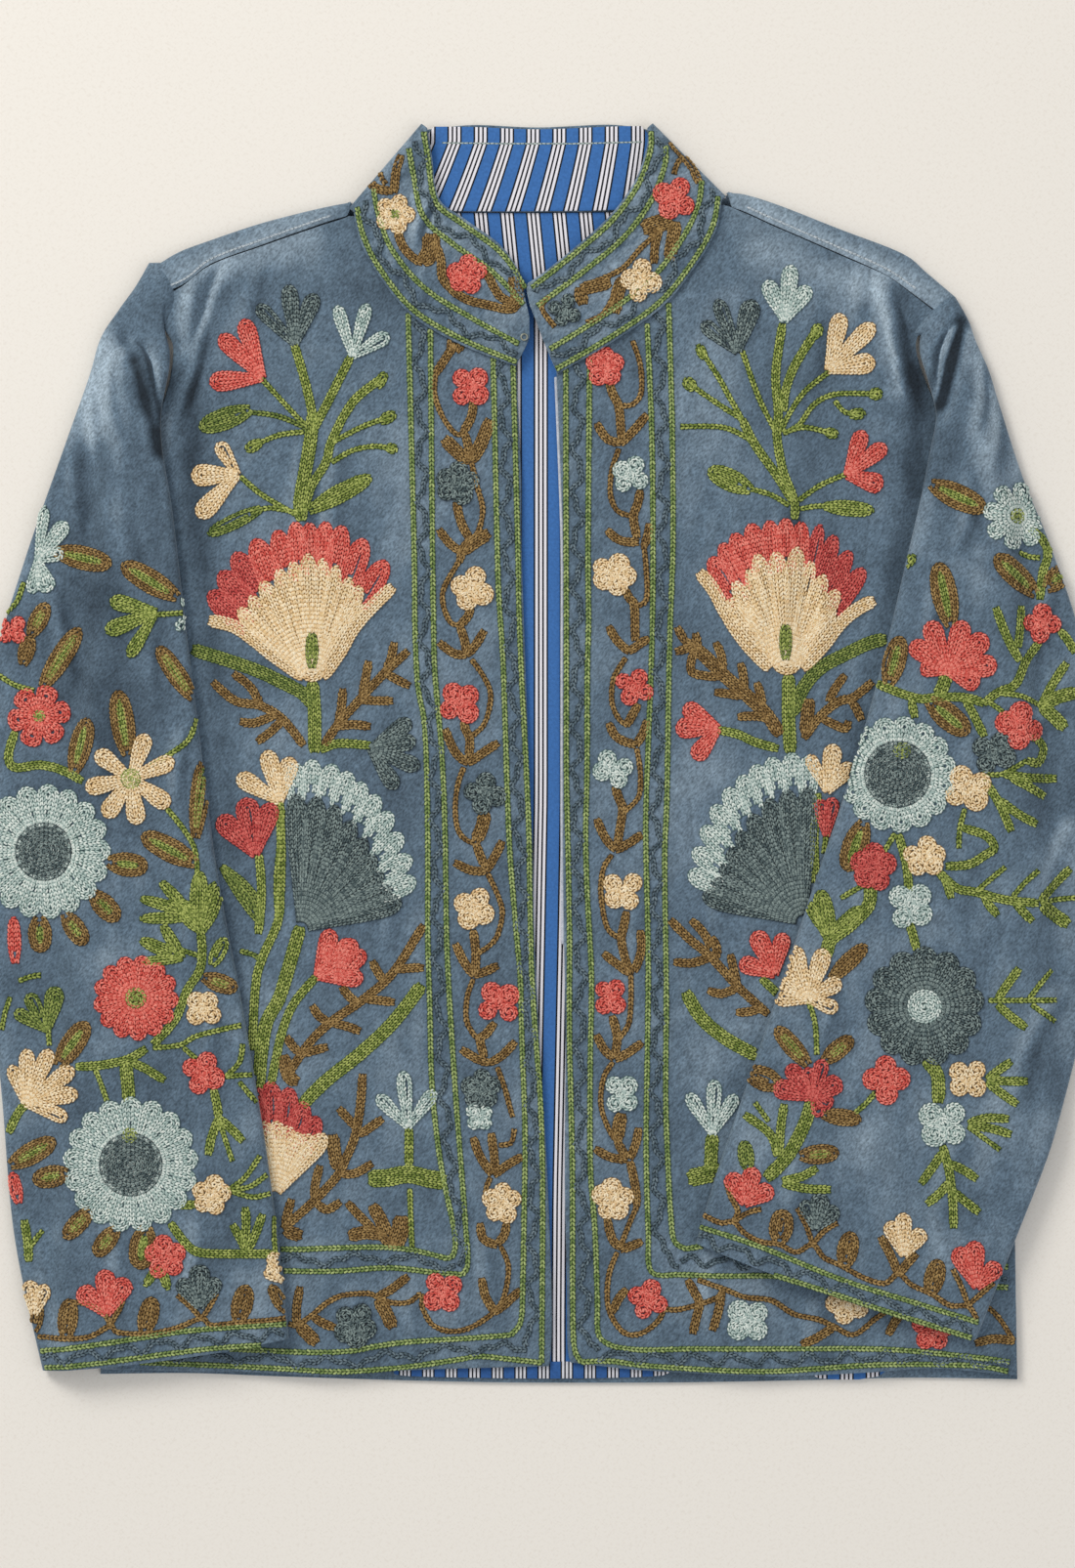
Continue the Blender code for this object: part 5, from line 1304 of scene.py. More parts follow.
# Embroidery of the collar: border lines as shares of its height, its vine and its flowers.
COLLAR_LINES = ((0.05, 0.27), (0.75, 0.95))
COLLAR_STEMS = (
    Stem("bark_brown", 2, ((-92, 714), (-95, 704), (-96, 692))),
    Stem("bark_brown", 2, ((-111, 700), (-106, 694.5), (-97, 693))),
    Stem("bark_brown", 1, ((-100, 711), (-104, 704), (-101, 697))),
    Stem("bark_brown", 2, ((-94, 671), (-92, 663), (-86.5, 655.5), (-79.5, 651))),
    Stem("bark_brown", 4, ((-79.5, 651), (-75, 658), (-74.5, 668))),
    Stem("bark_brown", 2, ((-73, 664), (-69, 654), (-68, 643), (-63.5, 636))),
    Stem("bark_brown", 2, ((-63.5, 636), (-53, 629.5), (-40.5, 626.5), (-29, 623.5))),
    Stem("bark_brown", 3, ((-30, 624), (-26, 627), (-24.5, 634), (-27, 643))),
    Stem("bark_brown", 2, ((-27, 628), (-34.5, 632), (-40.5, 642), (-42, 646))),
    Stem("bark_brown", 2, ((65, 722), (72.5, 713.5), (78, 706), (81.5, 698))),
    Stem("bark_brown", 1, ((72.5, 713.5), (69, 709), (67, 703))),
    Stem("bark_brown", 4, ((66, 676), (58, 674), (49, 671))),
    Stem("bark_brown", 1, ((60, 671), (48, 660), (37, 648), (25, 642), (17, 639))),
    Stem("bark_brown", 2, ((59, 672), (56, 661), (55.5, 651))),
    Stem("bark_brown", 3, ((68, 675), (66, 663), (64.5, 653))),
    Stem("bark_brown", 3, ((37, 642), (34, 632), (32.5, 622))),
    Stem("bark_brown", 1, ((34, 636), (26, 622), (16, 616.5))),
    Stem("bark_brown", 3, ((30, 640), (22, 638), (13, 636))),
    Stem("bark_brown", 3, ((12, 637), (13, 632), (14, 627))),
    Stem("bark_brown", 1, ((-5.5, 632), (-10, 625), (-2.5, 614))),
)
COLLAR_FLOWERS = (
    Rosette("cream", "leaf_green", -95.5, 679.5, 12, 3, 5, 20),
    Rosette("coral", None, -54, 644.5, 11.5, 0, 5, 0),
    Rosette("coral", None, 67, 689, 12.5, 0, 4, 30), Rosette("cream", None, 48, 641, 12, 0, 4, 10),
    Rosette("teal", None, 3.6, 623.5, 9.5, 0, 4, 20),
)
COLLAR_TOPSTITCH = ((-68.0, 722.0), (-30.0, 721.5), (10.0, 721.5), (48.0, 722.5))
SHOULDER_TOPSTITCH = (
    ((-133.5, 679.0), (-151.5, 672.7), (-175.6, 664.2), (-202.3, 654.2), (-216.2, 643.5), (-226.3, 638.5)),
    ((109.8, 684.1), (128.0, 675.9), (159.2, 662.3), (190.5, 648.3), (208.0, 636.6)),
)

# The big fan flowers: place, then wool, heading, length and width of each tip, the same of each pale
# petal without its wool, the strips at the sides, and where the seed lies.
RIGHT_FAN = Fan(
    -144, 407,
    (
        ("crimson", -49, 80, 15), ("crimson", -40, 84, 15), ("crimson", -31, 88, 15), ("coral", -22, 90, 15),
        ("coral", -13, 91, 13), ("coral", -6, 94, 12), ("coral", -1, 93, 12), ("coral", 5, 94, 12),
        ("coral", 11, 93, 13), ("coral", 20, 89, 14), ("coral", 31.5, 83, 14),
    ),
    (
        (-45, 61, 10), (-36, 62, 10), (-26.5, 66, 11), (-16.5, 69, 10.5), (-9, 71.5, 10), (-2, 75, 11),
        (5, 72.5, 10), (12, 69.5, 9.5), (20, 65, 10), (27, 63, 10),
    ),
    (
        (3, ((-5, 3), (-22, 15), (-37, 27), (-47, 33), (-60, 36))),
        (3, ((-2, 7), (-18, 20), (-32, 32), (-42, 40))),
        (3, ((6, 3), (16, 17), (24, 31), (35, 44), (47, 55.5))),
        (3, ((2, 8), (12, 24), (20, 36), (29, 46))),
    ),
    (0.0, 8.0),
)
LEFT_FAN = Fan(
    133, 411,
    (
        ("coral", -33, 82, 14), ("coral", -26.5, 86, 12), ("coral", -20.5, 88.5, 13),
        ("coral", -13.5, 91, 13),
        ("coral", -6.5, 91, 12), ("coral", -0.5, 91.5, 12), ("coral", 5.5, 90, 12),
        ("crimson", 12.5, 90, 8.5),
        ("crimson", 19, 86.5, 10.5), ("crimson", 27, 81.5, 11), ("crimson", 36, 77, 11.5),
    ),
    (
        (-37, 56, 11), (-29.5, 63, 10), (-20, 66, 9.5), (-14, 73, 10.5), (-5, 72.5, 12), (4.5, 75, 12),
        (12.5, 68.5, 8.5), (20.5, 62.5, 10), (31, 58, 10.5),
    ),
    (
        (3, ((-10, 4), (-25, 20), (-36, 37), (-43, 50), (-51, 60))),
        (4, ((-3, 6), (-15, 24), (-25, 40))),
        (3, ((9, 4), (21, 17), (32, 31), (42, 39), (51, 43.5))),
        (4, ((3, 7), (16, 24), (26, 38))),
    ),
    (-1.0, 9.0),
)

# The fan flower that a sleeve half hides, and the halved fans: place, and heading and length of each part.
TUCKED_FAN = (-166, 107)
RIGHT_HALF_FAN = (-150.5, 263)
LEFT_HALF_FAN = (142.5, 267)
TUCKED_TIPS = ((-22, 68), (-12, 68), (-2, 67), (8, 64), (18, 58), (29, 53))
TUCKED_PETALS = ((-28, 40), (-18, 42), (-8, 44), (2, 44), (12, 42), (22, 40), (31, 42), (40, 47))
HALF_FAN_PETALS = ((-2, 79), (7, 78), (16, 75), (26, 70), (36, 65), (46, 61), (56, 58), (66, 58), (75, 61))
HALF_FAN_TIPS = (
    (-2, 97), (4, 99), (11, 98), (17, 96), (23, 93), (30, 90), (38, 86), (47, 81), (57, 77), (67, 73),
)

# Painted highlight and shade of the velvet, from its slope towards the main light: the plain value, how
# strongly it follows the slope, its range, and the step that finds the slope.
SHADING_PLAIN = 0.2
SHADING_GAIN = 0.9
SHADING_RANGE = (-0.1, 0.62)
SHADING_STEP = 1.6

# Patches of painted highlight and painted shade on the velvet. The height is the change of the painted light.
FRONT_PAINTED_PATCHES = (
    Fold(-215, 648, -140, 668, 12, 0.26),
    Fold(-219, 602, -211, 500, 9, -0.32),
    Fold(-211, 500, -198, 400, 8, -0.24),
    Fold(-198, 400, -188, 280, 7, -0.14),
    Fold(212, 602, 206, 520, 8, -0.30),
    Fold(206, 520, 188, 430, 7, -0.22),
    Fold(188, 430, 160, 330, 7, -0.12),
    Fold(-208, 640, -216, 590, 6, 0.25),
    Fold(-196, 640, -204, 600, 4, -0.12),
    Fold(-186, 636, -196, 590, 5, 0.14),
    Fold(-110, 640, -100, 560, 16, -0.08),
    Fold(-92, 560, -66, 380, 17, 0.06),
    Fold(-130, 470, -124, 455, 12, 0.08),
    Fold(-120, 340, -104, 300, 12, -0.10),
    Fold(-100, 210, -96, 120, 14, 0.08),
    Fold(-47, 560, -38, 60, 13, 0.04),
    Fold(-120, 60, -90, 40, 16, 0.10),
    Fold(110, 662, 200, 628, 10, 0.20),
    Fold(191, 632, 203, 566, 7, 0.16),
    Fold(198, 640, 207, 575, 6, -0.25),
    Fold(180, 626, 190, 566, 5, -0.12),
    Fold(160, 630, 164, 590, 6, 0.14),
    Fold(100, 640, 88, 560, 14, 0.08),
    Fold(120, 500, 128, 450, 6, 0.12),
    Fold(136, 500, 136, 450, 4, -0.12),
    Fold(96, 360, 84, 300, 14, 0.06),
    Fold(84, 200, 90, 120, 14, 0.08),
    Fold(120, 60, 80, 50, 14, 0.08),
)
SLEEVE_PAINTED_PATCHES = (
    Fold(-262, 612, -272, 545, 10, 0.40),
    Fold(-252, 606, -245.7, 592, 3.8, -0.55),
    Fold(-245.7, 592, -238, 562, 3.8, -0.6),
    Fold(-238, 562, -232, 537, 3.8, -0.5),
    Fold(-272, 560, -268, 300, 45, -0.18),
    Fold(235, 618, 226, 585, 4.5, -0.45),
    Fold(226, 585, 222, 566, 4, -0.35),
    Fold(-246, 596, -238, 560, 4, -0.14),
    Fold(-252, 570, -262, 500, 6, 0.10),
    Fold(-292, 520, -316, 460, 9, 0.12),
    Fold(-250, 470, -236, 430, 10, 0.10),
    Fold(-330, 400, -336, 250, 10, 0.10),
    Fold(-268, 250, -262, 236, 10, 0.10),
    Fold(-230, 150, -214, 40, 16, 0.05),
    Fold(-184, 66, -172, 14, 12, 0.12),
    Fold(-305, 60, -290, 16, 10, 0.12),
    Fold(240, 610, 256, 545, 9, 0.20),
    Fold(226, 596, 220, 560, 4, -0.14),
    Fold(240, 560, 262, 490, 8, 0.20),
    Fold(268, 560, 290, 470, 7, 0.14),
    Fold(215, 520, 206, 480, 6, 0.18),
    Fold(250, 470, 236, 440, 12, 0.12),
    Fold(300, 330, 296, 250, 12, 0.12),
    Fold(270, 250, 240, 190, 14, 0.10),
    Fold(262, 180, 240, 110, 12, 0.22),
    Fold(172, 150, 208, 90, 15, 0.18),
    Fold(284, 158, 266, 104, 8, 0.16),
    Fold(120, 170, 106, 110, 10, 0.16),
    Fold(228, 90, 214, 66, 14, 0.14),
)
COLLAR_PAINTED_PATCHES = (
    Fold(-20, 615, -105, 690, 26, 0.16),
    Fold(0, 610, 85, 700, 26, 0.16),
)
BACK_PAINTED_PATCHES = (
    Fold(-228, 642, -130, 684, 8, 0.28),
    Fold(106, 688, 226, 628, 8, 0.34),
)


def clamp(values):
    """Values held between 0 and 1."""
    return np.clip(values, 0.0, 1.0)


def ease(share):
    """0 to 1 with a soft start and end, held outside that range."""
    held = clamp(share)
    return held * held * (3 - 2 * held)


def smooth(rows, steps):
    """Rows on smooth curves through the given rows, with this many steps from one to the next."""
    found = []
    last = len(rows) - 1
    for index in range(last):
        before = rows[max(index - 1, 0)]
        start = rows[index]
        end = rows[index + 1]
        after = rows[min(index + 2, last)]
        for step in range(steps):
            t = step / steps
            found.append(tuple(
                0.5 * (
                    2 * b + (c - a) * t + (2 * a - 5 * b + 4 * c - d) * t ** 2
                    + (3 * b - a - 3 * c + d) * t ** 3
                )
                for a, b, c, d in zip(before, start, end, after)
            ))
    found.append(tuple(rows[-1]))
    return found


def lengths_along(points):
    """The length of a run of points up to each of them."""
    lengths = [0.0]
    for start, end in zip(points, points[1:]):
        lengths.append(lengths[-1] + math.dist(start, end))
    return lengths


def spread(points, shares):
    """Points at these shares of the length of a smooth curve through the given ones."""
    dense = smooth(points, CURVE_STEPS)
    lengths = lengths_along(dense)
    found = []
    for share in shares:
        target = share * lengths[-1]
        index = min(max(bisect.bisect_right(lengths, target), 1), len(dense) - 1)
        part = (target - lengths[index - 1]) / (lengths[index] - lengths[index - 1])
        found.append(tuple(a + (b - a) * part for a, b in zip(dense[index - 1], dense[index])))
    return found


def even_shares(count):
    """Shares from 0 to 1 in this many equal steps."""
    return [index / count for index in range(count + 1)]


def row_shares(below, above):
    """Shares of a panel's length, with this many rows below the armhole and beside it."""
    lower = [ARMHOLE_SHARE * index / below for index in range(below)]
    return lower + [ARMHOLE_SHARE + (1 - ARMHOLE_SHARE) * index / above for index in range(above + 1)]


def patch(low, high, near, far, columns, rows):
    """Plan points that fill four boundary curves, as an array of rows, columns and x and y."""
    low, high, near, far = (np.array(curve, float) for curve in (low, high, near, far))
    u = np.array(columns)[None, :, None]
    v = np.array(rows)[:, None, None]
    filled = (1 - v) * low[None] + v * high[None] + (1 - u) * near[:, None] + u * far[:, None]
    corners = (1 - u) * (1 - v) * low[0] + u * (1 - v) * low[-1] + (1 - u) * v * high[0] + u * v * high[-1]
    return filled - corners


def fold_lift(folds, x, y):
    """How far the main folds raise or sink the cloth, or painted patches lighten or darken the velvet, at
    these places.
    """
    lift = np.zeros_like(x)
    for fold in folds:
        along_x = fold.end_x - fold.start_x
        along_y = fold.end_y - fold.start_y
        length = math.hypot(along_x, along_y)
        share = ((x - fold.start_x) * along_x + (y - fold.start_y) * along_y) / length ** 2
        aside = np.abs((x - fold.start_x) * along_y - (y - fold.start_y) * along_x) / length
        fade = ease((share + FOLD_FADE) / (2 * FOLD_FADE)) * ease((1 + FOLD_FADE - share) / (2 * FOLD_FADE))
        lift += fold.height * fade * np.exp(-(aside / fold.width) ** 2)
    return lift


def crease_lift(creases, x, y):
    """How far the creases raise or sink the cloth: each is a bent run, softer on one side than the other."""
    lift = np.zeros_like(x)
    for crease in creases:
        reach = CREASE_REACH * max(crease.left_width, crease.right_width)
        low_x = min(crease.start_x, crease.bend_x, crease.end_x) - reach
        high_x = max(crease.start_x, crease.bend_x, crease.end_x) + reach
        low_y = min(crease.start_y, crease.bend_y, crease.end_y) - reach
        high_y = max(crease.start_y, crease.bend_y, crease.end_y) + reach
        near = (x > low_x) & (x < high_x) & (y > low_y) & (y < high_y)
        if not near.any():
            continue
        bends = (crease.start_x, crease.start_y), (crease.bend_x, crease.bend_y), (crease.end_x, crease.end_y)
        run = smooth(bends, CREASE_STEPS)
        lift[near] += crease.height * crease_profile(run, crease, x[near], y[near])
    return lift


def crease_profile(run, crease, x, y):
    """How strongly one crease is felt at these places, from 0 to 1 along its ridge."""
    nearest = np.full(x.shape, FAR_AWAY)
    aside = np.zeros_like(x)
    place = np.zeros_like(x)
    pieces = len(run) - 1
    for index, (start, end) in enumerate(zip(run, run[1:])):
        along_x = end[0] - start[0]
        along_y = end[1] - start[1]
        length = math.hypot(along_x, along_y)
        share = clamp(((x - start[0]) * along_x + (y - start[1]) * along_y) / length ** 2)
        off_x = x - start[0] - share * along_x
        off_y = y - start[1] - share * along_y
        distance = np.hypot(off_x, off_y)
        closer = distance < nearest
        side = np.sign(along_x * off_y - along_y * off_x)
        nearest = np.where(closer, distance, nearest)
        aside = np.where(closer, side, aside)
        place = np.where(closer, (index + share) / pieces, place)
    width = np.where(aside > 0, crease.left_width, crease.right_width)
    fade = ease((place + CREASE_OVERRUN) / CREASE_START_FADE)
    fade = fade * ease((1 + CREASE_OVERRUN - place) / CREASE_END_FADE)
    return fade * np.exp(-(nearest / width) ** 2)


def ripple(x, y, seed, size, height):
    """A faint unevenness of the cloth: plane waves of about this size, in many directions."""
    draw = random.Random(seed)
    total = np.zeros_like(x)
    for _ in range(RIPPLE_WAVES):
        turn = draw.uniform(0, math.pi)
        wave = size * draw.uniform(*RIPPLE_SIZES)
        phase = draw.uniform(0, 2 * math.pi)
        total += np.sin((x * math.cos(turn) + y * math.sin(turn)) * 2 * math.pi / wave + phase)
    return total * height / math.sqrt(RIPPLE_WAVES)


def uneven(lift, x, y, ripples):
    """A lift with these sets of waves added."""
    for seed, size, height in ripples:
        lift = lift + ripple(x, y, seed, size, height)
    return lift


def side_at(side, y):
    """The x of a side seam and armhole at these heights."""
    return np.interp(y, [point[1] for point in side], [point[0] for point in side])


def towards_middle(side):
    """Which way along X the middle of the jacket lies from a side seam."""
    return 1 if side is RIGHT_SIDE else -1


def inward_from(side, x, y):
    """How far places lie from a side seam and armhole, towards the middle."""
    return (x - side_at(side, y)) * towards_middle(side)


def front_level(side, x, y):
    """Height of the middle of a front's wall, with its main folds."""
    inward = inward_from(side, x, y)
    armhole = ease((y - ARMHOLE_STARTS) / ARMHOLE_LENGTH)
    at_side = FRONT_SIDE_LEVEL + (FRONT_LEVEL - FRONT_SIDE_LEVEL) * armhole
    level = at_side + (FRONT_LEVEL - at_side) * ease(inward / SIDE_ROLL)
    level = level + SHOULDER_RISE * ease((y - SHOULDER_STARTS) / (SHOULDER_ENDS - SHOULDER_STARTS))
    return level + fold_lift(FRONT_FOLDS, x, y) * ease(inward / SIDE_ROLL)


def front_surface(side, x, y):
    """The same with creases and a faint unevenness, which die away at the armhole and side."""
    inward = inward_from(side, x, y)
    fine = uneven(crease_lift(FRONT_CREASES, x, y), x, y, FRONT_RIPPLES)
    return front_level(side, x, y) + FRONT_FULLNESS + fine * ease((inward - CREASES_START) / SIDE_ROLL)


def sleeve_floor(side, x, y):
    """Height of the surface that a sleeve lies on: the table, or the front where it laps over."""
    outward = -inward_from(side, x, y)
    on_front = FRONT_LEVEL + FRONT_WALL / 2 + SLEEVE_CLEARANCE
    folds = np.maximum(fold_lift(FRONT_FOLDS, x, y), 0.0)
    on_front = on_front + FOLD_MARGIN * folds * ease(-outward / SIDE_ROLL)
    climb = ease((CLIMB_STARTS - y) / (CLIMB_STARTS - CLIMB_ENDS))
    return on_front * climb * (1 - ease((outward - SLEEVE_BRIDGE) / SLEEVE_SLOPE)) + SLEEVE_LIFT


def linear(hex_colour):
    """An sRGB hex colour as linear red, green, blue and alpha."""
    channels = [int(hex_colour[start:start + 2], 16) / 255 for start in (1, 3, 5)]
    return tuple(c / 12.92 if c <= 0.04045 else ((c + 0.055) / 1.055) ** 2.4 for c in channels) + (1.0,)


def add_node(tree, kind, settings=None, values=None, links=None, stops=None):
    """A node with its settings, the values and links of its sockets, and the stops of a colour ramp."""
    node = tree.nodes.new(kind)
    for name, value in (settings or {}).items():
        setattr(node, name, value)
    for socket, value in (values or {}).items():
        node.inputs[socket].default_value = value
    for socket, source in (links or {}).items():
        tree.links.new(source, node.inputs[socket])
    if stops:
        while len(node.color_ramp.elements) < len(stops):
            node.color_ramp.elements.new(1.0)
        for element, (place, colour) in zip(node.color_ramp.elements, stops):
            element.position = place
            element.color = linear(colour)
    return node


def new_material(name):
    """A material of nodes with its tree and its surface shader."""
    material = bpy.data.materials.new(name)
    material.use_nodes = True
    return material, material.node_tree, material.node_tree.nodes["Principled BSDF"]


def blotches(size_mm):
    """The scale that gives noise blotches of about this size."""
    return NOISE_BLOTCH / (size_mm * MM)


def cotton_velvet():
    """Cut-pile cotton velvet: matt, with brushed patches, a fine twill, and painted highlight and shade."""
    material, tree, shader = new_material("cotton_velvet")
    place = add_node(tree, "ShaderNodeTexCoord").outputs["Object"]
    brushed = add_node(
        tree, "ShaderNodeMapping", {"vector_type": "TEXTURE"},
        {"Rotation": (0, 0, math.radians(STROKE_SLANT)), "Scale": (1, STROKE_STRETCH, 1)}, {"Vector": place},
    )
    twill = add_node(
        tree, "ShaderNodeMapping", {"vector_type": "TEXTURE"},
        {"Rotation": (0, 0, math.radians(PILE_SLANT)), "Scale": (1, PILE_STRETCH, 1)}, {"Vector": place},
    )
    patches = add_node(
        tree, "ShaderNodeTexNoise", None, {"Scale": blotches(PATCH_SIZE), "Detail": 4}, {"Vector": place},
    )
    strokes = add_node(
        tree, "ShaderNodeTexNoise", None,
        {"Scale": blotches(STROKE_SIZE), "Detail": 3}, {"Vector": brushed.outputs[0]},
    )
    pile = add_node(
        tree, "ShaderNodeTexNoise", None,
        {"Scale": blotches(PILE_SIZE), "Detail": 2}, {"Vector": twill.outputs[0]},
    )
    # This attribute carries painted highlight and painted shade; added to the random patches, it picks the
    # velvet's tone from the ramp.
    nap = add_node(tree, "ShaderNodeAttribute", {"attribute_name": "nap"})
    lean = add_node(
        tree, "ShaderNodeMath", {"operation": "MULTIPLY_ADD"}, {1: PATCH_SHARE},
        {0: patches.outputs["Fac"], 2: nap.outputs["Fac"]},
    )
    base = add_node(tree, "ShaderNodeValToRGB", None, None, {"Fac": lean.outputs[0]}, VELVET_SHADE_TO_HIGHLIGHT)
    stroke_tone = add_node(
        tree, "ShaderNodeValToRGB", None, None, {"Fac": strokes.outputs["Fac"]}, STROKE_TONES
    )
    pile_tone = add_node(tree, "ShaderNodeValToRGB", None, None, {"Fac": pile.outputs["Fac"]}, PILE_TONES)
    brushed_velvet = add_node(
        tree, "ShaderNodeMix", {"data_type": "RGBA", "blend_type": "OVERLAY"}, {0: STROKE_MIX},
        {MIX_BELOW: base.outputs["Color"], MIX_ABOVE: stroke_tone.outputs["Color"]},
    )
    velvet = add_node(
        tree, "ShaderNodeMix", {"data_type": "RGBA", "blend_type": "OVERLAY"}, {0: PILE_MIX},
        {MIX_BELOW: brushed_velvet.outputs[MIXED], MIX_ABOVE: pile_tone.outputs["Color"]},
    )
    tree.links.new(velvet.outputs[MIXED], shader.inputs["Base Color"])
    puckers = add_node(
        tree, "ShaderNodeTexNoise", None, {"Scale": blotches(PUCKER_SIZE), "Detail": 2}, {"Vector": place},
    )
    soft = add_node(
        tree, "ShaderNodeBump", None, {"Strength": 0.2, "Distance": 0.001}, {"Height": puckers.outputs["Fac"]}
    )
    fine = add_node(
        tree, "ShaderNodeBump", None, {"Strength": 0.3, "Distance": 0.0003},
        {"Height": pile.outputs["Fac"], "Normal": soft.outputs["Normal"]},
    )
    tree.links.new(fine.outputs["Normal"], shader.inputs["Normal"])
    shader.inputs["Roughness"].default_value = 0.92
    shader.inputs["Specular IOR Level"].default_value = 0.25
    shader.inputs["Sheen Weight"].default_value = 0.55
    shader.inputs["Sheen Roughness"].default_value = 0.38
    shader.inputs["Sheen Tint"].default_value = linear("#c9d6e2")
    return material


def striped_cotton(name, blue, pale):
    """Plain-woven cotton: groups of three white stripes, each edged by a thin black line, on blue."""
    material, tree, shader = new_material(name)
    uv = add_node(tree, "ShaderNodeUVMap", {"uv_map": "stripes"})
    across = add_node(tree, "ShaderNodeSeparateXYZ", None, None, {"Vector": uv.outputs["UV"]})
    share = add_node(tree, "ShaderNodeMath", {"operation": "FRACT"}, None, {0: across.outputs["X"]})
    stops = [(0.0, blue)]
    place = STRIPE_REPEAT - 3 * (STRIPE_LINE + STRIPE_WHITE) - STRIPE_LINE
    for _ in range(3):
        stops.append((place / STRIPE_REPEAT, STRIPE_BLACK))
        place += STRIPE_LINE
        stops.append((place / STRIPE_REPEAT, pale))
        place += STRIPE_WHITE
    stops.append((place / STRIPE_REPEAT, STRIPE_BLACK))
    stripes = add_node(tree, "ShaderNodeValToRGB", None, None, {"Fac": share.outputs[0]}, stops)
    stripes.color_ramp.interpolation = "CONSTANT"
    place = add_node(tree, "ShaderNodeTexCoord").outputs["Object"]
    weave = add_node(
        tree, "ShaderNodeTexNoise", None, {"Scale": blotches(WEAVE_SIZE), "Detail": 1}, {"Vector": place},
    )
    weave_tone = add_node(tree, "ShaderNodeValToRGB", None, None, {"Fac": weave.outputs["Fac"]}, WEAVE_TONES)
    woven = add_node(
        tree, "ShaderNodeMix", {"data_type": "RGBA", "blend_type": "OVERLAY"}, {0: WEAVE_MIX},
        {MIX_BELOW: stripes.outputs["Color"], MIX_ABOVE: weave_tone.outputs["Color"]},
    )
    tree.links.new(woven.outputs[MIXED], shader.inputs["Base Color"])
    fine = add_node(
        tree, "ShaderNodeBump", None, {"Strength": 0.3, "Distance": 0.0002}, {"Height": weave.outputs["Fac"]}
    )
    tree.links.new(fine.outputs["Normal"], shader.inputs["Normal"])
    shader.inputs["Roughness"].default_value = 0.85
    shader.inputs["Specular IOR Level"].default_value = 0.3
    return material


def plain_linen():
    """The pale surface under the jacket: woven linen, matt, with a faint slanting weave."""
    material, tree, shader = new_material("pale_linen")
    place = add_node(tree, "ShaderNodeTexCoord").outputs["Object"]
    threads = []
    for slant in LINEN_SLANTS:
        slanted = add_node(
            tree, "ShaderNodeMapping", {"vector_type": "TEXTURE"},
            {"Rotation": (0, 0, math.radians(slant)), "Scale": (1, LINEN_STRETCH, 1)}, {"Vector": place},
        )
        threads.append(add_node(
            tree, "ShaderNodeTexNoise", None,
            {"Scale": blotches(LINEN_SIZE), "Detail": 1}, {"Vector": slanted.outputs[0]},
        ))
    woven = add_node(
        tree, "ShaderNodeMath", {"operation": "ADD"}, None,
        {0: threads[0].outputs["Fac"], 1: threads[1].outputs["Fac"]},
    )
    tone = add_node(tree, "ShaderNodeValToRGB", None, None, {"Fac": woven.outputs[0]}, LINEN_TONES)
    tree.links.new(tone.outputs["Color"], shader.inputs["Base Color"])
    shader.inputs["Roughness"].default_value = 0.95
    shader.inputs["Specular IOR Level"].default_value = 0.1
    return material


def stiff_thread():
    """A loop of stiffened clear nylon thread: pale, smooth and a little glassy."""
    material, tree, shader = new_material("stiffened_thread")
    place = add_node(tree, "ShaderNodeTexCoord").outputs["Object"]
    cloudy = add_node(tree, "ShaderNodeTexNoise", None, {"Scale": blotches(CLOUD_SIZE)}, {"Vector": place})
    tone = add_node(tree, "ShaderNodeValToRGB", None, None, {"Fac": cloudy.outputs["Fac"]}, LOOP_TONES)
    tree.links.new(tone.outputs["Color"], shader.inputs["Base Color"])
    shader.inputs["Roughness"].default_value = 0.35
    shader.inputs["Transmission Weight"].default_value = 0.35
    return material


def facing_cotton():
    """Plain white cotton of the front facings: matt, coloured a pale blue-grey, with a faint weave."""
    material, tree, shader = new_material("facing_cotton")
    place = add_node(tree, "ShaderNodeTexCoord").outputs["Object"]
    weave = add_node(
        tree, "ShaderNodeTexNoise", None, {"Scale": blotches(WEAVE_SIZE), "Detail": 1}, {"Vector": place},
    )
    tone = add_node(tree, "ShaderNodeValToRGB", None, None, {"Fac": weave.outputs["Fac"]}, FACING_TONES)
    tree.links.new(tone.outputs["Color"], shader.inputs["Base Color"])
    shader.inputs["Roughness"].default_value = 0.9
    return material


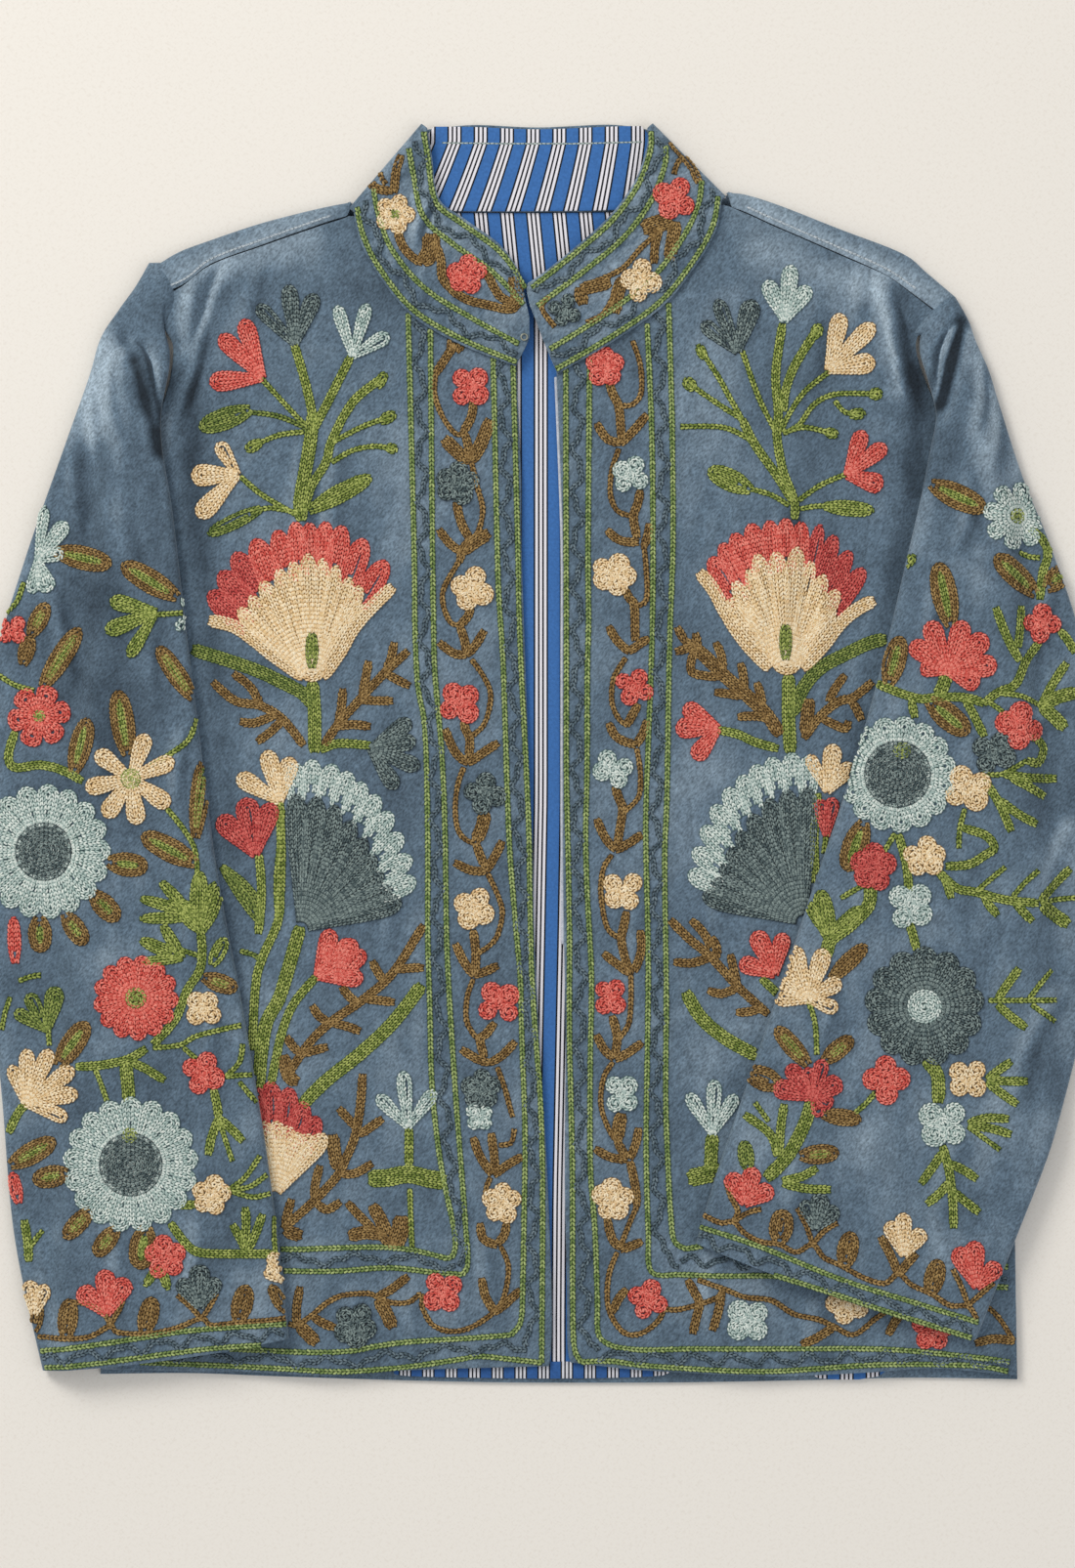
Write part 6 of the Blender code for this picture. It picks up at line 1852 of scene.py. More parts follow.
def chain_wool(name, gap_shade, dark, light):
    """Two-ply wool in chain stitch: matt and hairy, each strand of its own tone, with painted shade where it
    dips.
    """
    material, tree, shader = new_material(name + "_wool_chain_stitch")
    strand = add_node(tree, "ShaderNodeAttribute", {"attribute_name": "tone"})
    # Tone 0 is painted shade, for the sheet under the stitches and the strands' ends; the tones above it run
    # from dark to light wool.
    tone = add_node(
        tree, "ShaderNodeValToRGB", None, None, {"Fac": strand.outputs["Fac"]},
        ((0.0, gap_shade), (WOOL_DARK_PLACE, dark), (1.0, light)),
    )
    place = add_node(tree, "ShaderNodeTexCoord").outputs["Object"]
    hairs = add_node(
        tree, "ShaderNodeTexNoise", None, {"Scale": blotches(HAIR_SIZE), "Detail": 2}, {"Vector": place},
    )
    hair_tone = add_node(tree, "ShaderNodeValToRGB", None, None, {"Fac": hairs.outputs["Fac"]}, HAIR_TONES)
    wool = add_node(
        tree, "ShaderNodeMix", {"data_type": "RGBA", "blend_type": "OVERLAY"}, {0: HAIR_MIX},
        {MIX_BELOW: tone.outputs["Color"], MIX_ABOVE: hair_tone.outputs["Color"]},
    )
    tree.links.new(wool.outputs[MIXED], shader.inputs["Base Color"])
    fine = add_node(
        tree, "ShaderNodeBump", None, {"Strength": 0.4, "Distance": 0.0002}, {"Height": hairs.outputs["Fac"]}
    )
    tree.links.new(fine.outputs["Normal"], shader.inputs["Normal"])
    shader.inputs["Roughness"].default_value = 0.85
    shader.inputs["Specular IOR Level"].default_value = 0.3
    shader.inputs["Sheen Weight"].default_value = 0.2
    shader.inputs["Sheen Roughness"].default_value = 0.5
    return material


def in_world(points):
    """Plan millimetres as world metres."""
    moved = np.array(points, float)
    moved[..., 0] += SHIFT[0]
    moved[..., 1] += SHIFT[1]
    return moved * MM


def in_scene(name, data):
    """A new object of this mesh, lamp or camera, in the scene."""
    obj = bpy.data.objects.new(name, data)
    bpy.context.scene.collection.objects.link(obj)
    return obj


def painted_pile_shading(surface, painted_patches, x, y):
    """Painted light of the velvet: highlight where it faces the main light, shade where it faces away, and
    patches.
    """
    step = SHADING_STEP / math.sqrt(2)
    towards = surface(x - step, y + step)
    away = surface(x + step, y - step)
    facing = (away - towards) / (2 * SHADING_STEP)
    return np.clip(SHADING_PLAIN + SHADING_GAIN * facing, *SHADING_RANGE) + fold_lift(painted_patches, x, y)


def cloth(name, grid, wall, material, round_tube=False, stripes=None, nap=None):
    """A cloth wall about an array of points, joined round when the array is a tube."""
    rows, columns = grid.shape[:2]
    maker = bmesh.new()
    bmesh.ops.create_grid(maker, x_segments=columns - 1, y_segments=rows - 1, size=1.0)
    maker.verts.ensure_lookup_table()
    for vert, place in zip(maker.verts, in_world(grid).reshape(-1, 3)):
        vert.co = place
    # This layer carries the velvet's painted light: painted highlight and painted shade, read by its
    # material.
    pile = maker.verts.layers.float.new("nap")
    painted_shadings = np.full(rows * columns, SHADING_PLAIN) if nap is None else nap.reshape(-1)
    for vert, value in zip(maker.verts, painted_shadings):
        vert[pile] = value
    if stripes is not None:
        layer = maker.loops.layers.uv.new("stripes")
        flat = stripes.reshape(-1)
        for face in maker.faces:
            for loop in face.loops:
                loop[layer].uv = (flat[loop.vert.index] / STRIPE_REPEAT, 0.0)
    if round_tube:
        bmesh.ops.remove_doubles(maker, verts=maker.verts, dist=TINY)
    mesh = bpy.data.meshes.new(name)
    maker.to_mesh(mesh)
    maker.free()
    mesh.materials.append(material)
    mesh.shade_smooth()
    obj = in_scene(name, mesh)
    thickness = obj.modifiers.new("Cloth thickness", "SOLIDIFY")
    thickness.thickness = wall * MM
    thickness.offset = 0.0
    thickness.use_even_offset = False
    rim = obj.modifiers.new("Turned edge", "BEVEL")
    rim.width = EDGE_ROUNDING * MM
    rim.segments = EDGE_SEGMENTS
    rim.limit_method = "ANGLE"
    rim.angle_limit = math.radians(EDGE_ANGLE)
    return obj


def finish_piece(obj, node=None):
    """Fixes a piece to the jacket's body, and hides the solid's node that it stands in for, where it has one.
    """
    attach(obj, "root")
    if node:
        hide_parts(node)
    return obj


def make_front(name, side, hem, edge, top):
    """A front, from its side seam and armhole to its open edge."""
    columns = even_shares(FRONT_COLUMNS)
    rows = row_shares(*FRONT_ROWS)
    corner_side = (hem[0],) + side[1:-1] + (top[0],)
    plan = patch(
        spread(hem, columns), spread(top, columns),
        spread(corner_side, rows), spread(edge, rows), columns, rows,
    )
    x = plan[..., 0]
    y = plan[..., 1]
    grid = np.dstack([x, y, front_surface(side, x, y)])
    # Painted highlight and shade of the velvet, from its slope towards the main light and from listed
    # patches.
    nap = painted_pile_shading(lambda across, up: front_surface(side, across, up), FRONT_PAINTED_PATCHES, x, y)
    return cloth(name + "_velvet", grid, FRONT_WALL, VELVET, nap=nap)


def shoulder_roll(shoulder, level_high):
    """Points of the back from where it leaves the table, over the shoulder, to its front seam."""
    roll = (level_high - BACK_LEVEL) / 2
    inward = Vector((shoulder.seam_x - shoulder.top_x, shoulder.seam_y - shoulder.top_y)).normalized()
    top = Vector((shoulder.top_x, shoulder.top_y))
    flatness = 1 - shoulder.turn / 180
    points = []
    for step in range(ROLL_STEPS + 1):
        share = step / ROLL_STEPS
        angle = math.radians(shoulder.turn) * share
        place = top + inward * roll * (1 - math.sin(angle)) - inward * NECK_REACH * share * flatness
        points.append((place.x, place.y, BACK_LEVEL + roll * (1 - math.cos(angle))))
    share = (shoulder.turn / 180) ** 2
    seam = (shoulder.seam_x, shoulder.seam_y, level_high)
    last = points[-1]
    for part in LAP_PARTS:
        end = tuple(a + (b - a) * share * part for a, b in zip(last, seam))
        points.append((end[0] - inward.x * flatness * part, end[1] - inward.y * flatness * part, end[2]))
    return points


def make_back():
    """The back: a flat panel whose top rolls over the shoulders to the fronts' seams."""
    tops = [Shoulder(*row) for row in smooth(BACK_TOP, BACK_STEPS_ACROSS)]
    tops = [row._replace(turn=min(max(row.turn, 0), 180)) for row in tops]
    rolls = [shoulder_roll(row, FRONT_LEVEL + SHOULDER_RISE + FRONT_FULLNESS) for row in tops]
    high = [points[0][:2] for points in rolls]
    span = high[-1][0] - high[0][0]
    columns = [(x - high[0][0]) / span for x, _ in high]
    rows = row_shares(*BACK_ROWS)
    right = RIGHT_SIDE + (high[0],)
    left = LEFT_SIDE + (high[-1],)
    low = spread((right[0],) + BACK_HEM[1:-1] + (left[0],), columns)
    plan = patch(low, high, spread(right, rows), spread(left, rows), columns, rows)
    flat = np.dstack([plan[..., 0], plan[..., 1], np.full(plan.shape[:2], BACK_LEVEL)])
    rolled = np.array([[points[step] for points in rolls] for step in range(1, len(rolls[0]))])
    grid = np.concatenate([flat, rolled])
    # Painted highlight on the back's velvet where it rolls over the shoulders, from listed patches.
    nap = SHADING_PLAIN + fold_lift(BACK_PAINTED_PATCHES, grid[..., 0], grid[..., 1])
    return cloth("back_velvet", grid, BACK_WALL, VELVET, nap=nap)


def make_back_lining():
    """The striped lining that lies on the back."""
    columns = even_shares(LINING_COLUMNS)
    rows = row_shares(*LINING_ROWS)
    plan = patch(
        spread(LINING_HEM, columns), spread(LINING_TOP, columns),
        spread(LINING_RIGHT, rows), spread(LINING_LEFT, rows), columns, rows,
    )
    x = plan[..., 0]
    y = plan[..., 1]
    level = uneven(LINING_LEVEL, x, y, LINING_RIPPLES)
    lean = LINING_LEAN * np.maximum(y - LINING_LEANS_FROM, 0.0) + np.interp(y, *LINING_DRIFT)
    stripes = x + lean + LINING_STRIPES_START
    return cloth("back_lining_cotton", np.dstack([x, y, level]), LINING_WALL, COTTON, stripes=stripes)


def sleeve_relief(x, y):
    """Folds, creases and unevenness of a sleeve's upper layer."""
    return fold_lift(SLEEVE_FOLDS, x, y) + uneven(crease_lift(SLEEVE_CREASES, x, y), x, y, SLEEVE_RIPPLES)


def sleeve_ring(side, section, cuff):
    """One ring of a flattened sleeve: under the arm, round the outer edge, back over the top.

    The cuff is 1 at the sleeve's end, which bows outwards, and fades to 0 before it.
    """
    inner = np.array((section[0], section[1]))
    outer = np.array((section[2], section[3]))
    width = float(np.hypot(*(outer - inner)))
    across = (outer - inner) / width
    edge = SLEEVE_WALL / 2
    flat = width - 2 * (edge + SLEEVE_ROLL)
    turns = np.pi * np.arange(1, ROLL_STEPS) / ROLL_STEPS
    under = edge + SLEEVE_ROLL + flat * np.arange(SLEEVE_UNDER + 1) / SLEEVE_UNDER
    over = width - edge - SLEEVE_ROLL - flat * np.arange(SLEEVE_OVER + 1) / SLEEVE_OVER
    along = np.concatenate([
        under, width - edge - SLEEVE_ROLL * (1 - np.sin(turns)),
        over, edge + SLEEVE_ROLL * (1 - np.sin(turns)),
    ])
    height_share = np.concatenate([
        np.zeros(len(under)), (1 - np.cos(turns)) / 2, np.ones(len(over)), (1 + np.cos(turns)) / 2,
    ])
    bow = towards_middle(side) * section[4] * 4 * along * (width - along) / width ** 2
    x = inner[0] + across[0] * along + bow
    y = inner[1] + across[1] * along - cuff * CUFF_BOW * 4 * along * (width - along) / width ** 2
    low = sleeve_floor(side, x, y) + SLEEVE_WALL / 2
    fullness = ease(np.minimum(along, width - along) / SLEEVE_EDGE_LENGTH)
    crown = SLEEVE_CROWN * 4 * along * (width - along) / width ** 2
    high = low + 2 * SLEEVE_ROLL + crown + sleeve_relief(x, y) * fullness
    ring = np.stack([x, y, low + (high - low) * height_share], axis=1)
    return np.concatenate([ring, ring[:1]])


def make_sleeve(name, side, sections):
    """A flattened sleeve. Its first ring is tucked in under the shoulder, where the seam pulls it down."""
    rows = smooth(sections, SLEEVE_STEPS)
    near_cuff = ease(1 - (len(rows) - 1 - np.arange(len(rows))) / SLEEVE_STEPS)
    rings = [sleeve_ring(side, section, cuff) for section, cuff in zip(rows, near_cuff)]
    tuck = rings[0].copy()
    tuck[:, 0] += HEAD_TUCK * towards_middle(side)
    tuck[:, 2] = HEAD_TUCK_LEVEL + (tuck[:, 2] - SLEEVE_WALL / 2) * HEAD_TUCK_FLATNESS
    grid = np.array([tuck] + rings)
    # Painted highlight and shade of the velvet, from its slope towards the main light and from listed
    # patches.
    nap = painted_pile_shading(sleeve_relief, SLEEVE_PAINTED_PATCHES, grid[..., 0], grid[..., 1])
    return cloth(name + "_velvet", grid, SLEEVE_WALL, VELVET, round_tube=True, nap=nap)


def collar_fold_rows(fold):
    """Rows of the band as it turns over at one side of the neck, from its upper to its lower layer."""
    neck = Vector((fold.neck_x, fold.neck_y))
    top = Vector((fold.top_x, fold.top_y))
    line = (top - neck).normalized()
    outward = Vector((line.y, -line.x)) * fold.outward
    rows = []
    for degrees in COLLAR_FOLD_TURNS:
        turn = math.radians(degrees)
        row = []
        for place, low, high in ((neck, fold.neck_low, fold.neck_high), (top, fold.top_low, fold.top_high)):
            roll = (high - low) / 2
            moved = place - outward * roll * (1 - math.cos(turn))
            row += [moved.x, moved.y, (low + high) / 2 + roll * math.sin(turn)]
        rows.append(CollarRow(*row))
    return rows


def collar_relief(x, y):
    """Creases and unevenness of the collar."""
    return uneven(crease_lift(COLLAR_CREASES, x, y), x, y, COLLAR_RIPPLES)


def band_grid(rows, lift, crown, creased):
    """Points across a band from its neck edge to its top edge, for each of its rows."""
    rows = np.array(rows)
    share = np.array(even_shares(COLLAR_ACROSS))[None, :]
    x = rows[:, 0:1] + (rows[:, 3:4] - rows[:, 0:1]) * share
    y = rows[:, 1:2] + (rows[:, 4:5] - rows[:, 1:2]) * share
    z = rows[:, 2:3] + (rows[:, 5:6] - rows[:, 2:3]) * share + lift + crown * 4 * share * (1 - share)
    if creased:
        fullness = ease(np.minimum(share, 1 - share) / COLLAR_EDGE)
        z = z + collar_relief(x, y) * fullness
    return np.dstack([x, y, z])


def make_collar():
    """The stand collar: both fronts, the folds at the neck's sides and the back between them."""
    right_fold = collar_fold_rows(COLLAR_RIGHT_FOLD)
    left_fold = collar_fold_rows(COLLAR_LEFT_FOLD)[::-1]
    right_front = smooth(COLLAR_RIGHT_FRONT + (right_fold[0],), COLLAR_STEPS)[:-1]
    left_front = smooth((left_fold[-1],) + COLLAR_LEFT_FRONT, COLLAR_STEPS)[1:]
    back = smooth((right_fold[-1],) + COLLAR_BACK + (left_fold[0],), COLLAR_STEPS)[1:-1]
    right = band_grid(right_front, 0.0, COLLAR_CROWN, True)
    left = band_grid(left_front, 0.0, COLLAR_CROWN, True)
    share = even_shares(COLLAR_ACROSS)
    for index, nearness in enumerate(COLLAR_BOW_FADE):
        right[index, :, 0] += nearness * np.interp(share, *COLLAR_RIGHT_BOW)
        left[-1 - index, :, 0] += nearness * np.interp(share, *COLLAR_LEFT_BOW)
    folds = [band_grid(rows, 0.0, 0.0, False) for rows in (right_fold, back, left_fold)]
    grid = np.concatenate([right, *folds, left])
    # Painted highlight and shade of the velvet, from its slope towards the main light and from listed
    # patches.
    nap = painted_pile_shading(collar_relief, COLLAR_PAINTED_PATCHES, grid[..., 0], grid[..., 1])
    return cloth("collar_velvet", grid, COLLAR_WALL, VELVET, nap=nap)


def make_collar_lining():
    """The striped lining that lies on the collar's back."""
    rows = np.array(smooth(COLLAR_LINING, COLLAR_LINING_STEPS))
    grid = band_grid(rows, LINING_ON_COLLAR, 0.0, False)
    x = grid[..., 0]
    down = COLLAR_STRIPES_TOP - grid[..., 1]
    slant = np.maximum(COLLAR_SLANT - COLLAR_SLANT_FADE * x, 0.0)
    return cloth(
        "collar_lining_cotton", grid, LINING_WALL, COTTON,
        stripes=x + slant * np.maximum(down, 0.0) + COLLAR_STRIPES_START,
    )


def make_neck_loop():
    """A closed ring of stiffened thread, spun from a small round section."""
    maker = bmesh.new()
    centre = Vector(in_world((*LOOP_CENTRE, LOOP_HEIGHT)))
    place = Matrix.Translation(centre + Vector((LOOP_RADIUS * MM, 0, 0)))
    place = place @ Matrix.Rotation(math.pi / 2, 4, "X")
    section = bmesh.ops.create_circle(maker, segments=LOOP_SIDES, radius=LOOP_THREAD * MM, matrix=place)
    edges = list({edge for vert in section["verts"] for edge in vert.link_edges})
    bmesh.ops.spin(
        maker, geom=section["verts"] + edges, cent=centre, axis=(0, 0, 1), angle=2 * math.pi,
        steps=LOOP_STEPS, use_merge=True,
    )
    bmesh.ops.remove_doubles(maker, verts=maker.verts, dist=TINY)
    bmesh.ops.recalc_face_normals(maker, faces=maker.faces)
    mesh = bpy.data.meshes.new("neck_loop_thread")
    maker.to_mesh(mesh)
    maker.free()
    mesh.shade_smooth()
    return in_scene("neck_loop_thread", mesh)


def moved(rows, x, y, heading, lift=0.0):
    """Rows drawn upright about the origin, turned clockwise to a heading and moved to a place on the plan."""
    cosine = math.cos(math.radians(heading))
    sine = math.sin(math.radians(heading))
    return [
        row._replace(lift=row.lift + lift, points=[
            (x + across * cosine + up * sine, y + up * cosine - across * sine) for across, up in row.points
        ])
        for row in rows
    ]


def petal(thread, length, width, shape=PETAL, start=0.0, heart=None):
    """Nested outlines of a petal that grows up from the origin, down to a row or two along its middle."""
    rows = []
    inset = FILL_SPACING / 2
    while width / 2 - inset > -PETAL_OVERRUN:
        side = max(width / 2 - inset, 0.0)
        low = start + (inset - FILL_SPACING / 2) * PETAL_BASE_GROWTH
        high = length - inset
        if high - low < SHORTEST_ROW:
            break
        wool = heart if heart and inset > FILL_SPACING * HEART_INSET else thread
        if heart and wool == heart:
            side = max(side, FILL_SPACING / 2)
        left = [(-side * half, low + (high - low) * share) for share, half in shape]
        right = [(-across, up) for across, up in reversed(left[:-1])]
        outline = left[1:] if side < THINNEST_LOOP else left + right
        rows.append(Row(wool, FILL_WIDTH, 0.0, smooth(outline, PETAL_STEPS)))
        inset += FILL_SPACING
    return rows


def disc(thread, radius):
    """Nested rings about the origin."""
    rows = []
    inset = FILL_SPACING / 2
    while radius - inset > -DISC_OVERRUN:
        ring = max(radius - inset, SMALLEST_RING)
        turns = [math.radians(degrees) for degrees in range(0, 360 + 1, RING_TURN)]
        points = [(ring * math.sin(turn), ring * math.cos(turn)) for turn in turns]
        rows.append(Row(thread, FILL_WIDTH, 0.0, points))
        inset += FILL_SPACING
    return rows


def stem_rows(stem):
    """Parallel rows along a stem, which draw together over its last few millimetres at both ends."""
    run = smooth(stem.points, STEM_STEPS)
    lengths = np.array(lengths_along(run))
    from_end = np.minimum(lengths, lengths[-1] - lengths)
    together = np.sqrt(np.clip(from_end / STEM_ROUNDING, STEM_NARROWEST, 1.0))
    rows = []
    for index in range(stem.rows):
        aside = (index - (stem.rows - 1) / 2) * FILL_SPACING
        width = LINE_WIDTH if stem.rows == 1 else FILL_WIDTH
        rows.append(Row(stem.thread, width, 0.0, beside(run, aside * together)))
    return rows


def beside(run, aside):
    """A run moved sideways by this much, to its right where positive."""
    run = np.array(run, float)
    along = np.gradient(run, axis=0)
    along /= np.maximum(np.hypot(along[:, 0], along[:, 1]), TINY)[:, None]
    return list(zip(run[:, 0] + along[:, 1] * aside, run[:, 1] - along[:, 0] * aside))


def leaf_rows(leaf):
    """A leaf from its base to its tip, with a heart of another wool where it has one."""
    across = leaf.tip_x - leaf.base_x
    up = leaf.tip_y - leaf.base_y
    rows = petal(leaf.thread, math.hypot(across, up), leaf.width, BLADE, 0.0, leaf.heart)
    return moved(rows, leaf.base_x, leaf.base_y, math.degrees(math.atan2(across, up)), LEAF_LIFT)


def bloom_rows(bloom):
    """A tulip or an open flower of a few petals from one base."""
    rows = []
    for index, (heading, length, width) in enumerate(bloom.petals):
        lift = FLOWER_LIFT + BLOOM_OVERLAP * (index % 2)
        rows += moved(petal(bloom.thread, length, width), bloom.x, bloom.y, heading, lift)
    return rows


def rosette_rows(flower):
    """Petals all round a centre, which is covered by a disc of another wool where it has one."""
    if not flower.heart:
        return blossom_rows(flower)
    centre = moved(disc(flower.heart, flower.heart_radius), flower.x, flower.y, 0, HEART_LIFT)
    if flower.radius <= flower.heart_radius:
        return centre
    shape = RAY if flower.petals > RAYS_ABOVE else (PETAL if flower.petals > PETALS_ABOVE else LOBE)
    ring = flower.radius * (RAY_RING if flower.petals > RAYS_ABOVE else PETAL_RING)
    width = min(2 * math.pi * ring / flower.petals, flower.radius * WIDEST_PETAL)
    start = max(flower.heart_radius - UNDER_HEART, NEAREST_START)
    rows = moved(disc(flower.thread, flower.heart_radius + HEART_GROUND), flower.x, flower.y, 0, BASE_LIFT)
    for index in range(flower.petals):
        heading = flower.turn + 360 * index / flower.petals
        one = petal(flower.thread, flower.radius, width, shape, start)
        rows += moved(one, flower.x, flower.y, heading, FLOWER_LIFT)
    return rows + centre


def blossom_rows(flower):
    """A small flower of round lobes, each worked in rings, no two quite alike."""
    draw = random.Random(round(flower.x * BLOSSOM_SEED_STEP + flower.y))
    rows = moved(disc(flower.thread, flower.radius * BLOSSOM_CORE), flower.x, flower.y, 0, FLOWER_LIFT)
    for index in range(flower.petals):
        unevenness = draw.uniform(-BLOSSOM_TURN, BLOSSOM_TURN)
        turn = math.radians(flower.turn + 360 * index / flower.petals + unevenness)
        size = flower.radius * draw.uniform(*BLOSSOM_LOBES)
        reach = flower.radius * draw.uniform(*BLOSSOM_REACH) - size
        x = flower.x + reach * math.sin(turn)
        y = flower.y + reach * math.cos(turn)
        rows += moved(disc(flower.thread, size), x, y, 0, FLOWER_LIFT + LOBE_OVERLAP * (index + 1))
    return rows


def fan_rows(fan):
    """A big fan flower: cream petals and side strips from one base, with a scalloped red band behind."""
    rows = []
    for index, (wool, heading, length, width) in enumerate(fan.tips):
        lift = BASE_LIFT + TIP_OVERLAP * (index % 2)
        rows += moved(petal(wool, length, width, SCALLOP, length - TIP_DEPTH), fan.x, fan.y, heading, lift)
    for count, flank in fan.flanks:
        rows += moved(stem_rows(Stem("cream", count, flank)), fan.x, fan.y, 0, FLOWER_LIFT)
    for index, (heading, length, width) in enumerate(fan.petals):
        lift = FLOWER_LIFT + BASE_LIFT + FAN_OVERLAP * (index % 2)
        rows += moved(petal("cream", length, width, PETAL, FAN_START), fan.x, fan.y, heading, lift)
    rows += moved(disc("cream", FAN_BOWL), fan.x, fan.y + FAN_BOWL, 0, FLOWER_LIFT + BOWL_LIFT)
    seed = petal("leaf_green", SEED_LENGTH, SEED_WIDTH, BLADE)
    return rows + moved(seed, fan.x + fan.seed[0], fan.y + fan.seed[1], 0, SEED_LIFT)


def tucked_fan_rows(x, y):
    """A smaller fan flower, of which the sleeve hides one side."""
    rows = []
    for heading, length in TUCKED_TIPS:
        tip = petal("crimson", length, TUCKED_TIP_WIDTH, SCALLOP, length - TIP_DEPTH)
        rows += moved(tip, x, y, heading, BASE_LIFT)
    for index, (heading, length) in enumerate(TUCKED_PETALS):
        lift = FLOWER_LIFT + FAN_OVERLAP * (index % 2)
        rows += moved(petal("cream", length, TUCKED_PETAL_WIDTH, PETAL, TUCKED_START), x, y, heading, lift)
    return rows


def half_fan_rows(x, y, mirror):
    """Half a fan of dark petals from one base, edged with pale scallops."""
    rows = []
    for heading, length in HALF_FAN_TIPS:
        tip = petal("pale_blue", length, HALF_FAN_TIP_WIDTH, SCALLOP, length - HALF_FAN_TIP_DEPTH)
        rows += moved(tip, x, y, heading * mirror, LEAF_LIFT)
    for index, (heading, length) in enumerate(HALF_FAN_PETALS):
        lift = FLOWER_LIFT + FAN_OVERLAP * (index % 2)
        dark = petal("teal", length, HALF_FAN_PETAL_WIDTH, PETAL, HALF_FAN_START)
        rows += moved(dark, x, y, heading * mirror, lift)
    return rows


def cord_rows(first, second):
    """An unevenly wavy slate cord between two border lines."""
    first = spread(first, even_shares(CORD_POINTS))
    second = spread(second, even_shares(CORD_POINTS))
    middle = [((a + c) / 2, (b + d) / 2) for (a, b), (c, d) in zip(first, second)]
    lengths = lengths_along(middle)
    places = np.arange(0, lengths[-1], CORD_STEP)
    xs = np.interp(places, lengths, [point[0] for point in middle])
    ys = np.interp(places, lengths, [point[1] for point in middle])
    swing = CORD_SWING * np.sin(places * 2 * math.pi / CORD_WAVE + xs * CORD_DRIFT)
    flutter = places * 2 * math.pi / (CORD_WAVE * CORD_FLUTTER_WAVE) + CORD_FLUTTER_PHASE
    swing += CORD_SWING * CORD_FLUTTER * np.sin(flutter)
    return [Row("slate", CORD_WIDTH, CORD_LIFT, beside(np.stack([xs, ys], axis=1), swing))]


def border_rows(pairs):
    """Pairs of border lines, each with a cord between them."""
    rows = []
    for first, second in pairs:
        for line in (first, second):
            rows.append(Row("border_green", LINE_WIDTH, LINE_LIFT, smooth(line, CURVE_STEPS)))
        rows += cord_rows(first, second)
    return rows


def panel_rows(stems, leaves, blooms, rosettes=()):
    """The stems, leaves and flowers of a panel, in the order in which they are sewn."""
    rows = []
    makers = (stem_rows, stems), (leaf_rows, leaves), (bloom_rows, blooms), (rosette_rows, rosettes)
    for maker, things in makers:
        for thing in things:
            rows += maker(thing)
    return rows


def front_rows(motifs, vine_stems, vine_flowers, borders, fan, half_fan, mirror):
    """All the embroidery of one front."""
    rows = border_rows(borders) + panel_rows(vine_stems, (), (), vine_flowers) + panel_rows(*motifs)
    return rows + fan_rows(fan) + half_fan_rows(*half_fan, mirror)


def collar_rows():
    """Border lines and cords along both fronts of the collar, with its vine and flowers between them."""
    rows = []
    right = COLLAR_RIGHT_FRONT + (collar_fold_rows(COLLAR_RIGHT_FOLD)[0],)
    left = (collar_fold_rows(COLLAR_LEFT_FOLD)[0],) + COLLAR_LEFT_FRONT
    for band in (right, left):
        rows += border_rows([[collar_line(band, share) for share in pair] for pair in COLLAR_LINES])
    return rows + panel_rows(COLLAR_STEMS, (), (), COLLAR_FLOWERS)


def cloth_tree(pieces):
    """A search tree of all the cloth as it stands, and the piece that each of its faces belongs to."""
    scene_state = bpy.context.evaluated_depsgraph_get()
    corners = []
    faces = []
    owners = []
    for piece in pieces:
        shape = piece.evaluated_get(scene_state).to_mesh()
        first = len(corners)
        corners += [vert.co.copy() for vert in shape.vertices]
        faces += [[first + index for index in face.vertices] for face in shape.polygons]
        owners += [piece.name] * len(shape.polygons)
    return BVHTree.FromPolygons(corners, faces), owners


def sew(panels, tree, owners):
    """Places, directions, uprights, widths and tones of all stitches that lie on top, for each wool."""
    draw = random.Random(SEWING_SEED)
    sewn = {}
    for piece, rows in panels:
        for row in rows:
            lengths = lengths_along(row.points)
            count = max(1, round(lengths[-1] / STITCH_STEP))
            centres = (np.arange(count) + 0.5) * lengths[-1] / count
            edges = np.arange(count + 1) * lengths[-1] / count
            xs = [point[0] for point in row.points]
            ys = [point[1] for point in row.points]
            end_x = np.interp(edges, lengths, xs)
            end_y = np.interp(edges, lengths, ys)
            middles = zip(np.interp(centres, lengths, xs), np.interp(centres, lengths, ys))
            for index, (x, y) in enumerate(middles):
                above = Vector(in_world((x, y, SEARCH_HEIGHT)))
                place, upright, face, _ = tree.ray_cast(above, Vector((0, 0, -1)))
                if place is None or owners[face] != piece.name or upright.z < STEEPEST:
                    continue
                along = Vector((end_x[index + 1] - end_x[index], end_y[index + 1] - end_y[index], 0.0))
                along = (along - upright * along.dot(upright)).normalized()
                turn = Matrix.Rotation(draw.gauss(0, TURN_SPREAD), 3, upright)
                width = row.width * draw.uniform(*WIDTH_SPREAD) * MM
                sewn.setdefault((piece.name, row.thread), []).append((
                    *(place + upright * row.lift * MM), *(turn @ along), *upright,
                    width, draw.random(), draw.random(),
                ))
    return sewn


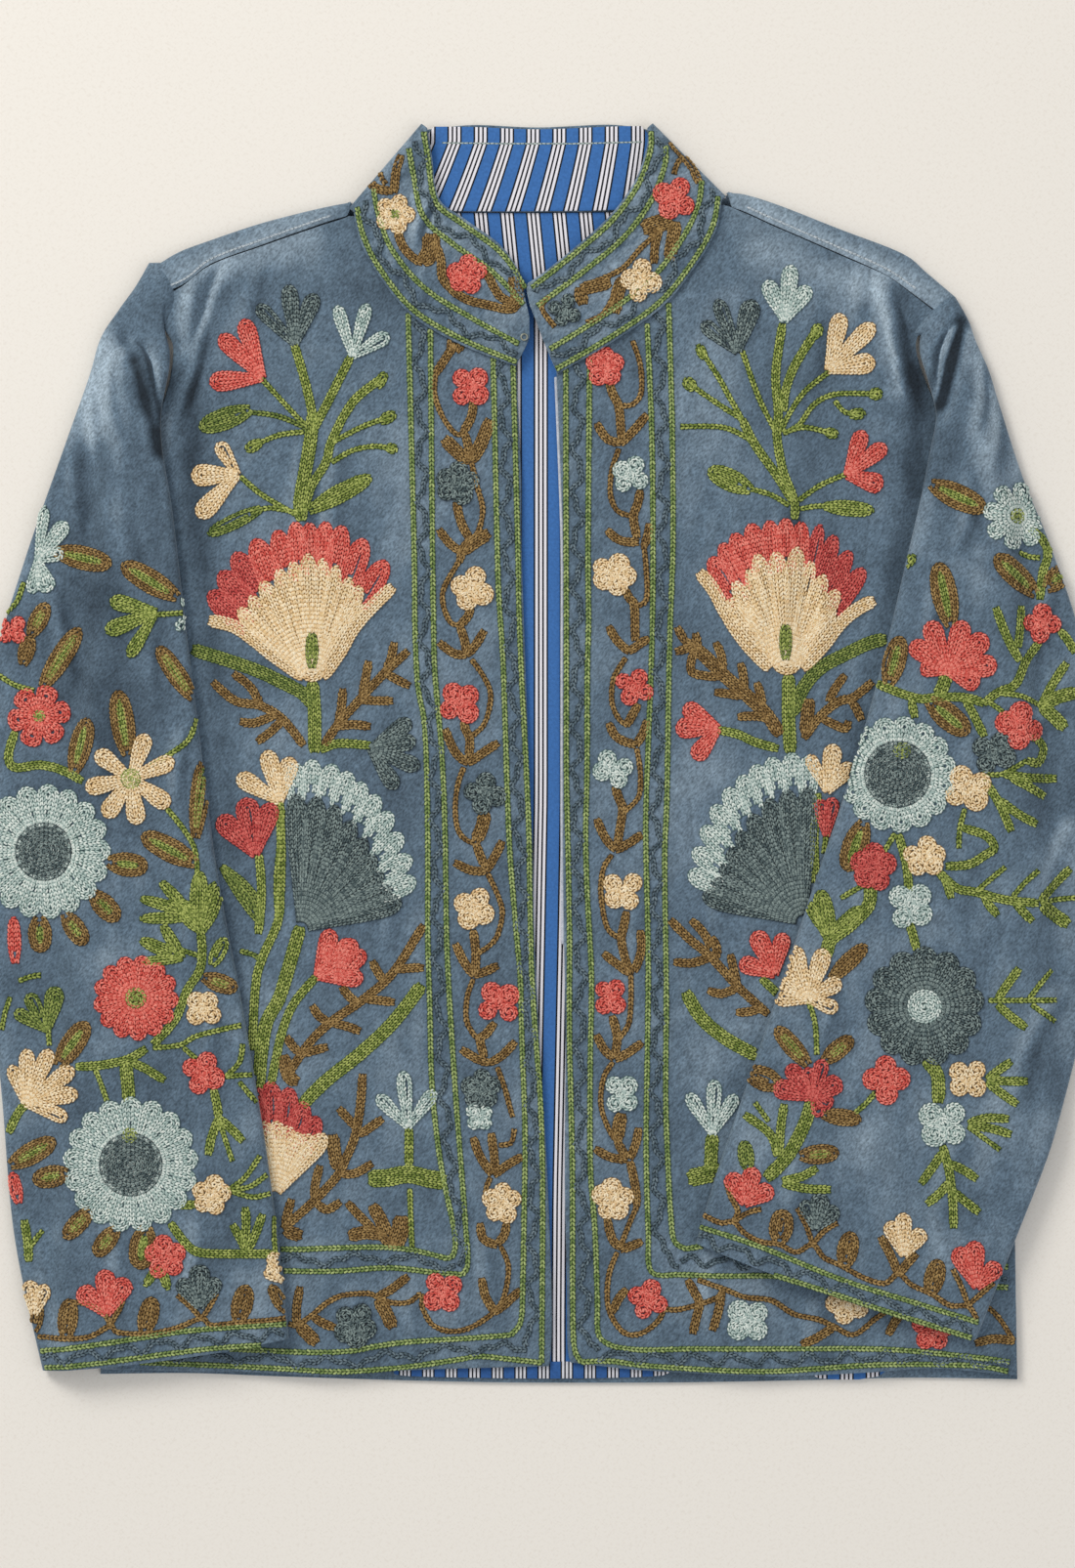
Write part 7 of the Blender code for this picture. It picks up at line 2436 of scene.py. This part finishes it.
def stitch_mesh(name, stitches):
    """All chain stitches of one wool: a sheet of painted shade, and two thick strands that thin out at both
    ends.
    """
    table = np.array(stitches)
    centre = table[:, 0:3]
    along = table[:, 3:6]
    upright = table[:, 6:9]
    width = table[:, 9:10]
    aside = np.cross(along, upright)
    rings = []
    # A flat sheet of painted shade under each stitch, which takes the darkest tone.
    for reach, side in ((-1, -1), (-1, 1), (1, 1), (1, -1)):
        offset = along * reach * SHADE_SHEET_REACH * STITCH_STEP * MM + aside * side * SHADE_SHEET_SIDE * width
        rings.append(centre + offset + upright * SHADE_SHEET_HEIGHT * MM)
    for side in (-1, 1):
        for share, out, height, radius in STRAND:
            middle = centre + along * share * STITCH_STEP * MM + aside * side * out * width
            middle = middle + upright * height * width
            if radius == 0.0:
                rings.append(middle)
                continue
            for across, up in STRAND_SECTION:
                rings.append(middle + (aside * across * side + upright * up) * radius * width)
    corners = np.stack(rings, axis=1)
    count = len(table)
    faces = [(0, 1, 2), (0, 2, 3)]
    for side in range(2):
        first = SHADE_SHEET_CORNERS + side * STRAND_CORNERS
        for step in range(2):
            near = first + 1 + step
            far = near + 3
            last = first + STRAND_CORNERS - 1
            strip = [
                (first, near + 1, near), (near, near + 1, far + 1),
                (near, far + 1, far), (far, far + 1, last),
            ]
            faces += strip if side == 1 else [face[::-1] for face in strip]
    faces = (np.array(faces)[None] + STITCH_CORNERS * np.arange(count)[:, None, None]).reshape(-1, 3)
    mesh = bpy.data.meshes.new(name)
    mesh.from_pydata(corners.reshape(-1, 3), [], faces)
    mesh.shade_smooth()
    # The sheet under each stitch keeps tone 0, painted shade; each strand gets a random tone, with painted
    # highlight on top and painted shade at its ends.
    tones = np.zeros((count, STITCH_CORNERS))
    for side in range(2):
        first = SHADE_SHEET_CORNERS + side * STRAND_CORNERS
        tone = table[:, 10 + side:11 + side]
        lit = (TONE_BASE + TONE_SPREAD * tone) * np.array(STRAND_PAINTED_LIGHT)
        tones[:, first:first + STRAND_CORNERS] = TONE_FLOOR + lit
    layer = mesh.attributes.new("tone", "FLOAT", "POINT")
    layer.data.foreach_set("value", tones.reshape(-1).astype(np.float32))
    return in_scene(name, mesh)


def make_embroidery(panels, pieces):
    """All the stitches, as one piece for each wool on each cloth."""
    tree, owners = cloth_tree(pieces)
    wools = {wool: chain_wool(wool, *colours) for wool, colours in WOOLS.items()}
    for (piece, wool), stitches in sorted(sew(panels, tree, owners).items()):
        obj = stitch_mesh(piece + "_" + wool + "_stitches", stitches)
        obj.data.materials.append(wools[wool])
        finish_piece(obj)


def collar_line(rows, share):
    """Points at one share of the way from the neck edge of the collar to its top edge."""
    return [(row[0] + (row[3] - row[0]) * share, row[1] + (row[4] - row[1]) * share) for row in rows]


def make_facing_edge():
    """The pale edge of the left front's facing, seen as a thin strip beside the velvet."""
    shares = [FACING_FROM + (FACING_TO - FACING_FROM) * share for share in even_shares(FACING_STEPS)]
    run = spread(LEFT_EDGE, shares)
    grid = np.array([[(x + place, y, FRONT_LEVEL) for place in FACING_EDGE] for x, y in run])
    finish_piece(cloth("left_facing_edge", grid, FACING_WALL, FACING))


def make_hem_facing():
    """The striped facing of the back hem, which lies on the lining and shows below both fronts, in painted
    shade.
    """
    along, up = HEM_FACING_STEPS
    low = spread(HEM_FACING_LOW, even_shares(along))
    grid = np.array([
        [(x, y + (HEM_FACING_TOP - y) * share, HEM_FACING_LEVEL) for x, y in low] for share in even_shares(up)
    ])
    stripes = (grid[..., 0] - HEM_STRIPES_START) * STRIPE_REPEAT / HEM_STRIPE_REPEAT
    finish_piece(cloth("hem_facing_cotton", grid, HEM_FACING_WALL, HEM_SHADED_COTTON, stripes=stripes))


def make_camera():
    """A long lens straight above the photograph's middle."""
    data = bpy.data.cameras.new("camera")
    data.sensor_width = SENSOR
    data.lens = SENSOR * CAMERA_DISTANCE / (PHOTO_HEIGHT * MM)
    data.clip_start, data.clip_end = CAMERA_CLIP
    camera = in_scene("camera", data)
    centre = in_world((*PHOTO_CENTRE, 0.0))
    camera.location = (centre[0], centre[1], CAMERA_AIM_HEIGHT + CAMERA_DISTANCE)
    bpy.context.scene.camera = camera


def make_lights():
    """The lamps and the even light of a pale room."""
    for name, place, size, power, colour in LAMPS:
        data = bpy.data.lights.new(name, "AREA")
        data.size = size
        data.energy = power
        data.color = linear(colour)[:3]
        lamp = in_scene(name, data)
        lamp.location = place
        lamp.rotation_euler = (-Vector(place)).to_track_quat("-Z", "Y").to_euler()
    world = bpy.data.worlds.new("studio")
    bpy.context.scene.world = world
    world.use_nodes = True
    background = world.node_tree.nodes["Background"]
    background.inputs["Color"].default_value = linear(ROOM_COLOUR)
    background.inputs["Strength"].default_value = ROOM_STRENGTH
    bpy.context.scene.view_settings.view_transform = "Standard"


def make_floor():
    """The pale surface that the jacket lies on."""
    maker = bmesh.new()
    bmesh.ops.create_grid(maker, x_segments=1, y_segments=1, size=FLOOR_REACH)
    mesh = bpy.data.meshes.new("floor")
    maker.to_mesh(mesh)
    maker.free()
    mesh.materials.append(plain_linen())
    in_scene("floor", mesh)


VELVET = cotton_velvet()
COTTON = striped_cotton("striped_cotton", STRIPE_BLUE, STRIPE_PALE)
HEM_SHADED_COTTON = striped_cotton("striped_hem_cotton", HEM_SHADED_BLUE, HEM_SHADED_PALE)
FACING = facing_cotton()

make_camera()
make_lights()
make_floor()

back = finish_piece(make_back(), "back")
back_lining = finish_piece(make_back_lining(), "back_lining")
front_right = make_front("front_right", RIGHT_SIDE, RIGHT_HEM, RIGHT_EDGE, RIGHT_TOP)
finish_piece(front_right, "front_right")
front_left = make_front("front_left", LEFT_SIDE, LEFT_HEM, LEFT_EDGE, LEFT_TOP)
finish_piece(front_left, "front_left")
sleeve_right = finish_piece(make_sleeve("sleeve_right", RIGHT_SIDE, RIGHT_SLEEVE), "sleeve_right")
sleeve_left = finish_piece(make_sleeve("sleeve_left", LEFT_SIDE, LEFT_SLEEVE), "sleeve_left")
collar = finish_piece(make_collar(), "collar")
collar_lining = finish_piece(make_collar_lining(), "collar_lining")
neck_loop = finish_piece(make_neck_loop(), "neck_loop")
neck_loop.data.materials.append(stiff_thread())

make_facing_edge()
make_hem_facing()

make_embroidery((
    (front_right, tucked_fan_rows(*TUCKED_FAN) + front_rows(
        RIGHT_FRONT, RIGHT_VINE_STEMS, RIGHT_VINE_FLOWERS, RIGHT_BORDERS, RIGHT_FAN, RIGHT_HALF_FAN, 1,
    )),
    (front_left, front_rows(
        LEFT_FRONT, LEFT_VINE_STEMS, LEFT_VINE_FLOWERS, LEFT_BORDERS, LEFT_FAN, LEFT_HALF_FAN, -1,
    )),
    (sleeve_right, panel_rows(*RIGHT_SLEEVE_MOTIFS) + border_rows((RIGHT_CUFF,))),
    (sleeve_left, panel_rows(*LEFT_SLEEVE_MOTIFS) + border_rows((LEFT_CUFF,))),
    (collar, collar_rows()),
    (collar_lining, [Row("pale_blue", COLLAR_TOPSTITCH_WIDTH, 0.0, COLLAR_TOPSTITCH)]),
    (back, [
        Row("seam_thread", SHOULDER_TOPSTITCH_WIDTH, 0.0, smooth(line, STEM_STEPS))
        for line in SHOULDER_TOPSTITCH
    ]),
), (back, back_lining, front_right, front_left, sleeve_right, sleeve_left, collar, collar_lining))
